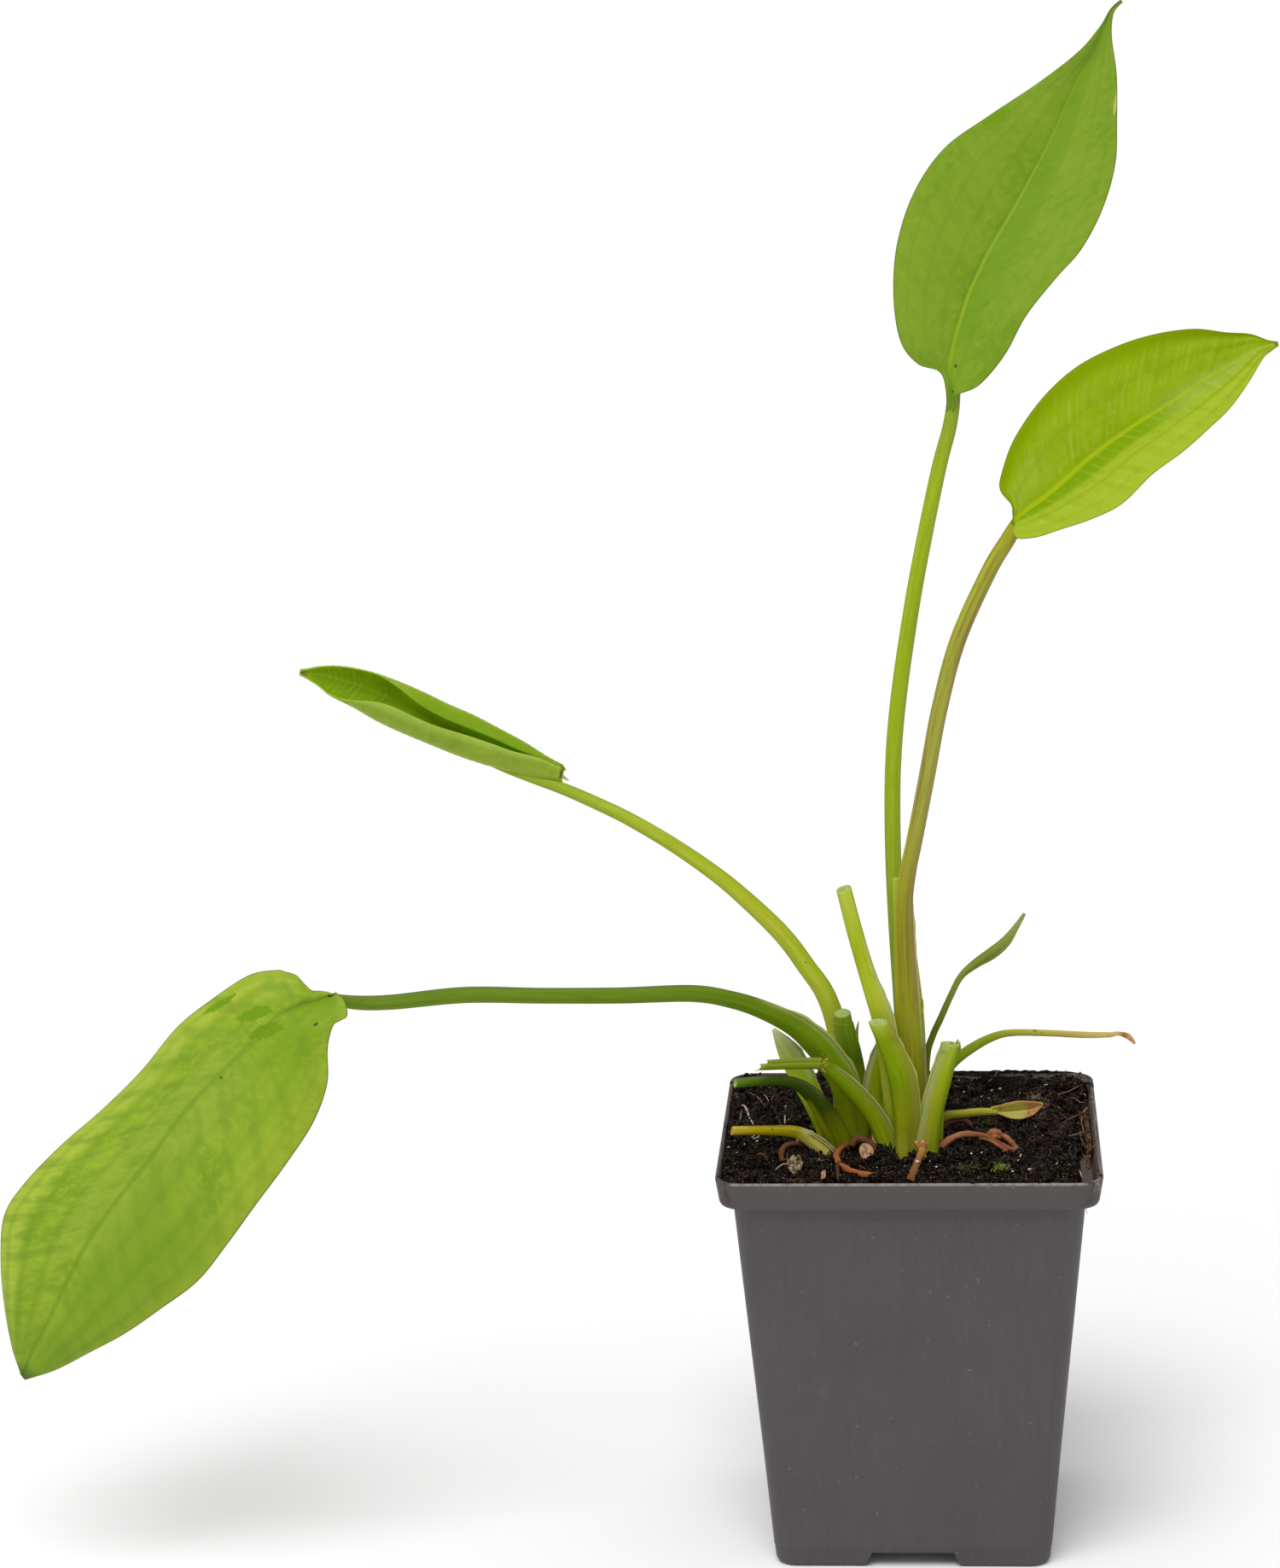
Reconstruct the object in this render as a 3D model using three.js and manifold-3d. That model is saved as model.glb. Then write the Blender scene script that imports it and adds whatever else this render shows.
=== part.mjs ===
// A potted water plantain: a square plastic pond pot full of peat, with two shoots growing in it.
// Four long-stalked leaves rise from the shoots. Around them stand the stumps of cut stalks,
// three small leaves and a few dead brown stalks.
// Millimetres, +Z up, front of the pot towards -Y. The origin is the middle of the pot's underside.

import * as THREE from "three";
import { mergeVertices } from "three/addons/utils/BufferGeometryUtils.js";
import Module from "manifold-3d";

const wasm = await Module();
wasm.setup();

// Driving dimensions of the pot
const POT_HEIGHT = 100;
const RIM_WIDTH = 90.4;
const RIM_FOOT_WIDTH = 88.6;
const RIM_BAND = 7;
const BODY_TOP_WIDTH = 82.4;
const BASE_WIDTH = 65.4;
const CORNER_SHARE = 0.18;
const CORNER_STEPS = 4;
const WALL = 1.2;
const LIP = 1.5;
const LEDGE_DEPTH = 5.6;
const EDGE_ROUND = 0.5;

// The drainage channels under the pot: one from the middle of each side, running in to a drain hole
const CHANNEL_HEIGHT = 3.8;
const CHANNEL_TOP_WIDTH = 19.5;
const CHANNEL_FOOT_WIDTH = 23;
const CHANNEL_START = 14;
const DRAIN_HOLE_RADIUS = 4;
const DRAIN_HOLE_REACH = 21;

// Peat
const SOIL_LEVEL = 96.4;
const MOUND_HEIGHT = 1.4;
const MOUND_CENTRE = [-6, -7];
const MOUND_SPREAD = [26, 20];
const LEDGE_DIP_DEPTH = 3;
const LEDGE_DIP_CENTRE = [44, -13];
const LEDGE_DIP_SPREAD = [6, 12];
const SOIL_CELLS = 10;

// Clearance between pieces that touch
const GAP = 0.3;

// Leaf thickness at the margin and at the midrib
const MARGIN_THICKNESS = 0.6;
const MIDRIB_THICKNESS = 1.3;

const FRONT = new THREE.Vector3(0, -1, 0);

// Leaf blades. A row runs across the leaf: left margin, midrib, right margin, seen from the upper
// face with the tip up. Rows go from the stalk to the tip.
const TALL_LEAF = [
  [[10, 11.2, 277], [11.5, 11.2, 276.5], [12.6, 9.8, 275.5]],
  [[8.5, 11.5, 281], [11, 12, 282], [18, 9.8, 278]],
  [[3.5, 11, 283], [12, 13, 288], [24, 10, 285]],
  [[-0.5, 11, 288.5], [13.5, 14, 292.5], [29, 10.5, 294]],
  [[-2, 12.5, 299], [16, 16, 299.5], [36, 12, 302.5]],
  [[-1, 14.5, 311], [20.5, 18, 308.5], [42, 14, 309]],
  [[3.2, 17.5, 322.8], [25.5, 20.5, 316.5], [47, 17, 318]],
  [[10.3, 20.5, 332.4], [31, 23, 326], [50, 20, 328]],
  [[20.6, 23, 339.4], [36, 25, 335.5], [50.5, 23, 338]],
  [[32, 25.5, 346.5], [41, 27, 346.5], [50.5, 25.5, 348]],
  [[41.5, 27, 353.5], [45.5, 28, 354], [49.5, 27, 356]],
  [[46.5, 28.5, 359], [48, 29, 359.5], [49.5, 28.5, 360]],
  [[49.2, 29.5, 363.2], [49.6, 29.6, 362.9], [50.2, 29.5, 362.6]],
  [[51.5, 30, 365.2], [51.8, 30, 364.9], [52.1, 30, 364.6]],
];
const RIGHT_LEAF = [
  [[25.4, -1, 249], [26, -1.2, 247.5], [25.4, -3.6, 245.4]],
  [[25, -0.5, 251.5], [28, -0.8, 249.5], [26.5, -4.8, 244]],
  [[22.5, 1.5, 254.5], [30, 0, 251], [31, -6, 244.5]],
  [[23, 3, 258.5], [33, 0.5, 253], [36.5, -7.5, 246.5]],
  [[26, 5.5, 266], [38, 2, 257], [43.5, -8.5, 249]],
  [[32.5, 7.5, 275], [44, 3.5, 262], [50.5, -8.5, 252.5]],
  [[40.5, 9, 282], [50.5, 5, 266.5], [57.5, -7, 259]],
  [[50, 11, 286.5], [57, 7, 270.5], [64.5, -3.5, 263.5]],
  [[59, 12.5, 289], [64, 9, 274.5], [70.5, 0.5, 268]],
  [[68, 13, 290], [71, 10.5, 279], [76, 4.5, 272.5]],
  [[75.5, 13.5, 289], [77, 12, 282], [80.5, 8, 278]],
  [[81, 14, 288.5], [82, 13, 284.8], [84, 11.5, 283]],
  [[85, 13.8, 287], [85.2, 13.5, 285.7], [86, 13, 284.5]],
  [[87.4, 13.6, 286.3], [87.6, 13.6, 286], [87.6, 13.5, 285.6]],
];
const HANGING_LEAF = [
  [[-131.5, -34.8, 142], [-133.5, -33.8, 142.5], [-135, -33.5, 143.5]],
  [[-130, -37, 140.5], [-137.5, -34.7, 141.5], [-139, -33.5, 144]],
  [[-131.5, -39, 139], [-141, -36, 141], [-142.5, -33, 147.5]],
  [[-133.5, -40, 136.5], [-144, -37, 140], [-147.5, -32, 148.5]],
  [[-134.5, -40.5, 131], [-147, -38, 138.5], [-154, -31, 147]],
  [[-135, -42, 123.5], [-151.5, -39.5, 134], [-162.5, -30.5, 141.5]],
  [[-138.5, -43.5, 114.5], [-157, -41, 129], [-171.5, -31, 134.5]],
  [[-145, -45, 105], [-163, -42.5, 123.5], [-180.5, -32, 124]],
  [[-152, -46.5, 96], [-170, -44, 116], [-190, -33.5, 115]],
  [[-159.5, -47, 86], [-177, -45, 106.5], [-200, -34, 106.5]],
  [[-166.5, -48, 77.5], [-184.5, -46, 97.5], [-209, -35, 97.5]],
  [[-175.5, -47.5, 70.5], [-191.5, -46, 88], [-214, -37, 90]],
  [[-184.5, -46.5, 64], [-197.5, -45.5, 77.5], [-215, -39, 80]],
  [[-194, -45, 58.5], [-203, -44.5, 66.5], [-214.5, -40.5, 69.5]],
  [[-202.5, -43, 53.5], [-208, -43, 57.5], [-213, -41.5, 59]],
  [[-210, -42, 50.8], [-210.6, -42, 51.4], [-211, -42, 52.2]],
];

// The rolled leaf: the middle of its roll, with the roll's half height across it
const ROLLED_LEAF_AXIS = [
  [-83.3, 20, 183.2], [-88.5, 20.5, 184.8], [-94.5, 21.5, 187.2], [-101, 22, 189.8],
  [-107, 23, 192.2], [-113.5, 24, 194.8], [-119.5, 24.5, 197.5], [-126, 25, 200.4],
  [-132, 26, 203], [-138.5, 26.5, 205.2], [-143, 27, 206.5], [-147.5, 27, 207.4],
];
const ROLLED_LEAF_HEIGHTS = [1.9, 2.9, 3.9, 4.7, 5.2, 5.3, 5.5, 5.4, 4.8, 3.8, 2.3, 0.4];
// Angles round the roll at the same places, in degrees from the side that faces forward:
// where the near margin, the midrib and the far margin lie
const ROLL_NEAR = [5, 5, 2, 0, -2, -5, -8, -14, -30, -80, -90, -90];
const ROLL_MIDRIB = [-125, -135, -145, -155, -165, -172, -178, -180, -180, -180, -180, -180];
const ROLL_FAR = [-290, -295, -305, -315, -322, -325, -322, -318, -300, -272, -270, -270];
const ROLL_FLATNESS = 0.8;

// Stalks, stumps and small leaves. Each one is a route from the soil to its end, with its width
// as the front shows it and its depth from front to back at each point of the route.
const STALKS = {
  tall_leaf_stalk: {
    colour: "stalkGreen",
    steps: 18,
    route: [
      [0.8, 0, 90], [0.4, 0.5, 104], [-0.6, 1.2, 118], [-1.6, 2.2, 133], [-2.8, 3.2, 151],
      [-3.4, 4.2, 169], [-3.2, 5.4, 187], [-1.7, 6.8, 204], [1.6, 8.8, 225.5], [4.9, 10.5, 242.5],
      [8.4, 12, 258.5], [11, 13, 268.2], [12, 13.8, 276], [11.8, 14.4, 283],
    ],
    widths: [6.5, 6, 5, 4.4, 3.9, 3.8, 3.8, 3.8, 3.7, 3.6, 3.5, 3.3, 3, 1.8],
    depths: [4.6, 4.4, 4, 3.6, 3.4, 3.3, 3.2, 3.2, 3.2, 3.1, 3, 2.6, 2.2, 1.2],
  },
  right_leaf_stalk: {
    colour: "stalkPurple",
    steps: 18,
    route: [
      [0.9, -8.4, 90], [0.7, -8.2, 104], [0.3, -7.8, 119], [-0.3, -7.2, 134], [-0.8, -6.6, 148],
      [-0.8, -6, 157], [0.3, -5.8, 165], [2, -5.6, 173], [5, -4.8, 188], [8.1, -3.8, 204],
      [12.5, -2.5, 219.8], [19.6, -0.6, 235.2], [24, 0.8, 242.4], [27, 1.9, 247], [29.6, 2.8, 250],
    ],
    widths: [6.6, 6.6, 6.3, 5.8, 4.9, 4.2, 3.9, 3.8, 3.8, 3.8, 3.8, 3.7, 3.6, 3.2, 2],
    depths: [4.6, 4.4, 4, 3.6, 3.4, 3.2, 3.1, 3, 3, 3, 3, 2.8, 2.5, 2.1, 1.2],
  },
  hanging_leaf_stalk: {
    colour: "stalkDark",
    steps: 20,
    route: [
      [-13.5, -5, 90], [-13.6, -5, 104], [-15.4, -5.4, 112.4], [-18.4, -6, 118], [-22, -6.8, 122.9],
      [-27, -8, 127.6], [-34, -9.8, 131.8], [-41.4, -11.6, 134.9], [-51, -13.8, 137.2],
      [-68, -17, 137.7], [-86, -20.8, 138.8], [-104, -24.8, 140.2], [-121, -28.6, 139.6],
      [-130, -30.6, 140.2], [-137, -31.4, 142],
    ],
    widths: [8, 7.8, 7.4, 7.2, 6.8, 5.6, 4.7, 4.2, 4.1, 3.9, 3.8, 3.9, 3.6, 3.3, 2],
    depths: [5.5, 5.2, 4.6, 4.2, 3.9, 3.6, 3.4, 3.3, 3.2, 3.1, 3.1, 3, 3, 2.6, 1.4],
  },
  rolled_leaf_stalk: {
    colour: "stalkLime",
    steps: 18,
    route: [
      [-15.2, 4, 90], [-15.4, 4, 104], [-16.2, 4.2, 116], [-17.8, 4.6, 125], [-20.4, 5.2, 132.2],
      [-24.4, 6.2, 138], [-29.4, 7.4, 144.8], [-36, 9, 151.4], [-45, 11.2, 159], [-56, 13.7, 166.4],
      [-67, 15.9, 172.6], [-76.4, 17.6, 176.9], [-83.4, 18.9, 179.9], [-90, 19.8, 181.4],
    ],
    widths: [6.5, 6, 5.3, 4.9, 4.7, 4.6, 4.6, 4.4, 4, 3.8, 3.5, 3.3, 3, 1.6],
    depths: [4.6, 4.4, 4, 3.8, 3.6, 3.5, 3.5, 3.4, 3.3, 3.2, 3.1, 3, 2.6, 1.4],
  },
  front_cut_stalk: {
    colour: "stumpLime",
    steps: 8,
    route: [
      [-0.6, -14.5, 90], [-0.6, -14.8, 100], [-0.6, -15, 108.5], [-1.5, -15, 116.5],
      [-4, -14.5, 123.5], [-7, -14, 130],
    ],
    widths: [5.4, 5.8, 6.7, 6.8, 5.6, 4.2],
    depths: [5, 5, 4.8, 4.4, 3.6, 3],
  },
  right_cut_stalk: {
    colour: "stumpPale",
    steps: 8,
    route: [
      [4, -15.5, 90], [4.2, -15.5, 100], [5.5, -14.5, 108.5], [7, -13.4, 114], [8.5, -12.2, 119],
      [10, -11, 123.6],
    ],
    widths: [5.2, 5.4, 5.4, 5.3, 5, 4.5],
    depths: [4, 4, 3.8, 3.4, 3.2, 3],
  },
  bent_cut_stalk: {
    colour: "stumpGreen",
    steps: 12,
    route: [
      [-4.2, -15, 90], [-4.4, -14.4, 97], [-6.6, -13, 103.5], [-9.6, -12.7, 108.4],
      [-13, -13, 112.6], [-17.4, -13.6, 117.2], [-20.8, -14.1, 119.6], [-23.5, -14.8, 120],
      [-29, -16, 120], [-34.6, -17, 120],
    ],
    widths: [5, 5, 5, 4.8, 4.4, 3.6, 3, 2.8, 2.4, 1.4],
    depths: [3.4, 3.4, 3.2, 3, 2.8, 2.4, 2, 1.8, 1.6, 1],
  },
  hollow_cut_stalk: {
    colour: "stalkDark",
    steps: 12,
    route: [
      [-16.2, -10.4, 90], [-16.6, -10.4, 98], [-18.2, -11, 103], [-20.6, -11.5, 107.8],
      [-23.6, -12.5, 112.2], [-27.6, -13.5, 115], [-33.5, -15, 116], [-41, -17, 116],
    ],
    widths: [6.2, 6.2, 5.8, 5.2, 4.4, 3.4, 3, 2.8],
    depths: [4, 4, 3.6, 3.2, 3, 2.8, 2.6, 2.6],
  },
  low_cut_stalk: {
    colour: "stumpYellow",
    sides: 6,
    steps: 9,
    route: [
      [-18.4, -14.8, 90], [-18.7, -14.6, 96], [-21, -14.2, 99], [-24.5, -13.2, 101.4],
      [-28, -12.4, 102.5], [-35, -11.8, 102.6], [-42.3, -12, 102.6],
    ],
    widths: [4.4, 4.4, 4.2, 3.6, 3, 2.4, 2.2],
    depths: [3, 3, 2.8, 2.4, 2, 1.8, 1.6],
  },
  pale_edged_stalk: {
    colour: "stumpPale",
    steps: 8,
    route: [
      [-19, -5.6, 90], [-19.3, -5.5, 98], [-21.4, -5, 104.5], [-24.4, -4.2, 111], [-27.5, -3.4, 117.4],
      [-29.8, -2.9, 121.2], [-32.4, -2.4, 125.1],
    ],
    widths: [4.6, 4.8, 5.2, 5.6, 6, 4.4, 1],
    depths: [2.6, 2.6, 2.4, 2.2, 1.8, 1.4, 1],
  },
  dark_cut_stalk: {
    colour: "stalkDark",
    steps: 7,
    route: [
      [-13.4, -0.6, 90], [-13.5, -0.6, 104], [-13.8, -0.8, 112], [-14.4, -1, 118.5],
      [-15.3, -1, 124], [-16, -1, 128.5],
    ],
    widths: [7, 7, 6.6, 5.7, 4.7, 4.4],
    depths: [3.4, 3.4, 3.4, 3.4, 3.4, 3.4],
  },
  long_cut_stalk: {
    colour: "stumpPale",
    steps: 10,
    route: [
      [-3.5, -10.6, 90], [-3.4, -10.6, 106], [-4.3, -10.2, 118.5], [-6, -9.6, 129], [-8, -9, 135.5],
      [-10, -8.2, 141.5], [-12.5, -7.5, 150.5], [-15, -7, 160.8],
    ],
    widths: [5.2, 5.4, 5.6, 5.2, 4.6, 4, 3.8, 3.6],
    depths: [3, 3, 3, 2.8, 2.8, 2.8, 2.8, 2.8],
  },
  pale_sheath: {
    colour: "stumpPale",
    sides: 6,
    steps: 8,
    route: [
      [-7.8, -2.6, 90], [-8.4, -2.8, 101], [-8.9, -2.5, 107], [-8.5, -1.5, 112.5],
      [-7.3, -0.6, 117.2], [-5.6, 0, 122],
    ],
    widths: [5, 5, 4.8, 4.4, 4, 3.4],
    depths: [2.6, 2.6, 2.4, 2.2, 2, 1.6],
  },
  back_cut_stalk: {
    colour: "stumpGreen",
    sides: 6,
    steps: 9,
    route: [
      [1.4, -3.6, 90], [1.3, -3.4, 103], [1, -2.8, 116], [0.6, -2.2, 128], [-0.3, -1.8, 140],
      [-1.4, -1.7, 152], [-2.3, -1.6, 162.1],
    ],
    widths: [6.4, 6.4, 6.3, 6.1, 5.4, 4.2, 2.6],
    depths: [2, 2, 1.8, 1.6, 1.5, 1.4, 1.3],
  },
  short_inner_stalk: {
    colour: "stalkDark",
    sides: 6,
    steps: 4,
    route: [[-8.4, -6.2, 92], [-8, -6, 99.5], [-6.4, -5.6, 105.6], [-4.4, -5, 110]],
    widths: [3, 3, 3, 2.4],
    depths: [1.6, 1.6, 1.5, 1.3],
  },
  upright_small_leaf: {
    colour: "stalkDark",
    sides: 6,
    steps: 14,
    route: [
      [4, 3.6, 90], [3.8, 3.6, 104], [4.2, 3.9, 116], [5.7, 4.2, 121.4], [7.6, 4.4, 125.6],
      [10.1, 4.8, 131.2], [12.6, 5.4, 135.8], [16.2, 6, 138.8], [20, 6.4, 141.2], [23.2, 7, 143.8],
      [25.6, 7.6, 147], [27.9, 8, 150.6],
    ],
    widths: [1.8, 1.8, 1.7, 1.6, 1.6, 1.5, 1.6, 2.3, 2.9, 2.6, 1.6, 0.8],
    depths: [1.4, 1.4, 1.3, 1.2, 1.1, 1, 1, 0.9, 0.9, 0.9, 0.8, 0.7],
  },
  withered_small_leaf: {
    colour: "leafWithered",
    sides: 6,
    steps: 16,
    route: [
      [6.4, -6.6, 90], [6.6, -6, 100], [7.2, -4, 108.4], [8.6, -2, 113.4], [10.8, -1, 116.4],
      [14.8, -0.4, 119.4], [19.8, 0.8, 121.8], [24.7, 2, 122.6], [33.7, 3.2, 122.1], [41.9, 4.4, 121.3],
      [48, 5.4, 121], [50.2, 5.8, 121.2], [52.6, 6.2, 120.3], [54.2, 6.4, 118.5],
    ],
    widths: [2.8, 2.8, 2.7, 2.6, 2.5, 2.4, 2, 1.7, 1.6, 1.6, 1.3, 1, 1.4, 0.6],
    depths: [1.6, 1.6, 1.4, 1.3, 1.2, 1.1, 1, 0.9, 0.8, 0.8, 0.7, 0.7, 0.6, 0.5],
  },
  yellow_small_leaf: {
    colour: "leafYellow",
    sides: 6,
    steps: 10,
    route: [
      [5.8, 0.4, 90], [5.9, 0.2, 98], [8, 0.4, 102], [13, 2, 102.4], [17, 4.5, 102], [20.5, 6.5, 101.4],
      [26.5, 9.5, 100.3], [32, 13, 101.2],
    ],
    widths: [2.2, 2.2, 2.1, 2, 2.2, 3.8, 4.6, 1],
    depths: [1.8, 1.8, 1.7, 1.6, 1.5, 1.7, 1.8, 0.8],
  },
  tan_dead_stub: {
    colour: "deadTan",
    sides: 5,
    steps: 5,
    route: [[0.3, -32.4, 94.5], [0.6, -31.4, 97], [1.6, -27, 99.5], [3.4, -22.6, 102.4]],
    widths: [1.8, 1.8, 1.7, 2.8],
    depths: [1.2, 1.2, 1.2, 1.6],
  },
  brown_arched_stalk: {
    colour: "deadBrown",
    sides: 5,
    steps: 10,
    route: [
      [7, -13, 92], [8, -12.8, 97.4], [9.4, -12.4, 99.4], [12, -11.5, 100.6], [15.5, -10.5, 100.6],
      [19, -10, 99.6], [22, -9.5, 98.2], [25.5, -9, 95.6],
    ],
    widths: [2.2, 2.3, 2.3, 2.2, 2.1, 2, 2, 1.4],
    depths: [1.1, 1.1, 1.1, 1.1, 1, 1, 1, 0.9],
  },
  back_brown_stalk: {
    colour: "deadBrown",
    sides: 5,
    steps: 8,
    route: [
      [6.4, 4.4, 93.5], [7.4, 5.6, 98.4], [9.6, 7.2, 99.7], [12, 8, 99.8], [14.4, 8, 98.6], [16, 7, 95],
    ],
    widths: [1.6, 1.8, 1.9, 1.9, 1.7, 1.4],
    depths: [1, 1, 1, 1, 1, 0.9],
  },
  brown_looped_stalk: {
    colour: "deadBrown",
    sides: 5,
    steps: 10,
    route: [
      [-15.4, -14.4, 93], [-15.6, -15.6, 98.4], [-16.2, -18.6, 99], [-14.8, -23.4, 98.5],
      [-11.4, -26.8, 98.2], [-6.8, -28.3, 97.6],
    ],
    widths: [2, 2.2, 2.2, 2.3, 2.2, 1.4],
    depths: [1.2, 1.2, 1.1, 1.1, 1, 0.9],
  },
  brown_curl: {
    colour: "deadBrown",
    sides: 5,
    steps: 8,
    route: [
      [-30.4, -17.6, 94], [-30.6, -15.8, 97.6], [-29.8, -12.6, 99], [-27.4, -10.6, 98.6],
      [-24.6, -10.4, 95.5],
    ],
    widths: [1.5, 1.7, 1.8, 1.7, 1.2],
    depths: [0.9, 0.9, 0.9, 0.9, 0.8],
  },
};

// Materials: colour and roughness of each kind of surface
const SURFACES = {
  pot: ["#55514f", 0.5],
  peat: ["#2a211c", 0.98],
  leafDeep: ["#76a61c", 0.45],
  leafBright: ["#93b41a", 0.42],
  leafMottled: ["#8cba2e", 0.5],
  leafRolled: ["#7da826", 0.45],
  leafYellow: ["#a9a53a", 0.55],
  leafWithered: ["#7f9a33", 0.6],
  stalkGreen: ["#6f9c25", 0.42],
  stalkDark: ["#4a7a22", 0.42],
  stalkLime: ["#8fae3a", 0.42],
  stalkPurple: ["#8b8a45", 0.45],
  stumpLime: ["#86a92c", 0.45],
  stumpPale: ["#a3bb5c", 0.48],
  stumpGreen: ["#6f9c2c", 0.45],
  stumpYellow: ["#a8a828", 0.5],
  deadBrown: ["#8a4a2c", 0.8],
  deadTan: ["#b07a3c", 0.85],
};

function surface(kind) {
  const [color, roughness] = SURFACES[kind];
  return new THREE.MeshStandardMaterial({ color, roughness, metalness: 0, name: kind });
}

// A closed geometry as a solid that can be joined and cut
function toSolid(geometry) {
  const bare = geometry.clone();
  bare.deleteAttribute("normal");
  bare.deleteAttribute("uv");
  const merged = mergeVertices(bare, 1e-4);
  return new wasm.Manifold(new wasm.Mesh({
    numProp: 3,
    vertProperties: new Float32Array(merged.attributes.position.array),
    triVerts: new Uint32Array(merged.index.array),
  }));
}

function toGeometry(solid) {
  const mesh = solid.getMesh();
  const geometry = new THREE.BufferGeometry();
  geometry.setAttribute("position", new THREE.BufferAttribute(new Float32Array(mesh.vertProperties), 3));
  geometry.setIndex(new THREE.BufferAttribute(new Uint32Array(mesh.triVerts), 1));
  geometry.computeVertexNormals();
  return geometry;
}

// A cut can leave crumbs beside the piece itself, and only the piece is kept
function largestBody(solid) {
  const bodies = solid.decompose();
  return bodies.reduce((best, body) => (body.volume() > best.volume() ? body : best));
}

function curveThrough(points) {
  const vectors = points.map((point) => new THREE.Vector3(...point));
  return new THREE.CatmullRomCurve3(vectors, false, "catmullrom", 0.5);
}

// A value listed at even places along a route, read at t from 0 to 1
function along(values, t) {
  const place = THREE.MathUtils.clamp(t, 0, 1) * (values.length - 1);
  const index = Math.min(Math.floor(place), values.length - 2);
  return THREE.MathUtils.lerp(values[index], values[index + 1], place - index);
}

// Moves every vertex of a geometry to where the given function puts it
function reshape(geometry, place) {
  const positions = geometry.attributes.position;
  const vertex = new THREE.Vector3();
  for (let i = 0; i < positions.count; i += 1) {
    vertex.fromBufferAttribute(positions, i);
    const moved = place(vertex);
    positions.setXYZ(i, moved.x, moved.y, moved.z);
  }
  return geometry;
}

// A stalk: a closed cylinder bent along its route, oval in section
function stalkGeometry({ route, widths, depths, steps, sides = 8 }, grow = 0) {
  const curve = curveThrough(route);
  const cylinder = new THREE.CylinderGeometry(1, 1, 1, sides, steps);
  return reshape(cylinder, ({ x, y, z }) => {
    const t = y + 0.5;
    const tangent = curve.getTangent(t);
    const side = new THREE.Vector3().crossVectors(tangent, FRONT).normalize();
    const normal = new THREE.Vector3().crossVectors(side, tangent);
    const end = t < 0.001 ? -grow : (t > 0.999 ? grow : 0);
    return curve.getPoint(t)
      .addScaledVector(side, x * (along(widths, t) / 2 + grow))
      .addScaledVector(normal, z * (along(depths, t) / 2 + grow))
      .addScaledVector(tangent, end);
  });
}

// A thin closed slab laid over a leaf's middle surface, thickest at the midrib.
// The surface is a function of s across the leaf, -1 to 1, and t along it, 0 to 1.
function leafGeometry(middle, across, rows, grow = 0) {
  const slab = new THREE.BoxGeometry(2, 1, 1, across, rows, 1);
  const nudge = 0.002;
  return reshape(slab, ({ x, y, z }) => {
    const t = y + 0.5;
    const before = THREE.MathUtils.clamp(t, nudge, 1 - nudge) - nudge;
    const acrossStep = middle(x + nudge, t, grow).sub(middle(x - nudge, t, grow));
    const alongStep = middle(x, before + 2 * nudge, grow).sub(middle(x, before, grow));
    const normal = acrossStep.cross(alongStep).normalize();
    const thickness = THREE.MathUtils.lerp(MIDRIB_THICKNESS, MARGIN_THICKNESS, Math.sqrt(Math.abs(x)));
    const slim = THREE.MathUtils.lerp(1, 0.6, t * t);
    return middle(x, t, grow).addScaledVector(normal, z * (thickness * slim + 2 * grow));
  });
}

// The middle surface of an open blade from its rows, each half bulging a little between
// the midrib and the margin
function openBlade(rows, bulge) {
  const left = curveThrough(rows.map((row) => row[0]));
  const midrib = curveThrough(rows.map((row) => row[1]));
  const right = curveThrough(rows.map((row) => row[2]));
  return (s, t, grow) => {
    const middle = midrib.getPoint(t);
    const margin = (s < 0 ? left : right).getPoint(t);
    const reach = margin.sub(middle);
    const span = Math.max(reach.length(), 0.01);
    const share = Math.abs(s);
    const lift = 4 * share * (1 - share) * bulge * Math.min(1, span / 8);
    return middle
      .addScaledVector(reach, share * (span + grow) / span)
      .addScaledVector(FRONT, lift);
  };
}

// The middle surface of the rolled blade: round its axis from the near margin, under and behind
// past the midrib, and over the top to the far margin
function rolledBlade() {
  const axis = curveThrough(ROLLED_LEAF_AXIS);
  return (s, t, grow) => {
    const tangent = axis.getTangent(THREE.MathUtils.clamp(t, 0, 1));
    const up = new THREE.Vector3().crossVectors(tangent, FRONT).normalize();
    const forward = new THREE.Vector3().crossVectors(up, tangent).normalize();
    const edge = s < 0 ? along(ROLL_NEAR, t) : along(ROLL_FAR, t);
    const radius = along(ROLLED_LEAF_HEIGHTS, t);
    const growAngle = Math.sign(s) * THREE.MathUtils.radToDeg(grow / Math.max(radius, 1));
    const angle = THREE.MathUtils.lerp(along(ROLL_MIDRIB, t), edge, Math.abs(s)) - growAngle;
    const turn = THREE.MathUtils.degToRad(angle);
    return axis.getPoint(t)
      .addScaledVector(forward, radius * ROLL_FLATNESS * Math.cos(turn))
      .addScaledVector(up, radius * Math.sin(turn));
  };
}

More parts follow.
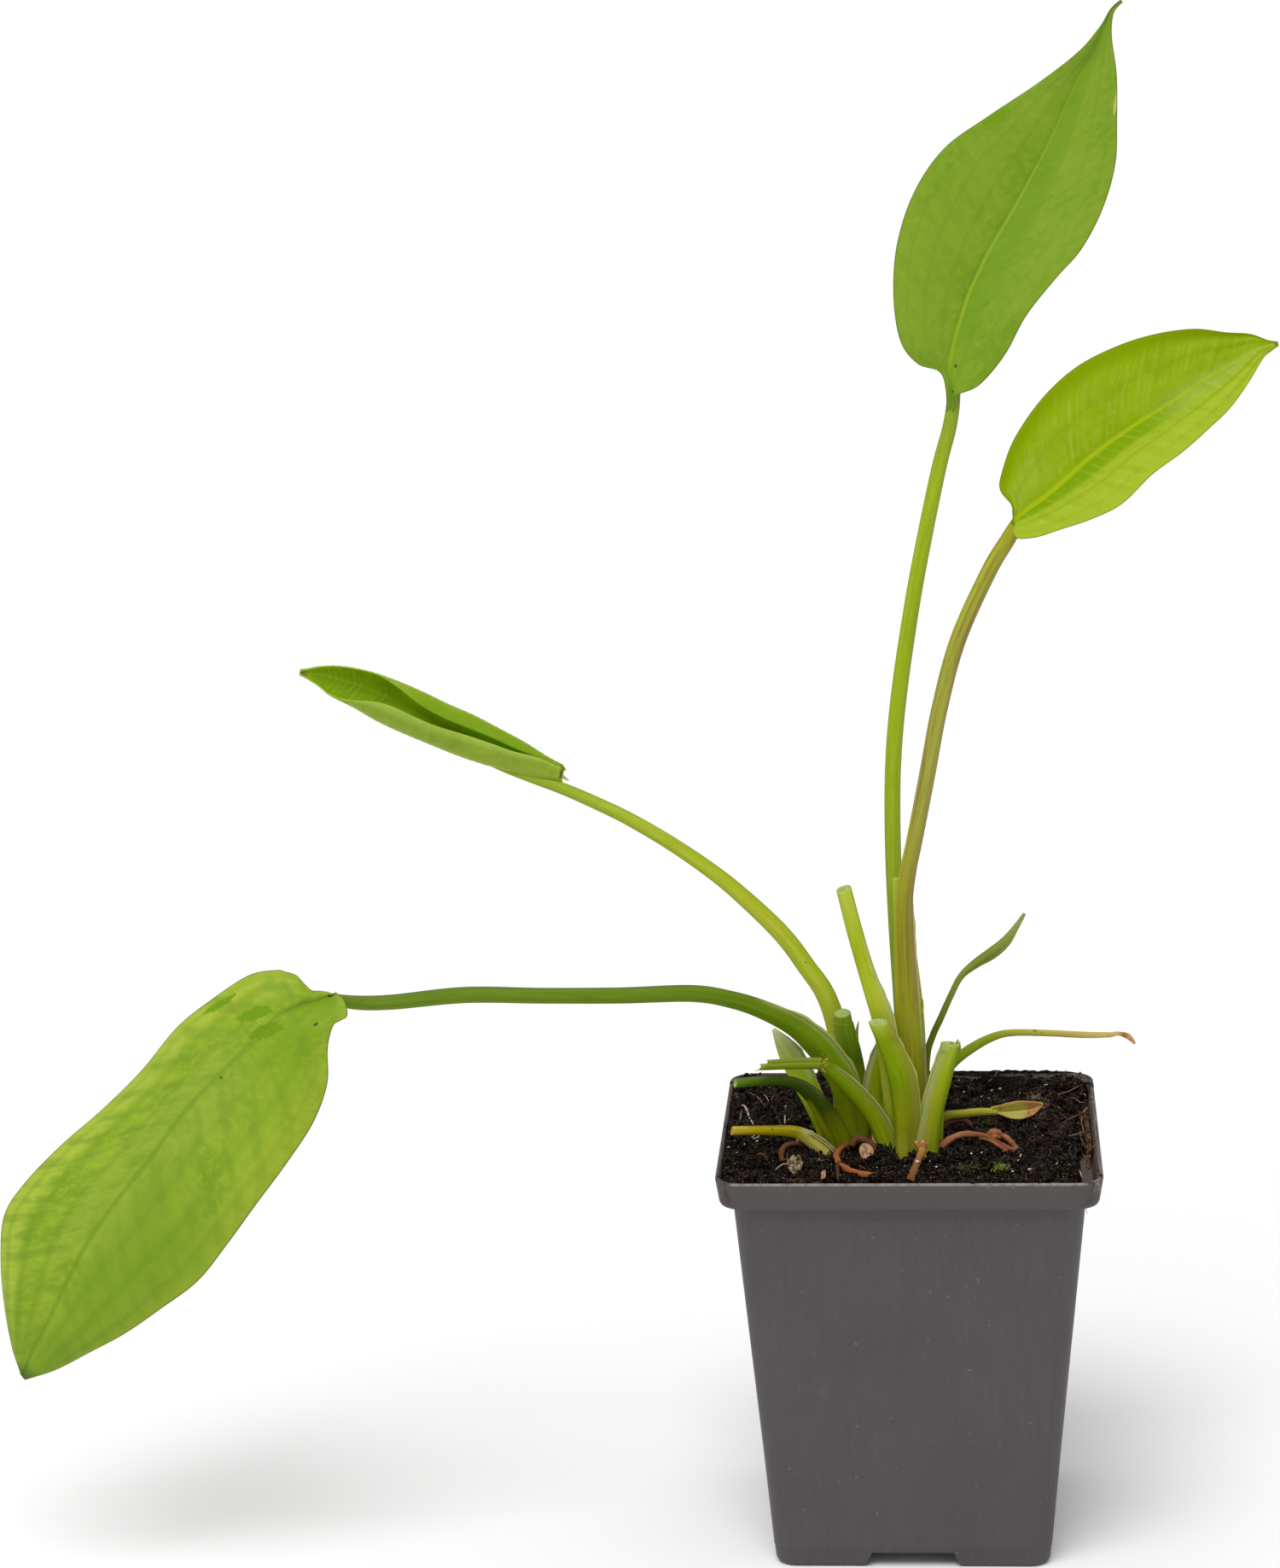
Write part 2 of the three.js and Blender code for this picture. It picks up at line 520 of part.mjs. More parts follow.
// A solid turned from a profile of half widths and heights, with every ring a rounded square
function squareTurned(profile) {
  const points = profile.map(([halfWidth, height]) => new THREE.Vector2(halfWidth, height));
  const columns = 4 * (CORNER_STEPS + 1);
  const lathe = new THREE.LatheGeometry(points, columns);
  const columnAngle = (2 * Math.PI) / columns;
  return toSolid(reshape(lathe, ({ x, y, z }) => {
    const halfWidth = Math.hypot(x, z);
    const turn = (Math.atan2(x, z) + 2 * Math.PI) % (2 * Math.PI);
    const column = Math.round(turn / columnAngle) % columns;
    const corner = Math.floor(column / (CORNER_STEPS + 1));
    const share = (column % (CORNER_STEPS + 1)) / CORNER_STEPS;
    const angle = ((corner - 1 + share) * Math.PI) / 2;
    const radius = halfWidth * CORNER_SHARE;
    const inset = halfWidth - radius;
    const signX = corner < 2 ? 1 : -1;
    const signY = corner === 1 || corner === 2 ? 1 : -1;
    const ringX = signX * inset + radius * Math.cos(angle);
    const ringY = signY * inset + radius * Math.sin(angle);
    return new THREE.Vector3(ringX, ringY, y);
  }));
}

// The four channels, with sloping sides, swollen by the given amount
function drainChannels(swell) {
  const foot = CHANNEL_FOOT_WIDTH / 2 + swell;
  const top = CHANNEL_TOP_WIDTH / 2 + swell;
  const height = CHANNEL_HEIGHT + swell;
  const start = CHANNEL_START - swell;
  const below = 1;
  const outline = new THREE.Shape([
    new THREE.Vector2(-foot - below, -below), new THREE.Vector2(foot + below, -below),
    new THREE.Vector2(foot, 0), new THREE.Vector2(top, height), new THREE.Vector2(-top, height),
    new THREE.Vector2(-foot, 0),
  ]);
  const bar = new THREE.ExtrudeGeometry(outline, { depth: RIM_WIDTH / 2 - start, bevelEnabled: false });
  bar.translate(0, 0, start);
  bar.rotateX(Math.PI / 2);
  const channels = [0, 1, 2, 3].map((quarter) => toSolid(bar.clone().rotateZ((quarter * Math.PI) / 2)));
  return channels.reduce((joined, channel) => joined.add(channel));
}

function drainHoles() {
  const holes = [0, 1, 2, 3].map((quarter) => {
    const angle = (quarter * Math.PI) / 2;
    const hole = new THREE.CylinderGeometry(DRAIN_HOLE_RADIUS, DRAIN_HOLE_RADIUS, 12, 16);
    hole.rotateX(Math.PI / 2);
    hole.translate(DRAIN_HOLE_REACH * Math.cos(angle), DRAIN_HOLE_REACH * Math.sin(angle), 4);
    return toSolid(hole);
  });
  return holes.reduce((joined, hole) => joined.add(hole));
}

// The space inside the pot, drawn in by the given clearance and open upwards
function potInside(clearance) {
  const ledge = POT_HEIGHT - LEDGE_DEPTH + clearance;
  const above = POT_HEIGHT + 5;
  const floor = WALL + clearance;
  const slope = (BODY_TOP_WIDTH - BASE_WIDTH) / 2 / (POT_HEIGHT - RIM_BAND);
  const inner = (height) => BASE_WIDTH / 2 + slope * height - WALL - clearance;
  const bandInside = RIM_WIDTH / 2 - LIP - clearance;
  return squareTurned([
    [0, floor], [inner(floor) - 1, floor], [inner(floor + 1), floor + 1], [inner(ledge), ledge],
    [bandInside - 0.4, ledge], [bandInside, ledge + 1], [bandInside, above], [0, above],
  ]).subtract(drainChannels(WALL + clearance));
}

function potSolid() {
  const rim = RIM_WIDTH / 2;
  const rimFoot = RIM_FOOT_WIDTH / 2;
  const base = BASE_WIDTH / 2;
  const band = POT_HEIGHT - RIM_BAND;
  const outside = squareTurned([
    [0, 0], [base - 1, 0], [base, 1], [BODY_TOP_WIDTH / 2, band], [rimFoot - 2 * EDGE_ROUND, band],
    [rimFoot, band + 2 * EDGE_ROUND], [rim, POT_HEIGHT - EDGE_ROUND], [rim - EDGE_ROUND, POT_HEIGHT],
    [0, POT_HEIGHT],
  ]);
  return outside.subtract(drainChannels(0)).subtract(potInside(0)).subtract(drainHoles());
}

// Height of the peat: a low mound at the shoots, lumps, a rise against the back and the sides,
// and a dip that leaves the rim's ledge bare on the right
function soilHeight(x, y) {
  const fromMound = ((x - MOUND_CENTRE[0]) / MOUND_SPREAD[0]) ** 2
    + ((y - MOUND_CENTRE[1]) / MOUND_SPREAD[1]) ** 2;
  const mound = MOUND_HEIGHT * Math.exp(-fromMound);
  const lumps = 0.7 * Math.sin(0.31 * x + 1.3) * Math.cos(0.27 * y)
    + 0.5 * Math.sin(0.73 * x + 0.41 * y + 0.5)
    + 0.4 * Math.cos(0.52 * x - 0.66 * y);
  const backRise = 1.8 * Math.max(0, (y - 20) / 23) ** 2;
  const sideRise = 1.4 * Math.max(0, (Math.abs(x) - 28) / 15) ** 2;
  const fromDip = ((x - LEDGE_DIP_CENTRE[0]) / LEDGE_DIP_SPREAD[0]) ** 2
    + ((y - LEDGE_DIP_CENTRE[1]) / LEDGE_DIP_SPREAD[1]) ** 2;
  const dip = (LEDGE_DIP_DEPTH + sideRise) * Math.exp(-fromDip);
  return SOIL_LEVEL + mound + lumps + backRise + sideRise - dip;
}

function soilSolid() {
  const half = RIM_WIDTH / 2;
  const block = new THREE.BoxGeometry(2 * half, 2 * half, 2, SOIL_CELLS, SOIL_CELLS, 1);
  reshape(block, ({ x, y, z }) => new THREE.Vector3(x, y, z > 0 ? soilHeight(x, y) : -2));
  return toSolid(block).intersect(potInside(GAP));
}

const LEAVES = {
  tall_leaf_blade: ["leafDeep", openBlade(TALL_LEAF, 0.8), 8, 16],
  right_leaf_blade: ["leafBright", openBlade(RIGHT_LEAF, 0.8), 8, 16],
  hanging_leaf_blade: ["leafMottled", openBlade(HANGING_LEAF, 1.2), 8, 18],
  rolled_leaf_blade: ["leafRolled", rolledBlade(), 12, 13],
};

// Builds every green piece, each one cut clear of the ones before it
function plantPieces() {
  const pieces = [];
  for (const [name, [kind, middle, across, rows]] of Object.entries(LEAVES)) {
    const solid = toSolid(leafGeometry(middle, across, rows));
    const swollen = toSolid(leafGeometry(middle, across, rows, GAP));
    pieces.push({ name, kind, solid, swollen });
  }
  for (const [name, stalk] of Object.entries(STALKS)) {
    const whole = toSolid(stalkGeometry(stalk));
    const solid = largestBody(pieces.reduce((left, piece) => left.subtract(piece.swollen), whole));
    const swollen = toSolid(stalkGeometry(stalk, GAP));
    pieces.push({ name, kind: stalk.colour, solid, swollen });
  }
  return pieces;
}

function buildPlantain() {
  const plantain = new THREE.Group();
  const addPiece = (name, kind, solid) => {
    const mesh = new THREE.Mesh(toGeometry(solid), surface(kind));
    mesh.name = name;
    plantain.add(mesh);
  };
  const pieces = plantPieces();
  const soil = pieces.reduce((left, piece) => left.subtract(piece.swollen), soilSolid());
  addPiece("pot", "pot", potSolid());
  addPiece("soil", "peat", largestBody(soil));
  for (const piece of pieces) {
    addPiece(piece.name, piece.kind, piece.solid);
  }
  return plantain;
}

export default buildPlantain();
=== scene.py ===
import math

import bpy
import numpy as np
from mathutils import Matrix


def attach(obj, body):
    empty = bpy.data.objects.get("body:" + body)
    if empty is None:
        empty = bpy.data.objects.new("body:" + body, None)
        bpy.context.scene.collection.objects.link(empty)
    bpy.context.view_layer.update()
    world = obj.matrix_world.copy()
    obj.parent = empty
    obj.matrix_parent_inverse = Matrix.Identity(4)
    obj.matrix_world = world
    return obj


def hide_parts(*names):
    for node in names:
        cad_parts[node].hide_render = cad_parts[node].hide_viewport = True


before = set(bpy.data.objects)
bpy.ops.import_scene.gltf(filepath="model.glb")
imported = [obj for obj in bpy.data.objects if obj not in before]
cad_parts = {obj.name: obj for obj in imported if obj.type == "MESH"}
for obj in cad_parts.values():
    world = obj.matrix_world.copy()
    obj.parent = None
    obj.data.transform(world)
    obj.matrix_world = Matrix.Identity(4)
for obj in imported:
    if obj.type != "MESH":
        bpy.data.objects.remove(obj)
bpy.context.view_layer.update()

MM = 0.001
FRONT = np.array([0.0, -1.0, 0.0])
UP = np.array([0.0, 0.0, 1.0])

# Camera: place in millimetres, angles in degrees, lens for a 36 mm sensor on the long side
CAMERA_PLACE = (11.0, -1053.6, 429.1)
CAMERA_PITCH = 13.01
CAMERA_YAW = -4.03
CAMERA_ROLL = -1.37
CAMERA_LENS = 104.7
CAMERA_SENSOR = 36
CAMERA_REACH = 50

# Light: strengths, and angles in degrees
WORLD_LIGHT = 0.6
SUN_AZIMUTH = -16
SUN_ELEVATION = 58
SUN_STRENGTH = 1.9
SUN_ANGLE = 38
# How much light an upright face gets, where 1 shows its own colour
FACING_LIGHT = 1.2
FLOOR_COLOUR = (0.94, 0.94, 0.94, 1)
FLOOR_REACH = 40.0

# The pot, in millimetres
POT_HEIGHT = 100
RIM_WIDTH = 90.4
RIM_FOOT_WIDTH = 88.6
RIM_BAND = 7
BODY_TOP_WIDTH = 82.4
BASE_WIDTH = 65.4
CORNER_SHARE = 0.14
LIP = 1.05
LEDGE_DEPTH = 5.6
LEDGE_TOP = POT_HEIGHT - LEDGE_DEPTH
LEDGE_INSIDE_WIDTH = 80
FLOOR_TOP = 5.2
CHANNEL_HEIGHT = 3.8
CHANNEL_TOP_WIDTH = 19.5
CHANNEL_FOOT_WIDTH = 23
CHANNEL_START = 14
DRAIN_HOLE_RADIUS = 4
DRAIN_HOLE_REACH = 21
SHARP_EDGE = 32
# Points along each side and round each corner
RIM_COLUMNS = (36, 13)
PEAT_COLUMNS = (110, 20)

# The peat
SOIL_LEVEL = 96.4
MOUND_HEIGHT = 1.4
MOUND_CENTRE = (-6, -7)
MOUND_SPREAD = (26, 20)
DROP_START = 39.0
DROP_DEPTH = 6
CLUMP_SINK = 1.75
PEAT_RINGS = 112
# Hollows in the peat: x, y, depth and spread
HOLLOWS = [
    (-36, -29, 2.6, 9), (-29, 30, 1.8, 7), (8, 32, 1.0, 6), (-14, -19, 2, 4), (14, -8, 1.5, 6),
    (-11, -30, 2.2, 7),
]
# A place at the foot of the low stump that stays free of lumps: x, y and reach
CLEAR_PLACE = (-16.5, -16.5)
CLEAR_REACH = 4

# How many small things are strewn, and how often a grain of dirt is tried
LUMP_COUNT = 980
CRUMB_COUNT = 4700
LEFT_CRUMB_COUNT = 160
FIBRE_COUNT = 420
WHITE_GRAIN_COUNT = 520
DIRT_TRIES = 1500
# Things that lie on the peat. A straw is its points, its width and its tone, from brown to white.
STRAWS = [
    ([(-41.9, 18.5, 98.6), (-40.6, 17.5, 98.9), (-39.2, 10.7, 98.4), (-38, 5.1, 98)], 0.46, 0.75),
    ([(-30.4, 5.4, 98), (-30.4, 7.6, 99), (-30.5, 9.6, 99.8)], 0.34, 0.7),
    ([(-29.9, 9.2, 98.5), (-29.3, 7, 98.5), (-28.6, 5, 98)], 0.25, 0.6),
    ([(-29.1, 0.8, 97.5), (-28, -2.6, 98), (-26.8, -6, 97.6)], 0.31, 0.9),
    ([(-38.4, 2.9, 98), (-38.1, -2.6, 98.4)], 0.31, 0.8),
    ([(-38, -6, 98), (-36.8, -2.9, 98.4), (-35.7, -0.2, 98.4)], 0.28, 0.9),
    ([(-37.7, -7.1, 98), (-36.6, -6.1, 98.2), (-35.8, -2.1, 98.2)], 0.28, 0.85),
    ([(-36.6, 34.1, 97.2), (-35.9, 32, 97.6), (-35.2, 29, 97.4)], 0.22, 0.6),
    ([(-40.3, 32.2, 97.8), (-38, 26.8, 98.3), (-35.9, 20.3, 98)], 0.22, 0.25),
    ([(-41.2, 13.4, 98.6), (-41.5, 10.1, 98)], 0.25, 0.35), ([(42.2, 33, 98), (43.2, 31, 98)], 0.28, 0.5),
    ([(39.2, 23.6, 98.2), (40.3, 26, 98.8), (41.6, 24.5, 98.2)], 0.2, 0.35),
    ([(41.2, 24, 98.3), (42.6, 24.4, 98.3)], 0.2, 0.35),
    ([(41.9, 18, 97.6), (43.3, 20.2, 98.2)], 0.24, 0.5),
    ([(25.9, -15.8, 98), (26.3, -17.4, 98.2), (26, -19.4, 98), (25.5, -21, 97.8)], 0.34, 0.95),
    ([(44, -14, 99.3), (43.4, -8.6, 97.2), (42.7, -3, 95.2)], 0.19, 0.7),
    ([(35, -21.5, 97.6), (34.4, -23.6, 97.6)], 0.25, 0.7),
    ([(39.9, -29, 98), (40.3, -32.2, 97.4)], 0.25, 0.7),
]
# Roots that hang over the right side, with widths and tones
ROOTS = [
    ([(35.5, 31.5, 98), (38.7, 33, 98.4), (41.2, 34.5, 99.2), (43, 37, 99.4), (43.2, 38.8, 100)], 0.21, 1.1),
    ([(37.4, 36, 98.4), (37.8, 40.8, 100.2), (38.6, 43.4, 101)], 0.2, 0.0),
    ([(41.5, -20, 94.9), (41.6, -8, 94.8), (41.2, 4, 95.2), (41, 12, 95.8)], 0.2, 0.7),
    ([(38, 12, 97.6), (39.6, 13.5, 97.9), (41, 16, 97.8)], 0.2, 0.9),
    ([(37.9, -1, 97.6), (39.8, -0.4, 97.8), (41.7, 4, 97.2), (41.4, 9, 97.6)], 0.4, 0.5),
    ([(41.4, 9, 97.6), (41.8, 12, 98.4), (42.6, 14, 97)], 0.33, 0.4),
    ([(41.2, 18, 98), (41.6, 12, 96.4), (42.2, 6, 95.4), (41.8, 0, 95)], 0.33, 0.3),
    ([(43, 22, 98), (42.4, 16, 96.5), (43, 9, 96), (42.4, 2, 95.2)], 0.3, 0.45),
    ([(40.6, 3, 97), (41.8, -2, 95.8), (42.4, -7, 95)], 0.3, 0.3),
    ([(19.1, 38.5, 99.2), (20.5, 41, 99.8), (21.8, 43.6, 100.6)], 0.26, 0.6),
    ([(34, 20, 97.8), (37, 15, 98), (39, 8, 97.6)], 0.23, 0.3),
]
# Rounded lumps: x, y, size and tone
LUMPS = [
    (-43, 27, 1.7, 0.8), (30.2, 26, 3.4, 0.6), (33.2, 26.5, 3.6, 0.7), (35.6, 22.4, 3.2, 0.5),
    (33, 17, 3, 0.4), (37.4, 6, 3.4, 0.3), (-21.6, -22.8, 1.4, 0.8), (-20.8, -25, 1.2, 0.9),
    (22.5, -24.6, 0.9, 1), (16.9, -31, 1.2, 0.9), (-34.2, 26, 1, 0.9), (-37.9, -13.5, 1, 0.8),
    (37.1, 34, 0.9, 0.7), (42.9, 9, 1, 0.9), (42.6, 5, 0.9, 0.8),
]
# A flake is its outline and its tone
FLAKES = [
    ([(-11.7, -15.6, 99.6), (-10.9, -15.2, 100.1), (-9.5, -15.2, 99.7), (-8.5, -15.8, 98.6),
      (-8.7, -16.6, 97.8), (-9.9, -17, 97.3), (-10.5, -17.6, 96.8), (-11.5, -17.2, 97.5),
      (-11.9, -16.4, 98.8)], 0.7),
    ([(-9.1, -13.6, 98.5), (-8.9, -12.8, 100.8), (-8.3, -12.2, 101.9), (-7.5, -12.6, 100.3),
      (-6.7, -13.2, 98.8), (-7.7, -13.6, 98.3)], 1.1),
    ([(-20.6, -34, 97.3), (-20.5, -31, 98), (-19.7, -30.5, 98.3), (-19.6, -33, 97.4)], 0.7),
    ([(-24, -3.6, 100.6), (-23.6, -2.6, 101.4), (-22.2, -2.4, 101.2), (-22, -3.4, 100)], 0.1),
]
# The crumpled flake at the left: its outline, and its tail
CRUMPLED = [
    (-28.9, -23.6, 97.4), (-28.7, -20, 97.8), (-27.4, -18, 98.4), (-26.3, -18.4, 98.6),
    (-25.2, -22.5, 98.2), (-25.5, -27, 97.8), (-27, -29, 97.2), (-28.1, -26, 97),
]
CRUMPLED_TAIL = [(-31.6, -25, 97), (-30, -23.4, 97.8), (-28.3, -23, 97.8)]
# White grains: x and y
WHITE_BITS = [
    (11.9, 39.3), (13.1, 36), (13.4, 34.4), (17.4, 30), (20, 39), (19.3, 30.3), (9.4, 34), (22.1, 36.8),
    (31.7, 41), (34.8, 37.1), (33.5, 35), (40.3, 39.8), (11.4, 10.3), (7.5, -32.3), (4.9, -23.4),
    (6.4, -25.2), (24.3, -29.2), (28.3, -26.7), (28.2, -34), (14.6, -14.2), (17.2, -15.6), (-43.2, -13.6),
    (-41, -17.3), (-25, -18), (-36.6, -6.7), (-39.6, -7.9), (-31, 29.2), (-27.4, 5.9), (-28, 5.3),
    (-12.5, -19.9), (-7.6, -21.6), (3.9, -26.3), (-18, -33.2), (-14.6, -33.6), (-3.8, -16.7),
]
BEAD_PLACE = (1.9, -28.6, 100.2)
# Where tufts of moss and dark needles stand
BRIGHT_MOSS = [(20.1, -25.8, 97.5), (21.4, -24.8, 97.6), (20.6, -24.4, 97.5), (22.1, -26.5, 97.4)]
FAINT_MOSS = [
    (11.9, -24.9, 97), (13.9, -25.5, 97.6), (16.5, -26, 97.8), (9.9, -29.3, 97.8), (36, -29.8, 97.3),
    (34.7, -28.2, 97.2), (18.5, 10.2, 97), (33.6, 42, 98),
]
NEEDLES = [
    (-7.9, -18, 98.4), (-6.3, -17.3, 98.8), (-4.7, -15.5, 99), (-3.7, -17.2, 98.2), (-5.4, -16, 99.2),
]
# Colours of the small things: dark, light and roughness
LITTER_LOOKS = {
    "brown": ((40, 24, 14), (120, 84, 54), 0.7),
    "root": ((76, 48, 26), (166, 124, 84), 0.7),
    "straw": ((120, 92, 60), (222, 206, 170), 0.7),
    "white": ((160, 152, 136), (236, 232, 222), 0.8),
    "lump": ((34, 26, 20), (130, 110, 92), 0.8),
    "green": ((40, 56, 8), (176, 190, 60), 0.7),
    "faint": ((30, 36, 10), (84, 96, 30), 0.7),
    "dark": ((12, 16, 8), (44, 50, 22), 0.45),
    "dull": ((70, 54, 38), (186, 158, 122), 0.8),
    "tan": ((96, 60, 36), (196, 152, 112), 0.6),
}

# Leaf blades. A row runs across the leaf: left margin, midrib, right margin, seen from the upper
# face with the tip up. Rows go from the stalk to the tip.
TALL_LEAF = [
    [(10.2, 13, 270), (11.4, 12.6, 270.5), (12, 11.6, 273)],
    [(10, 11.2, 277), (11.5, 11.2, 276.5), (12.6, 9.8, 275.5)],
    [(8.5, 11.5, 281), (11, 12, 282), (18, 9.8, 278)], [(3.5, 11, 283), (12, 13, 288), (24, 10, 285)],
    [(-0.5, 11, 288.5), (13.5, 14, 292.5), (29, 10.5, 294)],
    [(-2, 12.5, 299), (16, 16, 299.5), (36, 12, 302.5)],
    [(-1, 14.5, 311), (20.5, 18, 308.5), (42, 14, 309)],
    [(3.2, 17.5, 322.8), (25.5, 20.5, 316.5), (47, 17, 318)],
    [(10.3, 20.5, 332.4), (31, 23, 326), (50, 20, 328)],
    [(20.6, 23, 339.4), (36, 25, 335.5), (50.5, 23, 338)],
    [(32, 25.5, 346.5), (41, 27, 346.5), (50.5, 25.5, 348)],
    [(41.5, 27, 353.5), (45.5, 28, 354), (49.5, 27, 356)],
    [(46.5, 28.5, 359), (48, 29, 359.5), (49.5, 28.5, 360)],
    [(49.2, 29.5, 363.2), (49.6, 29.6, 362.9), (50.2, 29.5, 362.6)],
    [(51.5, 30, 365.2), (51.8, 30, 364.9), (52.1, 30, 364.6)],
]
RIGHT_LEAF = [
    [(25, 1, 246), (25.6, 0.8, 245.5), (26, 0, 244.5)],
    [(25.4, -1, 249), (26, -1.2, 247.5), (25.4, -3.6, 245.4)],
    [(25, -0.5, 251.5), (28, -0.8, 249.5), (26.5, -4.8, 244)],
    [(22.5, 1.5, 254.5), (30, 0, 251), (31, -6, 244.5)],
    [(23, 3, 258.5), (33, 0.5, 253), (36.5, -7.5, 246.5)],
    [(26, 5.5, 266), (38, 2, 257), (43.5, -8.5, 249)],
    [(32.5, 7.5, 275), (44, 3.5, 262), (50.5, -8.5, 252.5)],
    [(40.5, 9, 282), (50.5, 5, 266.5), (57.5, -7, 259)],
    [(50, 11, 286.5), (57, 7, 270.5), (64.5, -3.5, 263.5)],
    [(59, 12.5, 289), (64, 9, 274.5), (70.5, 0.5, 268)], [(68, 13, 290), (71, 10.5, 279), (76, 4.5, 272.5)],
    [(75.5, 13.5, 289), (77, 12, 282), (80.5, 8, 278)], [(81, 14, 288.5), (82, 13, 284.8), (84, 11.5, 283)],
    [(85, 13.8, 287), (85.2, 13.5, 285.7), (86, 13, 284.5)],
    [(87.4, 13.6, 286.3), (87.6, 13.6, 286), (87.6, 13.5, 285.6)],
]
HANGING_LEAF = [
    [(-133.6, -34.6, 143.6), (-133.5, -33.8, 142.8), (-135, -33.5, 143.5)],
    [(-131.4, -35.6, 142.6), (-135.5, -34.2, 142.2), (-137, -33.5, 143.8)],
    [(-130.3, -37, 140.6), (-137.5, -34.7, 141.5), (-139, -33.5, 144)],
    [(-130.3, -38, 138.8), (-139.2, -35.3, 141.3), (-140.7, -33.3, 145.6)],
    [(-131.6, -38.8, 138.1), (-141, -36, 141), (-142.5, -33, 147.5)],
    [(-133.2, -39.4, 137.2), (-142.5, -36.5, 140.5), (-145, -32.5, 148.2)],
    [(-134.2, -40, 134.6), (-144, -37, 140), (-147.5, -32, 148.5)],
    [(-134.8, -40.5, 131), (-147, -38, 138.5), (-154, -31, 147)],
    [(-135, -42, 123.5), (-151.5, -39.5, 134), (-162.5, -30.5, 141.5)],
    [(-138.5, -43.5, 114.5), (-157, -41, 129), (-171.5, -31, 134.5)],
    [(-145, -45, 105), (-163, -42.5, 123.5), (-180.5, -32, 124)],
    [(-152, -46.5, 96), (-170, -44, 116), (-190, -33.5, 115)],
    [(-159.5, -47, 86), (-177, -45, 106.5), (-200, -34, 106.5)],
    [(-166.5, -48, 77.5), (-184.5, -46, 97.5), (-209, -35, 97.5)],
    [(-175.5, -47.5, 70.5), (-191.5, -46, 88), (-214, -37, 90)],
    [(-184.5, -46.5, 64), (-197.5, -45.5, 77.5), (-215, -39, 80)],
    [(-194, -45, 58.5), (-203, -44.5, 66.5), (-214.5, -40.5, 69.5)],
    [(-202.5, -43, 53.5), (-208, -43, 57.5), (-213, -41.5, 59)],
    [(-210, -42, 50.8), (-210.6, -42, 51.4), (-211, -42, 52.2)],
]
# The blade of the small yellow leaf, folded along its midrib
YELLOW_LEAF = [
    [(19.9, 5.5, 102.9), (19.9, 5.7, 102.1), (19.9, 5.4, 101.4)],
    [(21.8, 7, 103), (21.8, 7.6, 101.2), (21.7, 6.7, 100.6)],
    [(23.8, 8.5, 103.1), (24.3, 9.4, 100.8), (23.8, 8, 99.3)],
    [(26.3, 10, 103.1), (26.8, 11, 100.6), (26.3, 9.5, 98.5)],
    [(28.8, 11.4, 102.6), (29.1, 12.3, 100.5), (28.4, 11, 98.5)],
    [(30.7, 12.4, 102.1), (30.7, 12.9, 100.8), (30.3, 12.2, 99.1)],
    [(32.4, 13, 101.4), (32.4, 13, 101.3), (32.4, 13, 101.2)],
]
# The rolled leaf: the middle of its roll, the roll's half height, and the angles round it of the
# near margin, the midrib and the far margin, in degrees from the side that faces forward
ROLLED_LEAF = [
    (-83.3, 20, 183.2, 1.9, 62, -125, -296), (-88.5, 20.5, 184.8, 2.9, 50, -135, -305),
    (-94.5, 21.5, 187.2, 3.9, 25, -145, -322), (-101, 22, 189.8, 4.7, 19, -155, -320),
    (-107, 23, 192.2, 5.2, 12, -165, -324), (-113.5, 24, 194.8, 5.3, 5, -172, -326),
    (-119.5, 24.5, 197.5, 5.5, 3, -178, -320), (-126, 25, 200.4, 5.4, 1, -180, -294),
    (-132, 26, 203, 4.8, -25, -180, -266), (-138.5, 26.5, 205.2, 3.8, -54, -180, -262),
    (-143, 27, 206.5, 2.3, -77, -180, -262), (-147.5, 27, 207.4, 0.4, -80, -180, -262),
]
ROLL_FLATNESS = 0.8
BLADE_THICKNESS = 0.42
RIB_RISE = 0.7
RIB_SPREAD = 0.8
# The width of a half at which it stands fully forward
FULL_LIFT_SPAN = 12

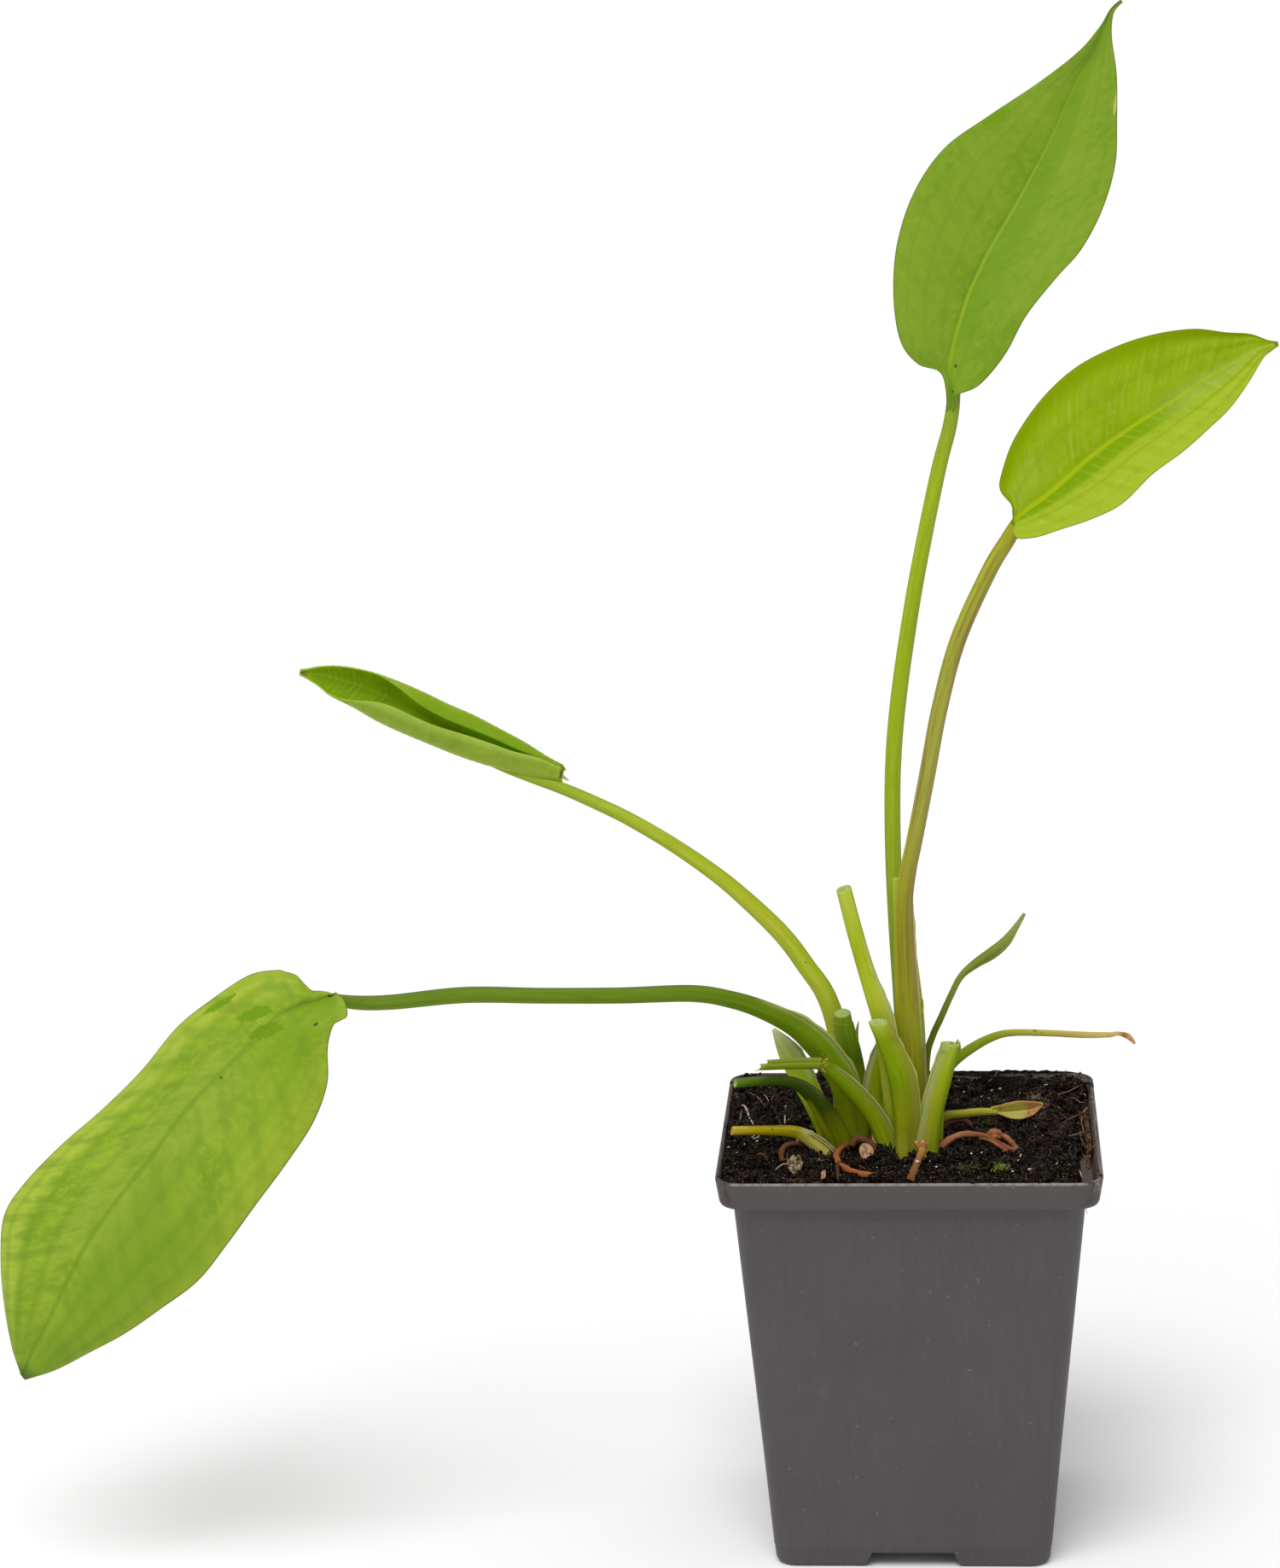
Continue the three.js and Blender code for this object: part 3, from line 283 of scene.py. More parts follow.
# Stalks, stumps and small leaves. Each one is a route from the peat to its end. A point is x, y
# and z, the width that the front shows and the depth from front to back.
STALKS = {
    "tall_leaf_stalk": [
        (0.8, 0, 90, 6.5, 4.6), (0.4, 0.5, 104, 6, 4.4), (-0.6, 1.2, 118, 5, 4), (-1.6, 2.2, 133, 4.4, 3.6),
        (-2.8, 3.2, 151, 3.9, 3.4), (-3.4, 4.2, 169, 3.8, 3.3), (-3.2, 5.4, 187, 3.8, 3.2),
        (-1.7, 6.8, 204, 3.8, 3.2), (1.6, 8.8, 225.5, 3.7, 3.2), (4.9, 10.5, 242.5, 3.6, 3.1),
        (8.4, 12, 258.5, 3.5, 3), (11, 13, 268.2, 3.3, 2.6), (12, 13.8, 276, 3, 2.2),
        (11.8, 14.4, 283, 1.8, 1.2),
    ],
    "right_leaf_stalk": [
        (0.9, -8.4, 90, 6.6, 4.6), (0.7, -8.2, 104, 6.6, 4.4), (0.3, -7.8, 119, 6.3, 4),
        (-0.3, -7.2, 134, 5.8, 3.6), (-0.8, -6.6, 148, 4.9, 3.4), (-0.8, -6, 157, 4.2, 3.2),
        (0.3, -5.8, 165, 3.9, 3.1), (2, -5.6, 173, 3.8, 3), (5, -4.8, 188, 3.8, 3),
        (8.1, -3.8, 204, 3.8, 3), (12.5, -2.5, 219.8, 3.8, 3), (19.6, -0.6, 235.2, 3.7, 2.8),
        (24, 0.8, 242.4, 3.6, 2.5), (27, 1.9, 247, 3.2, 2.1), (29.6, 2.8, 250, 2, 1.2),
    ],
    "hanging_leaf_stalk": [
        (-13.5, -5, 90, 8, 5.5), (-13.6, -5, 104, 7.8, 5.2), (-15.4, -5.4, 112.4, 7.4, 4.6),
        (-18.4, -6, 118, 7.2, 4.2), (-22, -6.8, 122.9, 6.8, 3.9), (-27, -8, 127.6, 5.6, 3.6),
        (-34, -9.8, 131.8, 4.7, 3.4), (-41.4, -11.6, 134.9, 4.2, 3.3), (-51, -13.8, 137.2, 4.1, 3.2),
        (-68, -17, 137.7, 3.9, 3.1), (-86, -20.8, 138.8, 3.8, 3.1), (-104, -24.8, 140.2, 3.9, 3),
        (-121, -28.6, 139.6, 3.6, 3), (-130, -30.6, 140.2, 3.3, 2.6), (-137, -31.4, 142, 2, 1.4),
    ],
    "rolled_leaf_stalk": [
        (-15.2, 4, 90, 6.5, 4.6), (-15.4, 4, 104, 6, 4.4), (-16.2, 4.2, 116, 5.3, 4),
        (-17.8, 4.6, 125, 4.9, 3.8), (-20.4, 5.2, 132.2, 4.7, 3.6), (-24.4, 6.2, 138, 4.5, 3.5),
        (-29.4, 7.4, 144.8, 4.4, 3.5), (-36, 9, 151.4, 4.2, 3.4), (-45, 11.2, 159, 3.8, 3.3),
        (-56, 13.7, 166.4, 3.5, 3.2), (-67, 15.9, 172.6, 3.3, 3.1), (-76.4, 17.6, 176.9, 3.1, 3),
        (-83.4, 18.9, 179.7, 2.9, 2.8), (-90, 20, 181.7, 2.3, 2.2), (-97, 21.2, 183.8, 1.5, 1.4),
        (-104, 22.6, 186.4, 0.8, 0.8),
    ],
    "front_cut_stalk": [
        (-0.6, -14.5, 90, 5.4, 5), (-0.6, -14.8, 100, 5.8, 5), (-0.6, -15, 108.5, 6.7, 4.8),
        (-1.5, -15, 116.5, 6.8, 4.4), (-4, -14.5, 123.5, 5.6, 3.6), (-7, -14, 130, 4.5, 3),
    ],
    "right_cut_stalk": [
        (4, -15.5, 90, 5.2, 4), (4.2, -15.5, 100, 5.4, 4), (5.5, -14.5, 108.5, 5.4, 3.8),
        (7, -13.4, 114, 5.3, 3.4), (8.5, -12.2, 119, 5, 3.2), (10, -11, 123.6, 4.5, 3),
    ],
    "bent_cut_stalk": [
        (-4.2, -15, 90, 5, 3.4), (-4.4, -14.4, 97, 5, 3.4), (-6.6, -13, 103.5, 5, 3.2),
        (-9.6, -12.7, 108.4, 4.8, 3), (-13, -13, 112.6, 4.4, 2.8), (-17.4, -13.6, 117.2, 3.6, 2.4),
        (-20.8, -14.1, 119.6, 3, 2),
    ],
    "hollow_cut_stalk": [
        (-16.2, -10.4, 90, 6.2, 4), (-16.6, -10.4, 98, 6.2, 4), (-18.2, -11, 103, 5.8, 3.6),
        (-20.6, -11.5, 107.8, 5, 3), (-23.6, -12.5, 112.2, 3.9, 2.6), (-27.6, -13.5, 115, 2.8, 2.3),
        (-33.5, -15, 116, 2.4, 2.1), (-41, -17, 116, 2.2, 2),
    ],
    "low_cut_stalk": [
        (-18.4, -14.8, 90, 4.4, 3), (-18.7, -14.6, 96, 4.4, 3), (-21, -14.2, 99, 4.2, 2.8),
        (-24.5, -13.2, 101.4, 3.6, 2.4), (-28, -12.4, 102.5, 3, 2), (-35, -11.8, 102.6, 2.4, 1.8),
        (-42.3, -12, 102.6, 2.2, 1.6),
    ],
    "pale_edged_stalk": [
        (-19, -5.6, 90, 4.6, 2.6), (-19.3, -5.5, 98, 4.8, 2.6), (-21.4, -5, 104.5, 5.2, 2.4),
        (-24.4, -4.2, 111, 5.6, 2.2), (-27.5, -3.4, 117.4, 6, 1.8), (-29.8, -2.9, 121.2, 4.4, 1.4),
        (-32.4, -2.4, 125.1, 1, 1),
    ],
    "dark_cut_stalk": [
        (-13.4, -0.6, 90, 7, 3.4), (-13.5, -0.6, 104, 7, 3.4), (-13.8, -0.8, 112, 6.6, 3.4),
        (-14.4, -1, 118.5, 5.7, 3.4), (-15.3, -1, 124, 4.7, 3.4), (-16, -1, 128.5, 4.4, 3.4),
    ],
    "long_cut_stalk": [
        (-3.5, -10.6, 90, 5.2, 3), (-3.4, -10.6, 106, 5.4, 3), (-4.3, -10.2, 118.5, 5.6, 3),
        (-6, -9.6, 129, 5.2, 2.8), (-8, -9, 135.5, 4.6, 2.8), (-10, -8.2, 141.5, 4, 2.8),
        (-12.5, -7.5, 150.5, 3.8, 2.8), (-15, -7, 160.8, 3.6, 2.8),
    ],
    "pale_sheath": [
        (-7.8, -2.6, 90, 5, 2.6), (-8.4, -2.8, 101, 5, 2.6), (-8.9, -2.5, 107, 4.8, 2.4),
        (-8.5, -1.5, 112.5, 4.4, 2.2), (-7.3, -0.6, 117.2, 4, 2), (-5.6, 0, 122, 3.4, 1.6),
    ],
    "back_cut_stalk": [
        (1.4, -3.6, 90, 6.4, 2), (1.3, -3.4, 103, 6.4, 2), (1, -2.8, 116, 6.3, 1.8),
        (0.6, -2.2, 128, 6.1, 1.6), (-0.3, -1.8, 140, 5.4, 1.5), (-1.4, -1.7, 152, 4.2, 1.4),
        (-2.3, -1.6, 162.1, 2.6, 1.3),
    ],
    "short_inner_stalk": [
        (-8.4, -6.2, 92, 3, 1.6), (-8, -6, 99.5, 3, 1.6), (-6.4, -5.6, 105.6, 3, 1.5),
        (-4.4, -5, 110, 2.4, 1.3),
    ],
    "upright_small_leaf": [
        (4, 3.6, 90, 1.8, 1.4), (3.8, 3.6, 104, 1.8, 1.4), (4.2, 3.9, 116, 1.7, 1.3),
        (5.7, 4.2, 121.4, 1.6, 1.2), (7.6, 4.4, 125.6, 1.6, 1.1), (10.1, 4.8, 131.2, 1.5, 1),
        (12.6, 5.4, 135.8, 1.6, 1), (16.2, 6, 138.8, 2.3, 0.9), (20, 6.4, 141.2, 2.9, 0.9),
        (23.2, 7, 143.8, 2.6, 0.9), (25.6, 7.6, 147, 1.6, 0.8), (27.9, 8, 150.6, 0.8, 0.7),
    ],
    "withered_small_leaf": [
        (6.4, -6.6, 90, 2.8, 1.6), (6.6, -6, 100, 2.8, 1.6), (7.2, -4, 108.4, 2.7, 1.4),
        (8.6, -2, 113.4, 2.6, 1.3), (10.8, -1, 116.4, 2.5, 1.2), (14.8, -0.4, 119.4, 2.4, 1.1),
        (19.8, 0.8, 121.8, 2, 1), (24.7, 2, 122.6, 1.7, 0.9), (33.7, 3.2, 122.1, 1.6, 0.8),
        (41.9, 4.4, 121.3, 1.6, 0.8), (48, 5.4, 121, 1.3, 0.7), (50.2, 5.8, 121.2, 1, 0.7),
        (52.6, 6.2, 120.3, 1.4, 0.6), (54.2, 6.4, 118.5, 0.6, 0.5),
    ],
    "yellow_small_leaf": [
        (5.8, 0.4, 90, 2.2, 1.8), (5.9, 0.2, 98, 2.2, 1.8), (8, 0.4, 102, 2.1, 1.7), (13, 2, 102.4, 2, 1.6),
        (17, 4.5, 102, 2, 1.5), (20.5, 6.5, 101.4, 1.7, 1.7), (26.5, 9.5, 100.3, 1.4, 1.8),
        (32, 13, 101.2, 1, 0.8),
    ],
    "tan_dead_stub": [
        (0.3, -32.4, 94.5, 1.8, 1.2), (0.6, -31.4, 97, 1.8, 1.2), (1.6, -27, 99.5, 1.7, 1.2),
        (3.4, -22.6, 102.4, 2.8, 1.6),
    ],
    "brown_arched_stalk": [
        (7, -13, 92, 2.2, 1.1), (8, -12.8, 97.4, 2.3, 1.1), (9.4, -12.4, 99.4, 2.3, 1.1),
        (12, -11.5, 100.6, 2.2, 1.1), (15.5, -10.5, 100.6, 2.1, 1), (19, -10, 99.6, 2, 1),
        (22, -9.5, 98.2, 2, 1), (25.5, -9, 95.6, 1.4, 0.9),
    ],
    "back_brown_stalk": [
        (6.4, 4.4, 93.5, 1.6, 1), (7.4, 5.6, 98.4, 1.8, 1), (9.6, 7.2, 99.7, 1.9, 1), (12, 8, 99.8, 1.9, 1),
        (14.4, 8, 98.6, 1.7, 1), (16, 7, 95, 1.4, 0.9),
    ],
    "brown_looped_stalk": [
        (-15.4, -14.4, 93, 2, 1.2), (-15.6, -15.6, 98.4, 2.2, 1.2), (-16.2, -18.6, 99, 2.2, 1.1),
        (-14.8, -23.4, 98.5, 2.3, 1.1), (-11.4, -26.8, 98.2, 2.2, 1), (-6.8, -28.3, 97.6, 1.4, 0.9),
    ],
    "brown_curl": [
        (-30.4, -17.6, 94, 1.5, 0.9), (-30.6, -15.8, 97.6, 1.7, 0.9), (-29.8, -12.6, 99, 1.8, 0.9),
        (-27.4, -10.6, 98.6, 1.7, 0.9), (-24.6, -10.4, 95.5, 1.2, 0.8),
    ],
}
# The two layers past the kink of the bent stump
UPPER_LAYER = [(-20.6, -13.9, 120.4), (-24.4, -14.6, 120.7), (-28.6, -15.6, 120.8), (-33, -16.8, 120.9)]
LOWER_LAYER = [(-20.6, -14.6, 119.5), (-25, -15.4, 119.8), (-30, -16.6, 120), (-34.6, -17.6, 120.1)]
# The rings over a cut end: share of its rim, how deep it is sunk, whether a hollow sinks it
# further, and how much of the pith it shows
CUT_RINGS = ((0.95, -0.1, 0, 0.2), (0.84, 0.0, 0, 0.6), (0.72, 0.3, 0, 1.0), (0.45, 0.35, 1, 1.0),
             (0.16, 0.3, 1, 1.0))
STRIP_STEPS = 70
SPIKE_STEPS = 14
LAYER_STEPS = 40

# Dry ribbons that lie on the peat: x, y, z and width
ARCH = [
    (5.3, -15, 97.2, 1.9), (6.5, -14.5, 98.3, 2.1), (7.7, -14, 99.4, 2.0), (10.2, -13, 101, 1.7),
    (13, -12, 101.6, 1.5), (16.1, -11, 101.2, 1.4), (18.7, -10.5, 100.4, 1.3), (20.7, -10.5, 99.2, 1.3),
    (23.1, -11, 98, 1.3), (25.4, -12, 97.5, 1.0),
]
ARCH_TAIL = [
    (21.6, -9.2, 100.4, 0.9), (22.8, -9.6, 100.2, 1.3), (24.2, -10.4, 99.1, 1.4), (25.8, -12, 97.6, 1.1),
]
ARCH_KNOT = [
    (18.5, -9.4, 100.6, 1.2), (19.8, -9, 101.1, 1.9), (21.2, -8.8, 100.9, 1.7), (22.2, -9, 100, 0.9),
]
ARCH_SCRAP = [(18.9, -9.8, 100, 0.8), (20.4, -9.6, 100.3, 1.4), (21.6, -9.4, 99.9, 0.9)]
BACK_ARCH = [
    (7.1, -1, 97.9, 1.1), (7.9, 0, 99.5, 1.4), (9.2, 1, 100.4, 1.5), (11, 2, 100.7, 1.5),
    (13.1, 2.4, 100.6, 1.4), (14.5, 1.8, 99.8, 1.2), (14.9, 1, 99.2, 0.6),
]
LOOP = [
    (-13.9, -14.2, 99.8, 1.2), (-15.6, -14.8, 99.6, 1.5), (-17, -16, 98.7, 1.7), (-17.5, -18, 97.6, 1.7),
    (-16.9, -20.5, 96.9, 1.7), (-15.6, -23, 97.0, 1.6), (-13.6, -26, 97.0, 1.5), (-10.1, -29, 97.1, 1.4),
    (-6.9, -30, 97.7, 0.7),
]
OVER_FLAKE = [
    (-13.9, -15.6, 99.8, 1.4), (-12.9, -14.4, 101, 2.0), (-11.5, -14, 101.1, 2.2),
    (-9.9, -14.2, 100.4, 1.9), (-8.5, -14.8, 99.5, 1.6), (-7.3, -15.6, 98.5, 1.0),
]
LOW_STRIP = [
    (-16.8, -24, 98.4, 1.2), (-16.9, -27, 98.2, 1.5), (-16.8, -30.4, 97.6, 1.4), (-16.7, -33, 96.8, 1.2),
]
CURL = [
    (-30.1, -19, 97.1, 1.2), (-30.4, -17.5, 98.5, 1.5), (-29.8, -15.5, 99.6, 1.5),
    (-28.2, -13.5, 99.7, 1.3), (-26.4, -12.5, 99.4, 1.1), (-24.8, -12, 98.5, 0.7),
]
STUB = [
    (0.3, -33, 96.9, 1.9), (1.1, -30.5, 98.4, 1.8), (2.1, -27.5, 100, 1.7), (2.9, -25, 101.3, 1.7),
    (3.2, -23.8, 102, 1.8),
]
STUB_HEAD = [(3, -24.4, 101.5, 1.7), (3, -23.6, 102.3, 3.0), (2.9, -22.8, 103.1, 3.4)]

# Looks. A colour is what an upright face shows in this light, in screen values from 0 to 255.
WET = (112, 154, 0)
# The colours and veins of each blade. A band is its start and end along, its middle and reach
# across, its share and colour. Rungs are their spacing, slant, thinness, share, limits across
# and colour. A vein is its place across, width and strength. A rib is its width at the foot and
# at the tip, its strength there and where it starts. A spot is its place and size in
# millimetres, its turn, raggedness and colour.
LEAF_LOOKS = {
    "tall": {
        "deep": (118, 152, 26), "pale": (130, 161, 38), "blotch": (138, 168, 44), "mottle": 0.65,
        "rungs": [
            (1.5, 0.8, 0.2, 0.16, -1.2, 1.2, (146, 174, 58)),
            (5.2, 0.8, -0.4, 0.16, -1.2, 1.2, (102, 140, 18)),
        ],
        "vein": (98, 136, 20),
        "veins": [
            (-0.3, 0.8, 0.22), (-0.58, 0.8, 0.2), (-0.82, 0.6, 0.18), (0.3, 0.8, 0.22), (0.6, 0.8, 0.2),
            (0.83, 0.6, 0.18),
        ],
        "rib": (0.9, 0.3, 0.8, 0.1, 0.1), "rib_colour": (150, 182, 40), "edge": ((104, 112, 44), 0.75),
        "tip": ((112, 134, 66), 0.7), "under": ((134, 158, 74), 0.7),
        "spots": [
            ((-14.4, 73), (3.4, 1.5), 55, 3.0, WET), ((1.7, 12.8), (0.35, 0.35), 0, 0.0, (50, 66, 24)),
            ((0.6, 6.4), (0.4, 0.3), 0, 0.0, (50, 66, 24)),
            ((12.6, 78), (0.5, 4.2), 14, 0.5, (180, 196, 110)),
        ],
        "bands": [
            (-0.1, 0.14, 0.3, 0.9, 0.35, (122, 162, 20)), (0.2, 0.6, -0.55, 0.3, 0.5, (132, 162, 38)),
            (0.2, 0.9, 0.12, 0.22, 0.5, (106, 150, 16)), (0.75, 1.0, 0.0, 0.9, 0.4, (106, 142, 46)),
        ],
    },
    "right": {
        "deep": (136, 164, 4), "pale": (148, 174, 16), "blotch": (154, 178, 34), "mottle": 0.5,
        "gloss": 0.03,
        "rungs": [
            (1.9, 0.65, 0.6, 0.24, -0.82, -0.06, (176, 194, 76)),
            (3.4, 0.65, 0.2, 0.22, -0.82, -0.1, (170, 190, 70)),
            (2.6, 0.65, 0.5, 0.22, 0.05, 0.9, (186, 200, 90)),
            (6.0, 0.65, -0.3, 0.2, -0.8, 0.9, (128, 164, 4)),
        ],
        "vein": (124, 160, 0),
        "veins": [(-0.24, 0.8, 0.25), (-0.5, 0.8, 0.2), (0.46, 0.8, 0.4), (0.75, 0.6, 0.2)],
        "rib": (1.1, 0.4, 0.75, 0.5, 0.0), "rib_colour": (172, 190, 20), "edge": ((124, 116, 40), 0.7),
        "tip": ((104, 84, 44), 0.85), "under": ((150, 172, 80), 0.7),
        "bands": [
            (-0.1, 0.9, -0.97, 0.32, 0.9, (142, 172, 0)), (0.02, 0.93, 0.72, 0.6, 0.75, (174, 194, 52)),
            (0.05, 0.35, -0.45, 0.3, 0.45, (160, 180, 56)), (0.6, 1.1, 0.1, 0.3, 0.4, (176, 192, 90)),
            (0.08, 0.6, 0.17, 0.15, 0.75, (118, 158, 0)),
        ],
    },
    "hanging": {
        "deep": (126, 158, 30), "pale": (148, 176, 44), "blotch": (166, 188, 54), "mottle": 0.55,
        "rungs": [
            (6.4, 0.5, -0.6, 0.45, 0.1, 1.1, (114, 150, 40)),
            (2.2, 0.5, 0.0, 0.22, 0.1, 1.1, (120, 154, 38)),
            (8.0, 0.7, -0.3, 0.4, -0.95, 0.1, (114, 152, 30)),
        ],
        "vein": (100, 140, 30),
        "veins": [
            (-0.28, 1.6, 0.18), (-0.56, 2.0, 0.25), (-0.82, 1.4, 0.2), (0.36, 1.6, 0.22), (0.64, 1.8, 0.25),
            (0.88, 1.2, 0.22),
        ],
        "rib": (1.3, 0.9, 0.45, 0.55, 0.12), "rib_colour": (108, 146, 30), "edge": ((100, 104, 50), 0.85),
        "tip": ((64, 84, 36), 0.8), "under": ((146, 166, 92), 0.7),
        "bands": [
            (0.4, 0.95, -0.92, 0.25, 0.5, (168, 186, 52)), (0.35, 0.95, 0.93, 0.26, 0.8, (174, 194, 66)),
            (-0.1, 0.45, 0.75, 0.5, 0.6, (166, 188, 52)), (-0.1, 0.5, -0.35, 0.5, 0.5, (124, 160, 10)),
            (0.5, 0.8, 0.0, 0.5, 0.4, (146, 168, 60)), (0.66, 1.05, -0.55, 0.6, 0.7, (124, 156, 34)),
            (0.9, 1.1, 0.3, 1.4, 0.5, (126, 156, 34)),
        ],
        "spots": [
            ((13.8, 21.4), (3.6, 0.8), 63, 3.0, WET), ((5.0, 17.6), (4.2, 1.4), 50, 3.2, WET),
            ((-0.4, 18.6), (4.2, 1.7), 64, 3.4, (110, 150, 10)),
            ((-7.1, 10.5), (0.35, 0.35), 0, 0.0, (44, 60, 20)),
            ((0.2, 1.0), (0.7, 0.4), 0, 0.0, (54, 56, 34)),
            ((-0.9, 33.7), (0.3, 0.3), 0, 0.0, (50, 70, 20)),
        ],
    },
    "rolled": {
        "deep": (134, 168, 0), "pale": (146, 178, 6), "blotch": (130, 162, 0), "mottle": 0.4,
        "rungs": [(1.6, 0.4, 0.5, 0.5, -1.1, 1.1, (180, 202, 30))], "vein": (140, 170, 10),
        "veins": [(-0.45, 0.35, 0.3), (0.4, 0.35, 0.3), (0.7, 0.3, 0.3)], "rib": (0.7, 0.4, 0.8, 0.4, 0.0),
        # Painted highlight: the light margin stands for light along the blade's free edges.
        "rib_colour": (176, 196, 30), "edge": ((176, 194, 100), 0.7), "tip": ((100, 90, 56), 0.9),
        # Painted light: the band brightens the inside of the roll from the foot to past its middle, for light
        # that shines through the leaf.
        "under": ((146, 170, 52), 0.92), "bands": [(-0.2, 0.62, 0.0, 2.4, 0.85, (186, 216, 10))],
        "under_light": (170, 190, 90), "under_dark": (124, 156, 34), "scatter": 0.9,
        # Painted light and shade on the outer face: darker where the far margin sinks into the groove,
        # lighter along the near margin and over the middle of the near flap.
        "under_light_and_shade": [
            (-0.2, 0.6, 1.0, 0.5, 0.9, (124, 160, 0)), (-0.2, 0.7, -1.0, 0.14, 0.6, (176, 196, 90)),
            (-0.2, 0.4, -0.5, 0.3, 0.4, (168, 188, 60)),
        ],
    },
    "yellow": {
        "deep": (188, 190, 44), "pale": (208, 202, 70), "blotch": (216, 206, 96), "mottle": 0.5,
        "rungs": [(1.6, 0.6, 0.2, 0.4, -1.2, 1.2, (222, 208, 120))], "vein": (170, 150, 60),
        "veins": [(0.5, 0.35, 0.4), (-0.5, 0.35, 0.4)], "rib": (0.32, 0.22, 0.9, 0.7, 0.0),
        "rib_colour": (110, 84, 20), "edge": ((200, 140, 70), 0.6), "tip": ((170, 84, 46), 0.8),
        "under": ((190, 178, 84), 0.6),
        "bands": [
            (-0.2, 1.2, 0.75, 0.9, 0.8, (220, 202, 116)), (0.2, 1.2, -1.0, 0.6, 0.8, (224, 168, 96)),
            (0.6, 1.4, 0.0, 2.4, 0.85, (212, 140, 88)),
        ],
        "spots": [((-1.0, 2.6), (0.5, 0.16), 20, 0.4, (56, 40, 16))],
    },
}
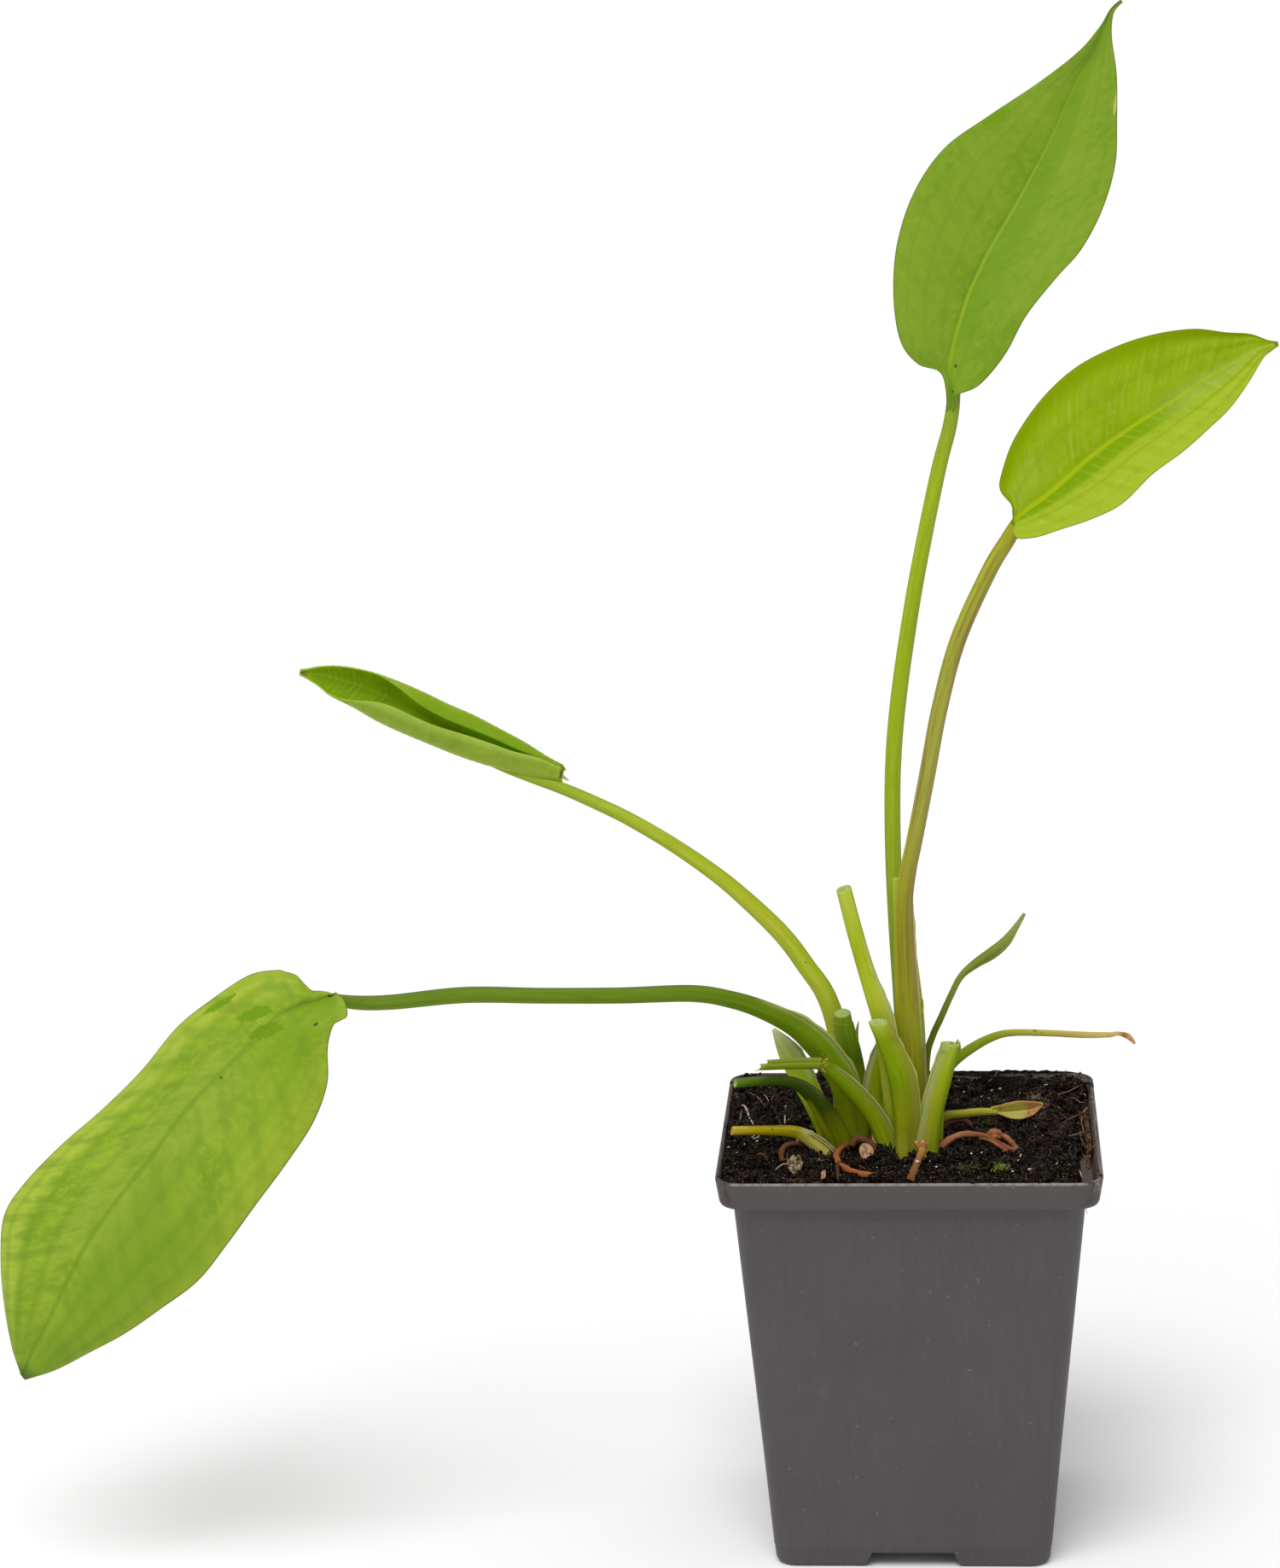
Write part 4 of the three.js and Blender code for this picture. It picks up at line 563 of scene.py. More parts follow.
# The colours of each stalk: stops from the foot to the end, the lines and the tinted sides. A tint
# is its colour, the cosines of the angle round the stalk between which it grows, its start and
# end along the stalk, and its share. Flecks are their colour, size and least noise.
STALK_LOOKS = {
    "green": {
        "stops": [
            (0.0, (170, 180, 40)), (0.12, (150, 168, 30)), (0.3, (146, 166, 44)), (0.45, (157, 179, 26)),
            (0.75, (162, 184, 34)), (0.84, (150, 172, 50)), (0.93, (142, 168, 46)), (1.0, (136, 164, 46)),
        ],
        "streak": (122, 146, 30), "lines": 0.35, "light": (190, 206, 90),
        "tints": [((160, 166, 84), 0.5, 0.95, 0.1, 0.9, 0.5)], "flecks": ((96, 90, 30), 0.5, 0.76),
    },
    "purple": {
        "stops": [
            (0.0, (176, 170, 60)), (0.12, (148, 156, 24)), (0.3, (146, 142, 34)), (0.42, (154, 152, 50)),
            (0.55, (164, 166, 72)), (0.75, (166, 172, 58)), (0.9, (164, 168, 40)), (1.0, (168, 184, 10)),
        ],
        "streak": (130, 100, 44), "lines": 0.75, "light": (186, 190, 50),
        "tints": [((158, 128, 96), 0.3, 0.9, 0.2, 0.96, 0.6), ((180, 184, 20), -0.55, -0.9, 0.0, 0.5, 0.6)],
    },
    "dark": {
        "stops": [
            (0.0, (160, 164, 30)), (0.1, (130, 144, 8)), (0.2, (122, 150, 4)), (0.38, (98, 128, 2)),
            (0.6, (106, 134, 24)), (0.9, (114, 142, 38)), (1.0, (122, 150, 40)),
        ],
        "streak": (78, 104, 2), "lines": 0.35, "light": (120, 150, 30),
        "tints": [
            ((170, 178, 96), 0.45, 0.95, 0.14, 0.42, 0.8), ((100, 120, 62), 0.6, 1.0, 0.45, 1.0, 0.5),
            ((126, 152, 20), -0.3, -0.9, 0.4, 1.0, 0.4),
        ],
    },
    "lime": {
        "stops": [
            (0.0, (176, 178, 60)), (0.2, (182, 192, 50)), (0.4, (182, 192, 50)), (0.6, (172, 186, 42)),
            (0.75, (158, 180, 50)), (1.0, (144, 170, 46)),
        ],
        "streak": (140, 160, 30), "lines": 0.3, "light": (206, 212, 110),
        "tints": [((146, 164, 20), 0.3, 0.9, 0.1, 0.6, 0.5)], "flecks": ((110, 80, 30), 0.5, 0.75),
    },
    "front": {
        "stops": [
            (0.0, (190, 186, 80)), (0.14, (184, 178, 60)), (0.3, (150, 156, 20)), (0.6, (124, 150, 0)),
            (0.9, (138, 163, 4)), (1.0, (176, 190, 60)),
        ],
        "streak": (104, 118, 0), "pith": (220, 224, 180), "light": (164, 174, 10),
        "tints": [((146, 138, 50), 0.1, 0.7, 0.2, 0.97, 0.75), ((104, 128, 0), -0.5, -0.95, 0.2, 0.9, 0.6)],
    },
    "right": {
        "stops": [
            (0.0, (190, 184, 90)), (0.15, (154, 158, 40)), (0.4, (148, 156, 16)), (0.7, (152, 170, 18)),
            (1.0, (168, 184, 60)),
        ],
        "streak": (124, 142, 0), "pith": (206, 214, 150), "light": (176, 186, 40),
        "tints": [((166, 168, 108), 0.0, -0.7, 0.2, 1.1, 0.85), ((118, 148, 0), 0.4, 0.8, 0.2, 1.0, 0.8)],
    },
    "bent": {
        "stops": [
            (0.0, (170, 170, 60)), (0.15, (134, 142, 14)), (0.4, (128, 146, 2)), (0.8, (112, 140, 2)),
            (1.0, (108, 136, 10)),
        ],
        "streak": (96, 116, 0), "light": (150, 162, 20), "pith": (190, 160, 100),
        # The first tint, greyish along the upper side, stands partly for the sheath's thin membrane and
        # partly for a painted reflection.
        "tints": [((140, 134, 66), 0.3, 0.85, 0.15, 0.85, 0.75), ((94, 116, 0), -0.5, -0.9, 0.2, 1.0, 0.5)],
    },
    "stub": {
        "stops": [
            (0.0, (156, 160, 24)), (0.2, (150, 156, 10)), (0.4, (126, 140, 0)), (0.55, (80, 108, 0)),
            (0.8, (116, 142, 18)), (1.0, (124, 152, 34)),
        ],
        "streak": (62, 88, 0), "light": (120, 140, 4), "pith": (196, 206, 140), "lines": 0.45,
        "tints": [((124, 150, 36), -0.2, -0.8, 0.6, 1.1, 0.8)],
    },
    "hollow": {
        "stops": [
            (0.0, (136, 136, 20)), (0.14, (134, 140, 6)), (0.28, (104, 114, 0)), (0.42, (60, 74, 0)),
            (0.6, (52, 70, 0)), (0.85, (62, 90, 0)), (1.0, (92, 124, 20)),
        ],
        "streak": (44, 58, 0), "light": (80, 98, 0), "pith": (190, 204, 120), "lines": 0.4,
        "tints": [
            # The first tint, grey-green along the upper side of the outer part, is a painted highlight.
            ((104, 120, 74), 0.4, 0.85, 0.5, 1.1, 0.5), ((136, 140, 16), -0.2, -0.8, 0.18, 0.52, 0.9),
        ],
    },
    "yellow": {
        "stops": [
            (0.0, (188, 174, 94)), (0.3, (184, 172, 86)), (0.52, (168, 160, 60)), (0.62, (150, 142, 10)),
            (0.85, (190, 168, 0)), (1.0, (214, 180, 60)),
        ],
        "streak": (128, 118, 20), "flecks": ((60, 44, 16), 0.9, 0.7), "pith": (214, 180, 90),
        "flesh": (176, 136, 60),
        "tints": [((170, 160, 130), 0.45, 0.9, 0.0, 0.55, 0.8), ((96, 76, 6), 0.6, 0.95, 0.7, 0.9, 0.5)],
        "light": (190, 200, 60),
    },
    "pale": {
        "stops": [
            (0.0, (170, 170, 60)), (0.3, (150, 160, 20)), (0.6, (160, 182, 34)), (0.8, (184, 198, 104)),
            (1.0, (224, 226, 170)),
        ],
        "streak": (124, 152, 20), "lines": 0.3, "light": (180, 196, 70),
        "tints": [
            ((190, 194, 150), 0.2, 0.7, 0.55, 0.9, 0.7), ((160, 186, 20), -0.5, -0.9, 0.1, 0.6, 0.7),
            ((120, 150, 30), 0.7, 0.98, 0.5, 0.8, 0.8),
        ],
    },
    "long": {
        "stops": [
            (0.0, (176, 176, 60)), (0.3, (152, 164, 30)), (0.55, (180, 190, 50)), (0.8, (176, 192, 34)),
            (1.0, (188, 200, 70)),
        ],
        "streak": (132, 156, 16), "light": (200, 208, 100), "pith": (226, 226, 170), "side_shade": 0.6,
        "tints": [((190, 192, 120), 0.4, 0.9, 0.25, 0.8, 0.7)],
    },
    "sheath": {
        "stops": [
            (0.0, (190, 180, 100)), (0.15, (140, 146, 24)), (0.35, (150, 162, 14)), (0.8, (144, 168, 6)),
            (1.0, (128, 156, 2)),
        ],
        "streak": (108, 130, 0), "light": (160, 176, 30),
        "tints": [
            ((180, 178, 120), -0.2, -0.7, 0.4, 0.96, 0.9), ((120, 96, 84), -0.86, -0.99, 0.4, 0.9, 0.6),
        ],
    },
    "upright": {
        "stops": [
            (0.0, (150, 150, 50)), (0.3, (110, 126, 30)), (0.5, (136, 150, 56)), (0.7, (128, 142, 54)),
            (0.85, (138, 156, 70)), (1.0, (160, 166, 100)),
        ],
        "streak": (92, 108, 30), "light": (160, 170, 80),
    },
    "withered": {
        "stops": [
            (0.0, (170, 174, 70)), (0.15, (168, 174, 40)), (0.3, (122, 144, 4)), (0.46, (140, 158, 36)),
            (0.58, (182, 176, 70)), (0.7, (206, 184, 104)), (0.84, (218, 186, 124)), (0.89, (150, 104, 60)),
            (0.93, (216, 170, 112)), (1.0, (214, 160, 110)),
        ],
        "streak": (146, 138, 50), "flecks": ((120, 80, 36), 1.1, 0.68), "light": (200, 196, 110),
    },
    "fading": {
        "stops": [
            (0.0, (146, 160, 26)), (0.3, (168, 174, 42)), (0.6, (190, 186, 66)), (1.0, (194, 188, 70)),
        ],
        "streak": (138, 128, 40), "flecks": ((84, 52, 24), 1.1, 0.7), "light": (190, 186, 80),
    },
    "brown": {
        "stops": [
            (0.0, (112, 96, 30)), (0.15, (136, 90, 52)), (0.35, (176, 112, 76)), (0.6, (158, 96, 62)),
            (0.8, (136, 80, 56)), (1.0, (166, 108, 80)),
        ],
        "streak": (60, 32, 20), "light": (196, 134, 92), "lines": 0.95, "rough": 0.6, "scatter": 0.0,
    },
    "orange": {
        "stops": [(0.0, (104, 66, 38)), (0.3, (156, 94, 52)), (0.6, (182, 106, 60)), (1.0, (178, 102, 60))],
        "streak": (72, 36, 16), "light": (200, 130, 80), "lines": 0.85, "rough": 0.6, "scatter": 0.0,
    },
    "umber": {
        "stops": [(0.0, (100, 66, 30)), (0.4, (104, 68, 46)), (1.0, (92, 60, 40))], "streak": (48, 26, 16),
        "light": (136, 90, 64), "lines": 0.8, "rough": 0.6, "scatter": 0.0,
    },
    "tan": {
        "stops": [
            (0.0, (120, 80, 44)), (0.6, (154, 102, 58)), (0.85, (176, 118, 56)), (1.0, (214, 172, 84)),
        ],
        "streak": (90, 54, 28), "light": (204, 156, 90), "lines": 0.6, "rough": 0.65, "scatter": 0.0,
        "flecks": ((60, 36, 20), 0.9, 0.68),
    },
}


def rgb(red, green, blue):
    """The linear values that a shader takes for a colour of these screen values"""
    def linear(value):
        share = value / 255
        straight = share / 12.92 if share <= 0.04045 else ((share + 0.055) / 1.055) ** 2.4
        return straight / FACING_LIGHT
    return (linear(red), linear(green), linear(blue), 1.0)


# Curves and shapes. A shape is its points, its faces and a value of each attribute per point.

def through(points, places):
    """Points on a smooth line through the given ones, at places from 0 to 1 along the list"""
    known = np.asarray(points, float)
    if known.ndim == 1:
        known = known[:, None]
    known = np.vstack([2 * known[0] - known[1], known, 2 * known[-1] - known[-2]])
    place = np.clip(np.asarray(places, float), 0, 1) * (len(known) - 3)
    index = np.minimum(place.astype(int), len(known) - 4)
    rest = (place - index)[:, None]
    a, b, c, d = known[index], known[index + 1], known[index + 2], known[index + 3]
    bend = (2 * a - 5 * b + 4 * c - d) * rest ** 2 + (3 * b - 3 * c + d - a) * rest ** 3
    return 0.5 * (2 * b + (c - a) * rest + bend)


def unit(vectors):
    return vectors / np.maximum(np.linalg.norm(vectors, axis=-1, keepdims=True), 1e-9)


def smoothstep(low, high, value):
    share = np.clip((value - low) / (high - low), 0, 1)
    return share * share * (3 - 2 * share)


def full_turn(count):
    """Angles all the way round"""
    return np.linspace(0, 2 * np.pi, count, endpoint=False)


def stacked(*arrays):
    """Vectors made of one array for each axis"""
    return np.stack(np.broadcast_arrays(*arrays), axis=-1)


def travelled(points):
    """The way along a line to each of its points"""
    return np.concatenate([[0], np.cumsum(np.linalg.norm(np.diff(points, axis=0), axis=1))])


def directions(route, places):
    """Centre of a stalk at each place, with the way along it, to its side and to its front"""
    step = 0.003
    ahead = unit(through(route, places + step) - through(route, places - step))
    side = unit(np.cross(ahead, FRONT))
    face = np.cross(side, ahead)
    return through(route, places), ahead, side, face


def ringed(centre, side, face, across, forward):
    """Rings round the points of a line, from the millimetres to its side and to its front"""
    beside = centre[:, None, :] + side[:, None, :] * across[:, :, None]
    return beside + face[:, None, :] * forward[:, :, None]


def loft(rings, **attributes):
    """A closed shape through rings of points, with a fan over each end"""
    count, around = rings.shape[:2]
    points = np.vstack([rings.reshape(-1, 3), rings[0].mean(0), rings[-1].mean(0)])
    faces = []
    for row in range(count - 1):
        for column in range(around):
            beside = (column + 1) % around
            low, high = row * around, (row + 1) * around
            faces.append((low + column, low + beside, high + beside, high + column))
    first, last = count * around, count * around + 1
    top = (count - 1) * around
    for column in range(around):
        beside = (column + 1) % around
        faces.append((first, beside, column))
        faces.append((last, top + column, top + beside))
    values = {}
    for name, given in attributes.items():
        given = np.broadcast_to(given, (count, around, 3))
        values[name] = np.vstack([given.reshape(-1, 3), given[0].mean(0), given[-1].mean(0)])
    return {"points": points, "faces": faces, "values": values}


def joined(shapes):
    """Several shapes as one"""
    points = np.vstack([shape["points"] for shape in shapes])
    faces = []
    offset = 0
    for shape in shapes:
        faces += [tuple(corner + offset for corner in face) for face in shape["faces"]]
        offset += len(shape["points"])
    values = {}
    for name in set().union(*(shape["values"] for shape in shapes)):
        values[name] = np.vstack([
            shape["values"].get(name, np.zeros((len(shape["points"]), 3))) for shape in shapes
        ])
    return {"points": points, "faces": faces, "values": values}


def mesh_of(name, shape):
    """A mesh of a shape that is given in millimetres"""
    mesh = bpy.data.meshes.new(name)
    mesh.from_pydata((shape["points"] * MM).tolist(), [], shape["faces"])
    return mesh


def linked(name, data):
    """A new object in the scene"""
    made = bpy.data.objects.new(name, data)
    bpy.context.scene.collection.objects.link(made)
    return made


def add_piece(name, shape, material, stands_for=None, smooth=True):
    """A shape as a piece of the object, which stands for a node of the plain solids"""
    mesh = mesh_of(name, shape)
    for key, given in shape["values"].items():
        layer = mesh.attributes.new(key, "FLOAT_VECTOR", "POINT")
        layer.data.foreach_set("vector", np.ascontiguousarray(given, np.float32).ravel())
    mesh.update()
    piece = linked(name, mesh)
    mesh.materials.append(material)
    if smooth:
        mesh.shade_smooth()
    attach(piece, "root")
    if stands_for:
        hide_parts(stands_for)
    return piece


class Paint:
    """A material's nodes, built up by short calls"""

    def __init__(self, name):
        self.material = bpy.data.materials.new(name)
        self.material.use_nodes = True
        self.tree = self.material.node_tree
        self.shader = self.tree.nodes["Principled BSDF"]

    def feed(self, socket, value):
        """Links a node's output to a socket, or sets its value. A tuple of three is a colour."""
        if isinstance(value, bpy.types.NodeSocket):
            self.tree.links.new(value, socket)
        elif isinstance(value, tuple) and len(value) == 3:
            socket.default_value = rgb(*value)
        else:
            socket.default_value = value

    def node(self, kind, *values, **settings):
        """A node with its settings and its first inputs"""
        made = self.tree.nodes.new(kind)
        for key, value in settings.items():
            setattr(made, key, value)
        for socket, value in zip(made.inputs, values):
            self.feed(socket, value)
        return made

    def attribute(self, name):
        return self.node("ShaderNodeAttribute", attribute_name=name).outputs["Vector"]

    def parts(self, vector):
        return tuple(self.node("ShaderNodeSeparateXYZ", vector).outputs)

    def values(self, name):
        """The three parts of an attribute"""
        return self.parts(self.attribute(name))

    def vector(self, x, y, z):
        return self.node("ShaderNodeCombineXYZ", x, y, z).outputs[0]

    def stretched(self, vector, scale):
        made = self.node("ShaderNodeVectorMath", vector, operation="MULTIPLY")
        made.inputs[1].default_value = scale
        return made.outputs[0]

    def place(self):
        """Place on the object in millimetres"""
        return self.stretched(self.node("ShaderNodeTexCoord").outputs["Object"], (1000, 1000, 1000))

    def calc(self, operation, *values):
        return self.node("ShaderNodeMath", *values, operation=operation).outputs[0]

    def times(self, *values):
        product = values[0]
        for value in values[1:]:
            product = self.calc("MULTIPLY", product, value)
        return product

    def plus(self, *values):
        total = values[0]
        for value in values[1:]:
            total = self.calc("ADD", total, value)
        return total

    def minus(self, first, second):
        return self.calc("SUBTRACT", first, second)

    def size(self, value):
        return self.calc("ABSOLUTE", value)

    def ease(self, value, low, high, start=0.0, end=1.0):
        """From start to end while the value goes from low to high"""
        made = self.node("ShaderNodeMapRange", value, low, high, start, end,
                         interpolation_type="SMOOTHSTEP")
        return made.outputs[0]

    def noise(self, vector, scale, detail, roughness):
        made = self.node("ShaderNodeTexNoise", vector)
        made.inputs["Scale"].default_value = scale
        made.inputs["Detail"].default_value = detail
        made.inputs["Roughness"].default_value = roughness
        return made.outputs[0]

    def cells(self, vector, scale):
        made = self.node("ShaderNodeTexVoronoi", vector)
        made.inputs["Scale"].default_value = scale
        return made.outputs["Distance"]

    def mix(self, share, first, second):
        made = self.node("ShaderNodeMix", share, data_type="RGBA")
        self.feed(made.inputs[6], first)
        self.feed(made.inputs[7], second)
        return made.outputs[2]

    def tinted(self, colour, tint, value, low, high, end=1.0, start=0.0):
        """A colour whose share of the tint goes from start to end as the value goes from low
        to high"""
        return self.mix(self.ease(value, low, high, start, end), colour, tint)

    def ramp(self, value, stops):
        made = self.node("ShaderNodeValToRGB", value)
        elements = made.color_ramp.elements
        elements[0].position, elements[0].color = stops[0][0], rgb(*stops[0][1])
        elements[1].position, elements[1].color = stops[-1][0], rgb(*stops[-1][1])
        for position, colour in stops[1:-1]:
            elements.new(position).color = rgb(*colour)
        return made.outputs[0]

    def bump(self, height, distance, strength):
        made = self.node("ShaderNodeBump")
        made.inputs["Strength"].default_value = strength
        made.inputs["Distance"].default_value = distance * MM
        self.feed(made.inputs["Height"], height)
        self.feed(self.shader.inputs["Normal"], made.outputs[0])

    def surface(self, colour, roughness, specular, scatter=0.0):
        self.feed(self.shader.inputs["Base Color"], colour)
        self.feed(self.shader.inputs["Roughness"], roughness)
        self.shader.inputs["Specular IOR Level"].default_value = specular
        if scatter:
            self.shader.inputs["Subsurface Weight"].default_value = scatter
            self.shader.inputs["Subsurface Radius"].default_value = (0.6, 0.8, 0.1)
            self.shader.inputs["Subsurface Scale"].default_value = 1.2 * MM
        return self.material


# Leaf blades

def open_blade(rows, lifts):
    """The middle surface of an open blade from its rows. Lifts are how far each half stands
    forward, in millimetres, at even places from the midrib to its margin."""
    left, midrib, right = zip(*rows)

    def surface(across, along):
        middle = through(midrib, along)[:, None, :]
        share = np.abs(across)
        sheet = np.zeros((len(along), len(across), 3))
        for margin, lift, chosen in ((left, lifts[0], across < 0), (right, lifts[1], across >= 0)):
            reach = through(margin, along)[:, None, :] - middle
            span = np.linalg.norm(reach, axis=2, keepdims=True)
            forward = through(lift, share)[None, :, :] * np.minimum(1, span / FULL_LIFT_SPAN)
            half = middle + reach * share[None, :, None] + forward * FRONT
            sheet[:, chosen] = half[:, chosen]
        return sheet
    return surface


def rolled_blade(across, along):
    """The middle surface of the rolled blade: round its axis from the near margin, under and
    behind past the midrib, and over the top to the far margin, which is tucked in"""
    rows = np.array(ROLLED_LEAF, float)
    centre, _, up, face = directions(rows[:, :3], along)
    radius, near, midrib, far = through(rows[:, 3:], along).T[:, :, None]
    margin = np.where(across < 0, near, far)
    turn = np.radians(midrib + (margin - midrib) * np.abs(across))
    tuck = 1 - 0.16 * smoothstep(0.55, 1.0, across) * smoothstep(0.6, 0.35, along[:, None])
    flare = 1 + 0.06 * smoothstep(-0.7, -1.0, across)
    forward = radius * tuck * flare * ROLL_FLATNESS * np.cos(turn)
    return ringed(centre, face, up, forward, radius * tuck * np.sin(turn))


def blade_shape(surface, columns, count, relief=None, trim=None):
    """A thin leaf over a middle surface: rounded at the margin, thicker at the midrib. Blade holds
    the place across and along and the face, 1 above and -1 below. Reach holds millimetres from
    the midrib, millimetres from the foot and the width of the half."""
    across = np.linspace(-1, 1, columns)
    along = np.linspace(0, 1, count)
    sheet = surface(across, along)
    if trim:
        sheet = trim(sheet, across, along)
    across, along = across[None, :], along[:, None]
    normal = unit(np.cross(np.gradient(sheet, axis=1), np.gradient(sheet, axis=0)))
    steps = np.linalg.norm(np.diff(sheet, axis=1), axis=2)
    middle = columns // 2
    left_span, right_span = steps[:, :middle].sum(1), steps[:, middle:].sum(1)
    span = np.where(across < 0, left_span[:, None], right_span[:, None])
    away = np.abs(across) * span
    far = travelled(sheet[:, middle])[:, None]
    if relief:
        sheet = sheet + normal * relief(across, along, away, far)[:, :, None]
    margin = 0.5 * BLADE_THICKNESS * np.sqrt(np.clip(1 - np.abs(across) ** 24, 0.02, 1))
    rib = RIB_RISE * np.exp(-(away / RIB_SPREAD) ** 2) * (1 - 0.5 * along)
    above = sheet + normal * margin[:, :, None]
    below = sheet - normal * (margin + rib)[:, :, None]
    reach = stacked(across * span, far, span)

    def wrapped(over, under):
        """Both faces as rings that run round the leaf"""
        return np.concatenate([over, under[:, ::-1]], axis=1)[:, ::-1]
    blade = wrapped(stacked(across, along, 1.0), stacked(across, along, -1.0))
    return loft(wrapped(above, below), blade=blade, reach=wrapped(reach, reach))


def tall_relief(across, along, away, far):
    """A shallow channel over the midrib and low swells between the long veins"""
    swell = 0.1 * np.sin(across * 7 + 0.6) * np.sin(along * 9 + across * 2)
    return swell - 0.25 * np.exp(-(away / 0.9) ** 2) * (1 - 0.8 * along)


def right_relief(across, along, away, far):
    """Long soft folds that run along with the veins"""
    middle = smoothstep(0.02, 0.3, along) * smoothstep(1.0, 0.8, along)
    fold = 0.22 * np.sin(np.abs(across) * 12 + 0.5) * smoothstep(0.05, 0.3, np.abs(across)) * middle
    return fold - 0.45 * np.exp(-(away / 1.3) ** 2) * (1 - 0.8 * along)


def hanging_relief(across, along, away, far):
    """Slanting waves on the upper half of the hanging leaf and soft swells on the other half"""
    waves = np.sin(2 * np.pi * (far - 0.5 * away) / 5.2 + 1.6 * np.sin(far / 6))
    finer = 0.3 * np.sin(2 * np.pi * (far - 0.5 * away) / 2.3)
    upper = smoothstep(0.15, 0.45, across) * smoothstep(1.0, 0.8, across)
    middle = smoothstep(0.2, 0.45, along) * smoothstep(0.97, 0.8, along)
    lower = smoothstep(-0.1, -0.4, across) * 0.16 * np.sin(along * 24 + across * 5) * np.sin(across * 8)
    return (0.09 * (waves + finer) * upper + lower) * middle - 0.3 * np.exp(-away ** 2) * (1 - along)


def rolled_relief(across, along, away, far):
    """Low rungs across the rolled leaf and a wavy near margin"""
    rungs = 0.04 * np.sin(2 * np.pi * (far - 0.4 * away) / 1.7)
    margin = 0.3 * smoothstep(-0.75, -1.0, across) * np.sin(along * 21 + 1.0)
    return (rungs + margin) * smoothstep(1.0, 0.8, along)


def torn_foot(sheet, across, along):
    """The torn edge where the rolled leaf broke away from its sheath"""
    away = unit(sheet[1] - sheet[0])
    ragged = 0.25 * np.sin(across * 9 + 0.4) + 0.2 * np.sin(across * 23) + 0.12 * np.sin(across * 51)
    ragged = ragged + 1.1 * smoothstep(0.3, 0.9, np.abs(across))
    weight = np.clip(1 - along / 0.07, 0, 1)[:, None, None]
    return sheet + away[None, :, :] * ragged[None, :, None] * weight


class LeafPaint(Paint):
    """A paint with the places on a blade and the patterns over it"""

    def __init__(self, name, look):
        super().__init__(name)
        self.look = look
        self.across, self.along, self.face = self.values("blade")
        self.from_rib, self.far, self.span = self.values("reach")
        self.away = self.size(self.from_rib)
        self.inside = self.minus(self.span, self.away)
        self.flat = self.vector(self.from_rib, self.far, 0.0)
        self.mottle = self.noise(self.flat, 0.5, 4, 0.65)
        self.cloud = self.noise(self.flat, 0.09, 2, 0.5)
        self.fine = self.noise(self.flat, 2.6, 3, 0.65)

    def green(self):
        look = self.look
        colour = self.tinted(look["deep"], look["pale"], self.cloud, 0.36, 0.64)
        colour = self.tinted(colour, look["blotch"], self.mottle, 0.4, 0.64, look["mottle"])
        return self.tinted(colour, look["pale"], self.fine, 0.4, 0.7, 0.35)

    def banded(self, colour, bands, soft, uneven):
        for (low, high, near, wide, share, tint) in bands:
            start = self.ease(self.along, low - 0.06, low + 0.06)
            end = self.ease(self.along, high - 0.08, high + 0.08, 1.0, 0.0)
            gap = self.size(self.minus(self.across, near))
            reach = self.ease(gap, wide * soft, wide, share, 0.0)
            colour = self.mix(self.times(start, end, reach, uneven), colour, tint)
        return colour

    def runged(self, colour):
        """The slanting cross veins, as a colour and as ridges"""
        ridges = 0.0
        drifting = self.minus(self.noise(self.flat, 0.2, 2, 0.5), 0.5)
        patchy = self.ease(self.noise(self.flat, 0.22, 1, 0.5), 0.35, 0.6)
        for (spacing, slope, thin, share, low, high, tint) in self.look["rungs"]:
            slant = self.calc("DIVIDE", self.minus(self.far, self.times(self.away, slope)), spacing)
            slant = self.plus(slant, self.times(drifting, 1.5 / spacing))
            wave = self.calc("SINE", self.times(slant, 2 * math.pi))
            where = self.times(self.ease(self.across, low - 0.12, low + 0.12),
                               self.ease(self.across, high - 0.12, high + 0.12, 1.0, 0.0))
            line = self.times(self.ease(wave, thin, 1.0), where, patchy)
            colour = self.mix(self.times(line, share), colour, tint)
            ridges = self.plus(line, ridges)
        return colour, ridges

    def veined(self, colour):
        """The long veins, as a colour and as ridges"""
        veins = 0.0
        drift = self.times(self.minus(self.cloud, 0.5), 0.06)
        for (position, width, strength) in self.look["veins"]:
            gap = self.size(self.minus(self.plus(self.across, drift), position))
            line = self.ease(self.times(gap, self.span), 0.0, width, strength, 0.0)
            veins = self.calc("MAXIMUM", line, veins)
        uneven = self.ease(self.mottle, 0.3, 0.6, 0.5, 1.0)
        veins = self.times(veins, self.ease(self.along, 1.0, 0.9), uneven,
                           self.ease(self.along, 0.55, 0.9, 1.0, 1.7))
        return self.mix(veins, colour, self.look["vein"]), veins

    def ribbed(self, colour):
        foot, tip, most, least, start = self.look["rib"]
        width = self.ease(self.along, 0.0, 0.9, foot, tip)
        midrib = self.ease(self.calc("DIVIDE", self.away, width), 0.35, 1.0, 1.0, 0.0)
        strength = self.times(self.ease(self.along, 0.3, 0.95, most, least),
                              self.ease(self.along, start, start + 0.08))
        return self.mix(self.times(midrib, strength), colour, self.look["rib_colour"])

    def spotted(self, colour):
        for ((at, beyond), (long, broad), turn, ragged, tint) in self.look.get("spots", []):
            cosine, sine = math.cos(math.radians(turn)), math.sin(math.radians(turn))
            right, up = self.minus(self.from_rib, at), self.minus(self.far, beyond)
            length = self.plus(self.times(right, cosine / long), self.times(up, sine / long))
            breadth = self.plus(self.times(up, cosine / broad), self.times(right, -sine / broad))
            reach = self.plus(self.times(length, length), self.times(breadth, breadth))
            uneven = self.minus(self.noise(self.flat, 0.8, 3, 0.6), 0.5)
            reach = self.plus(reach, self.times(uneven, ragged))
            colour = self.tinted(colour, tint, reach, 0.85, 1.1, 0.0, 0.9)
        return colour

    def underside(self):
        look = self.look
        light, dark = look.get("under_light", look["pale"]), look.get("under_dark", look["deep"])
        colour = self.tinted(look["under"][0], light, self.mottle, 0.4, 0.7, 0.5)
        colour = self.tinted(colour, dark, self.cloud, 0.5, 0.7, 0.6)
        return self.banded(colour, look.get("under_light_and_shade", []), 0.3, 1.0)


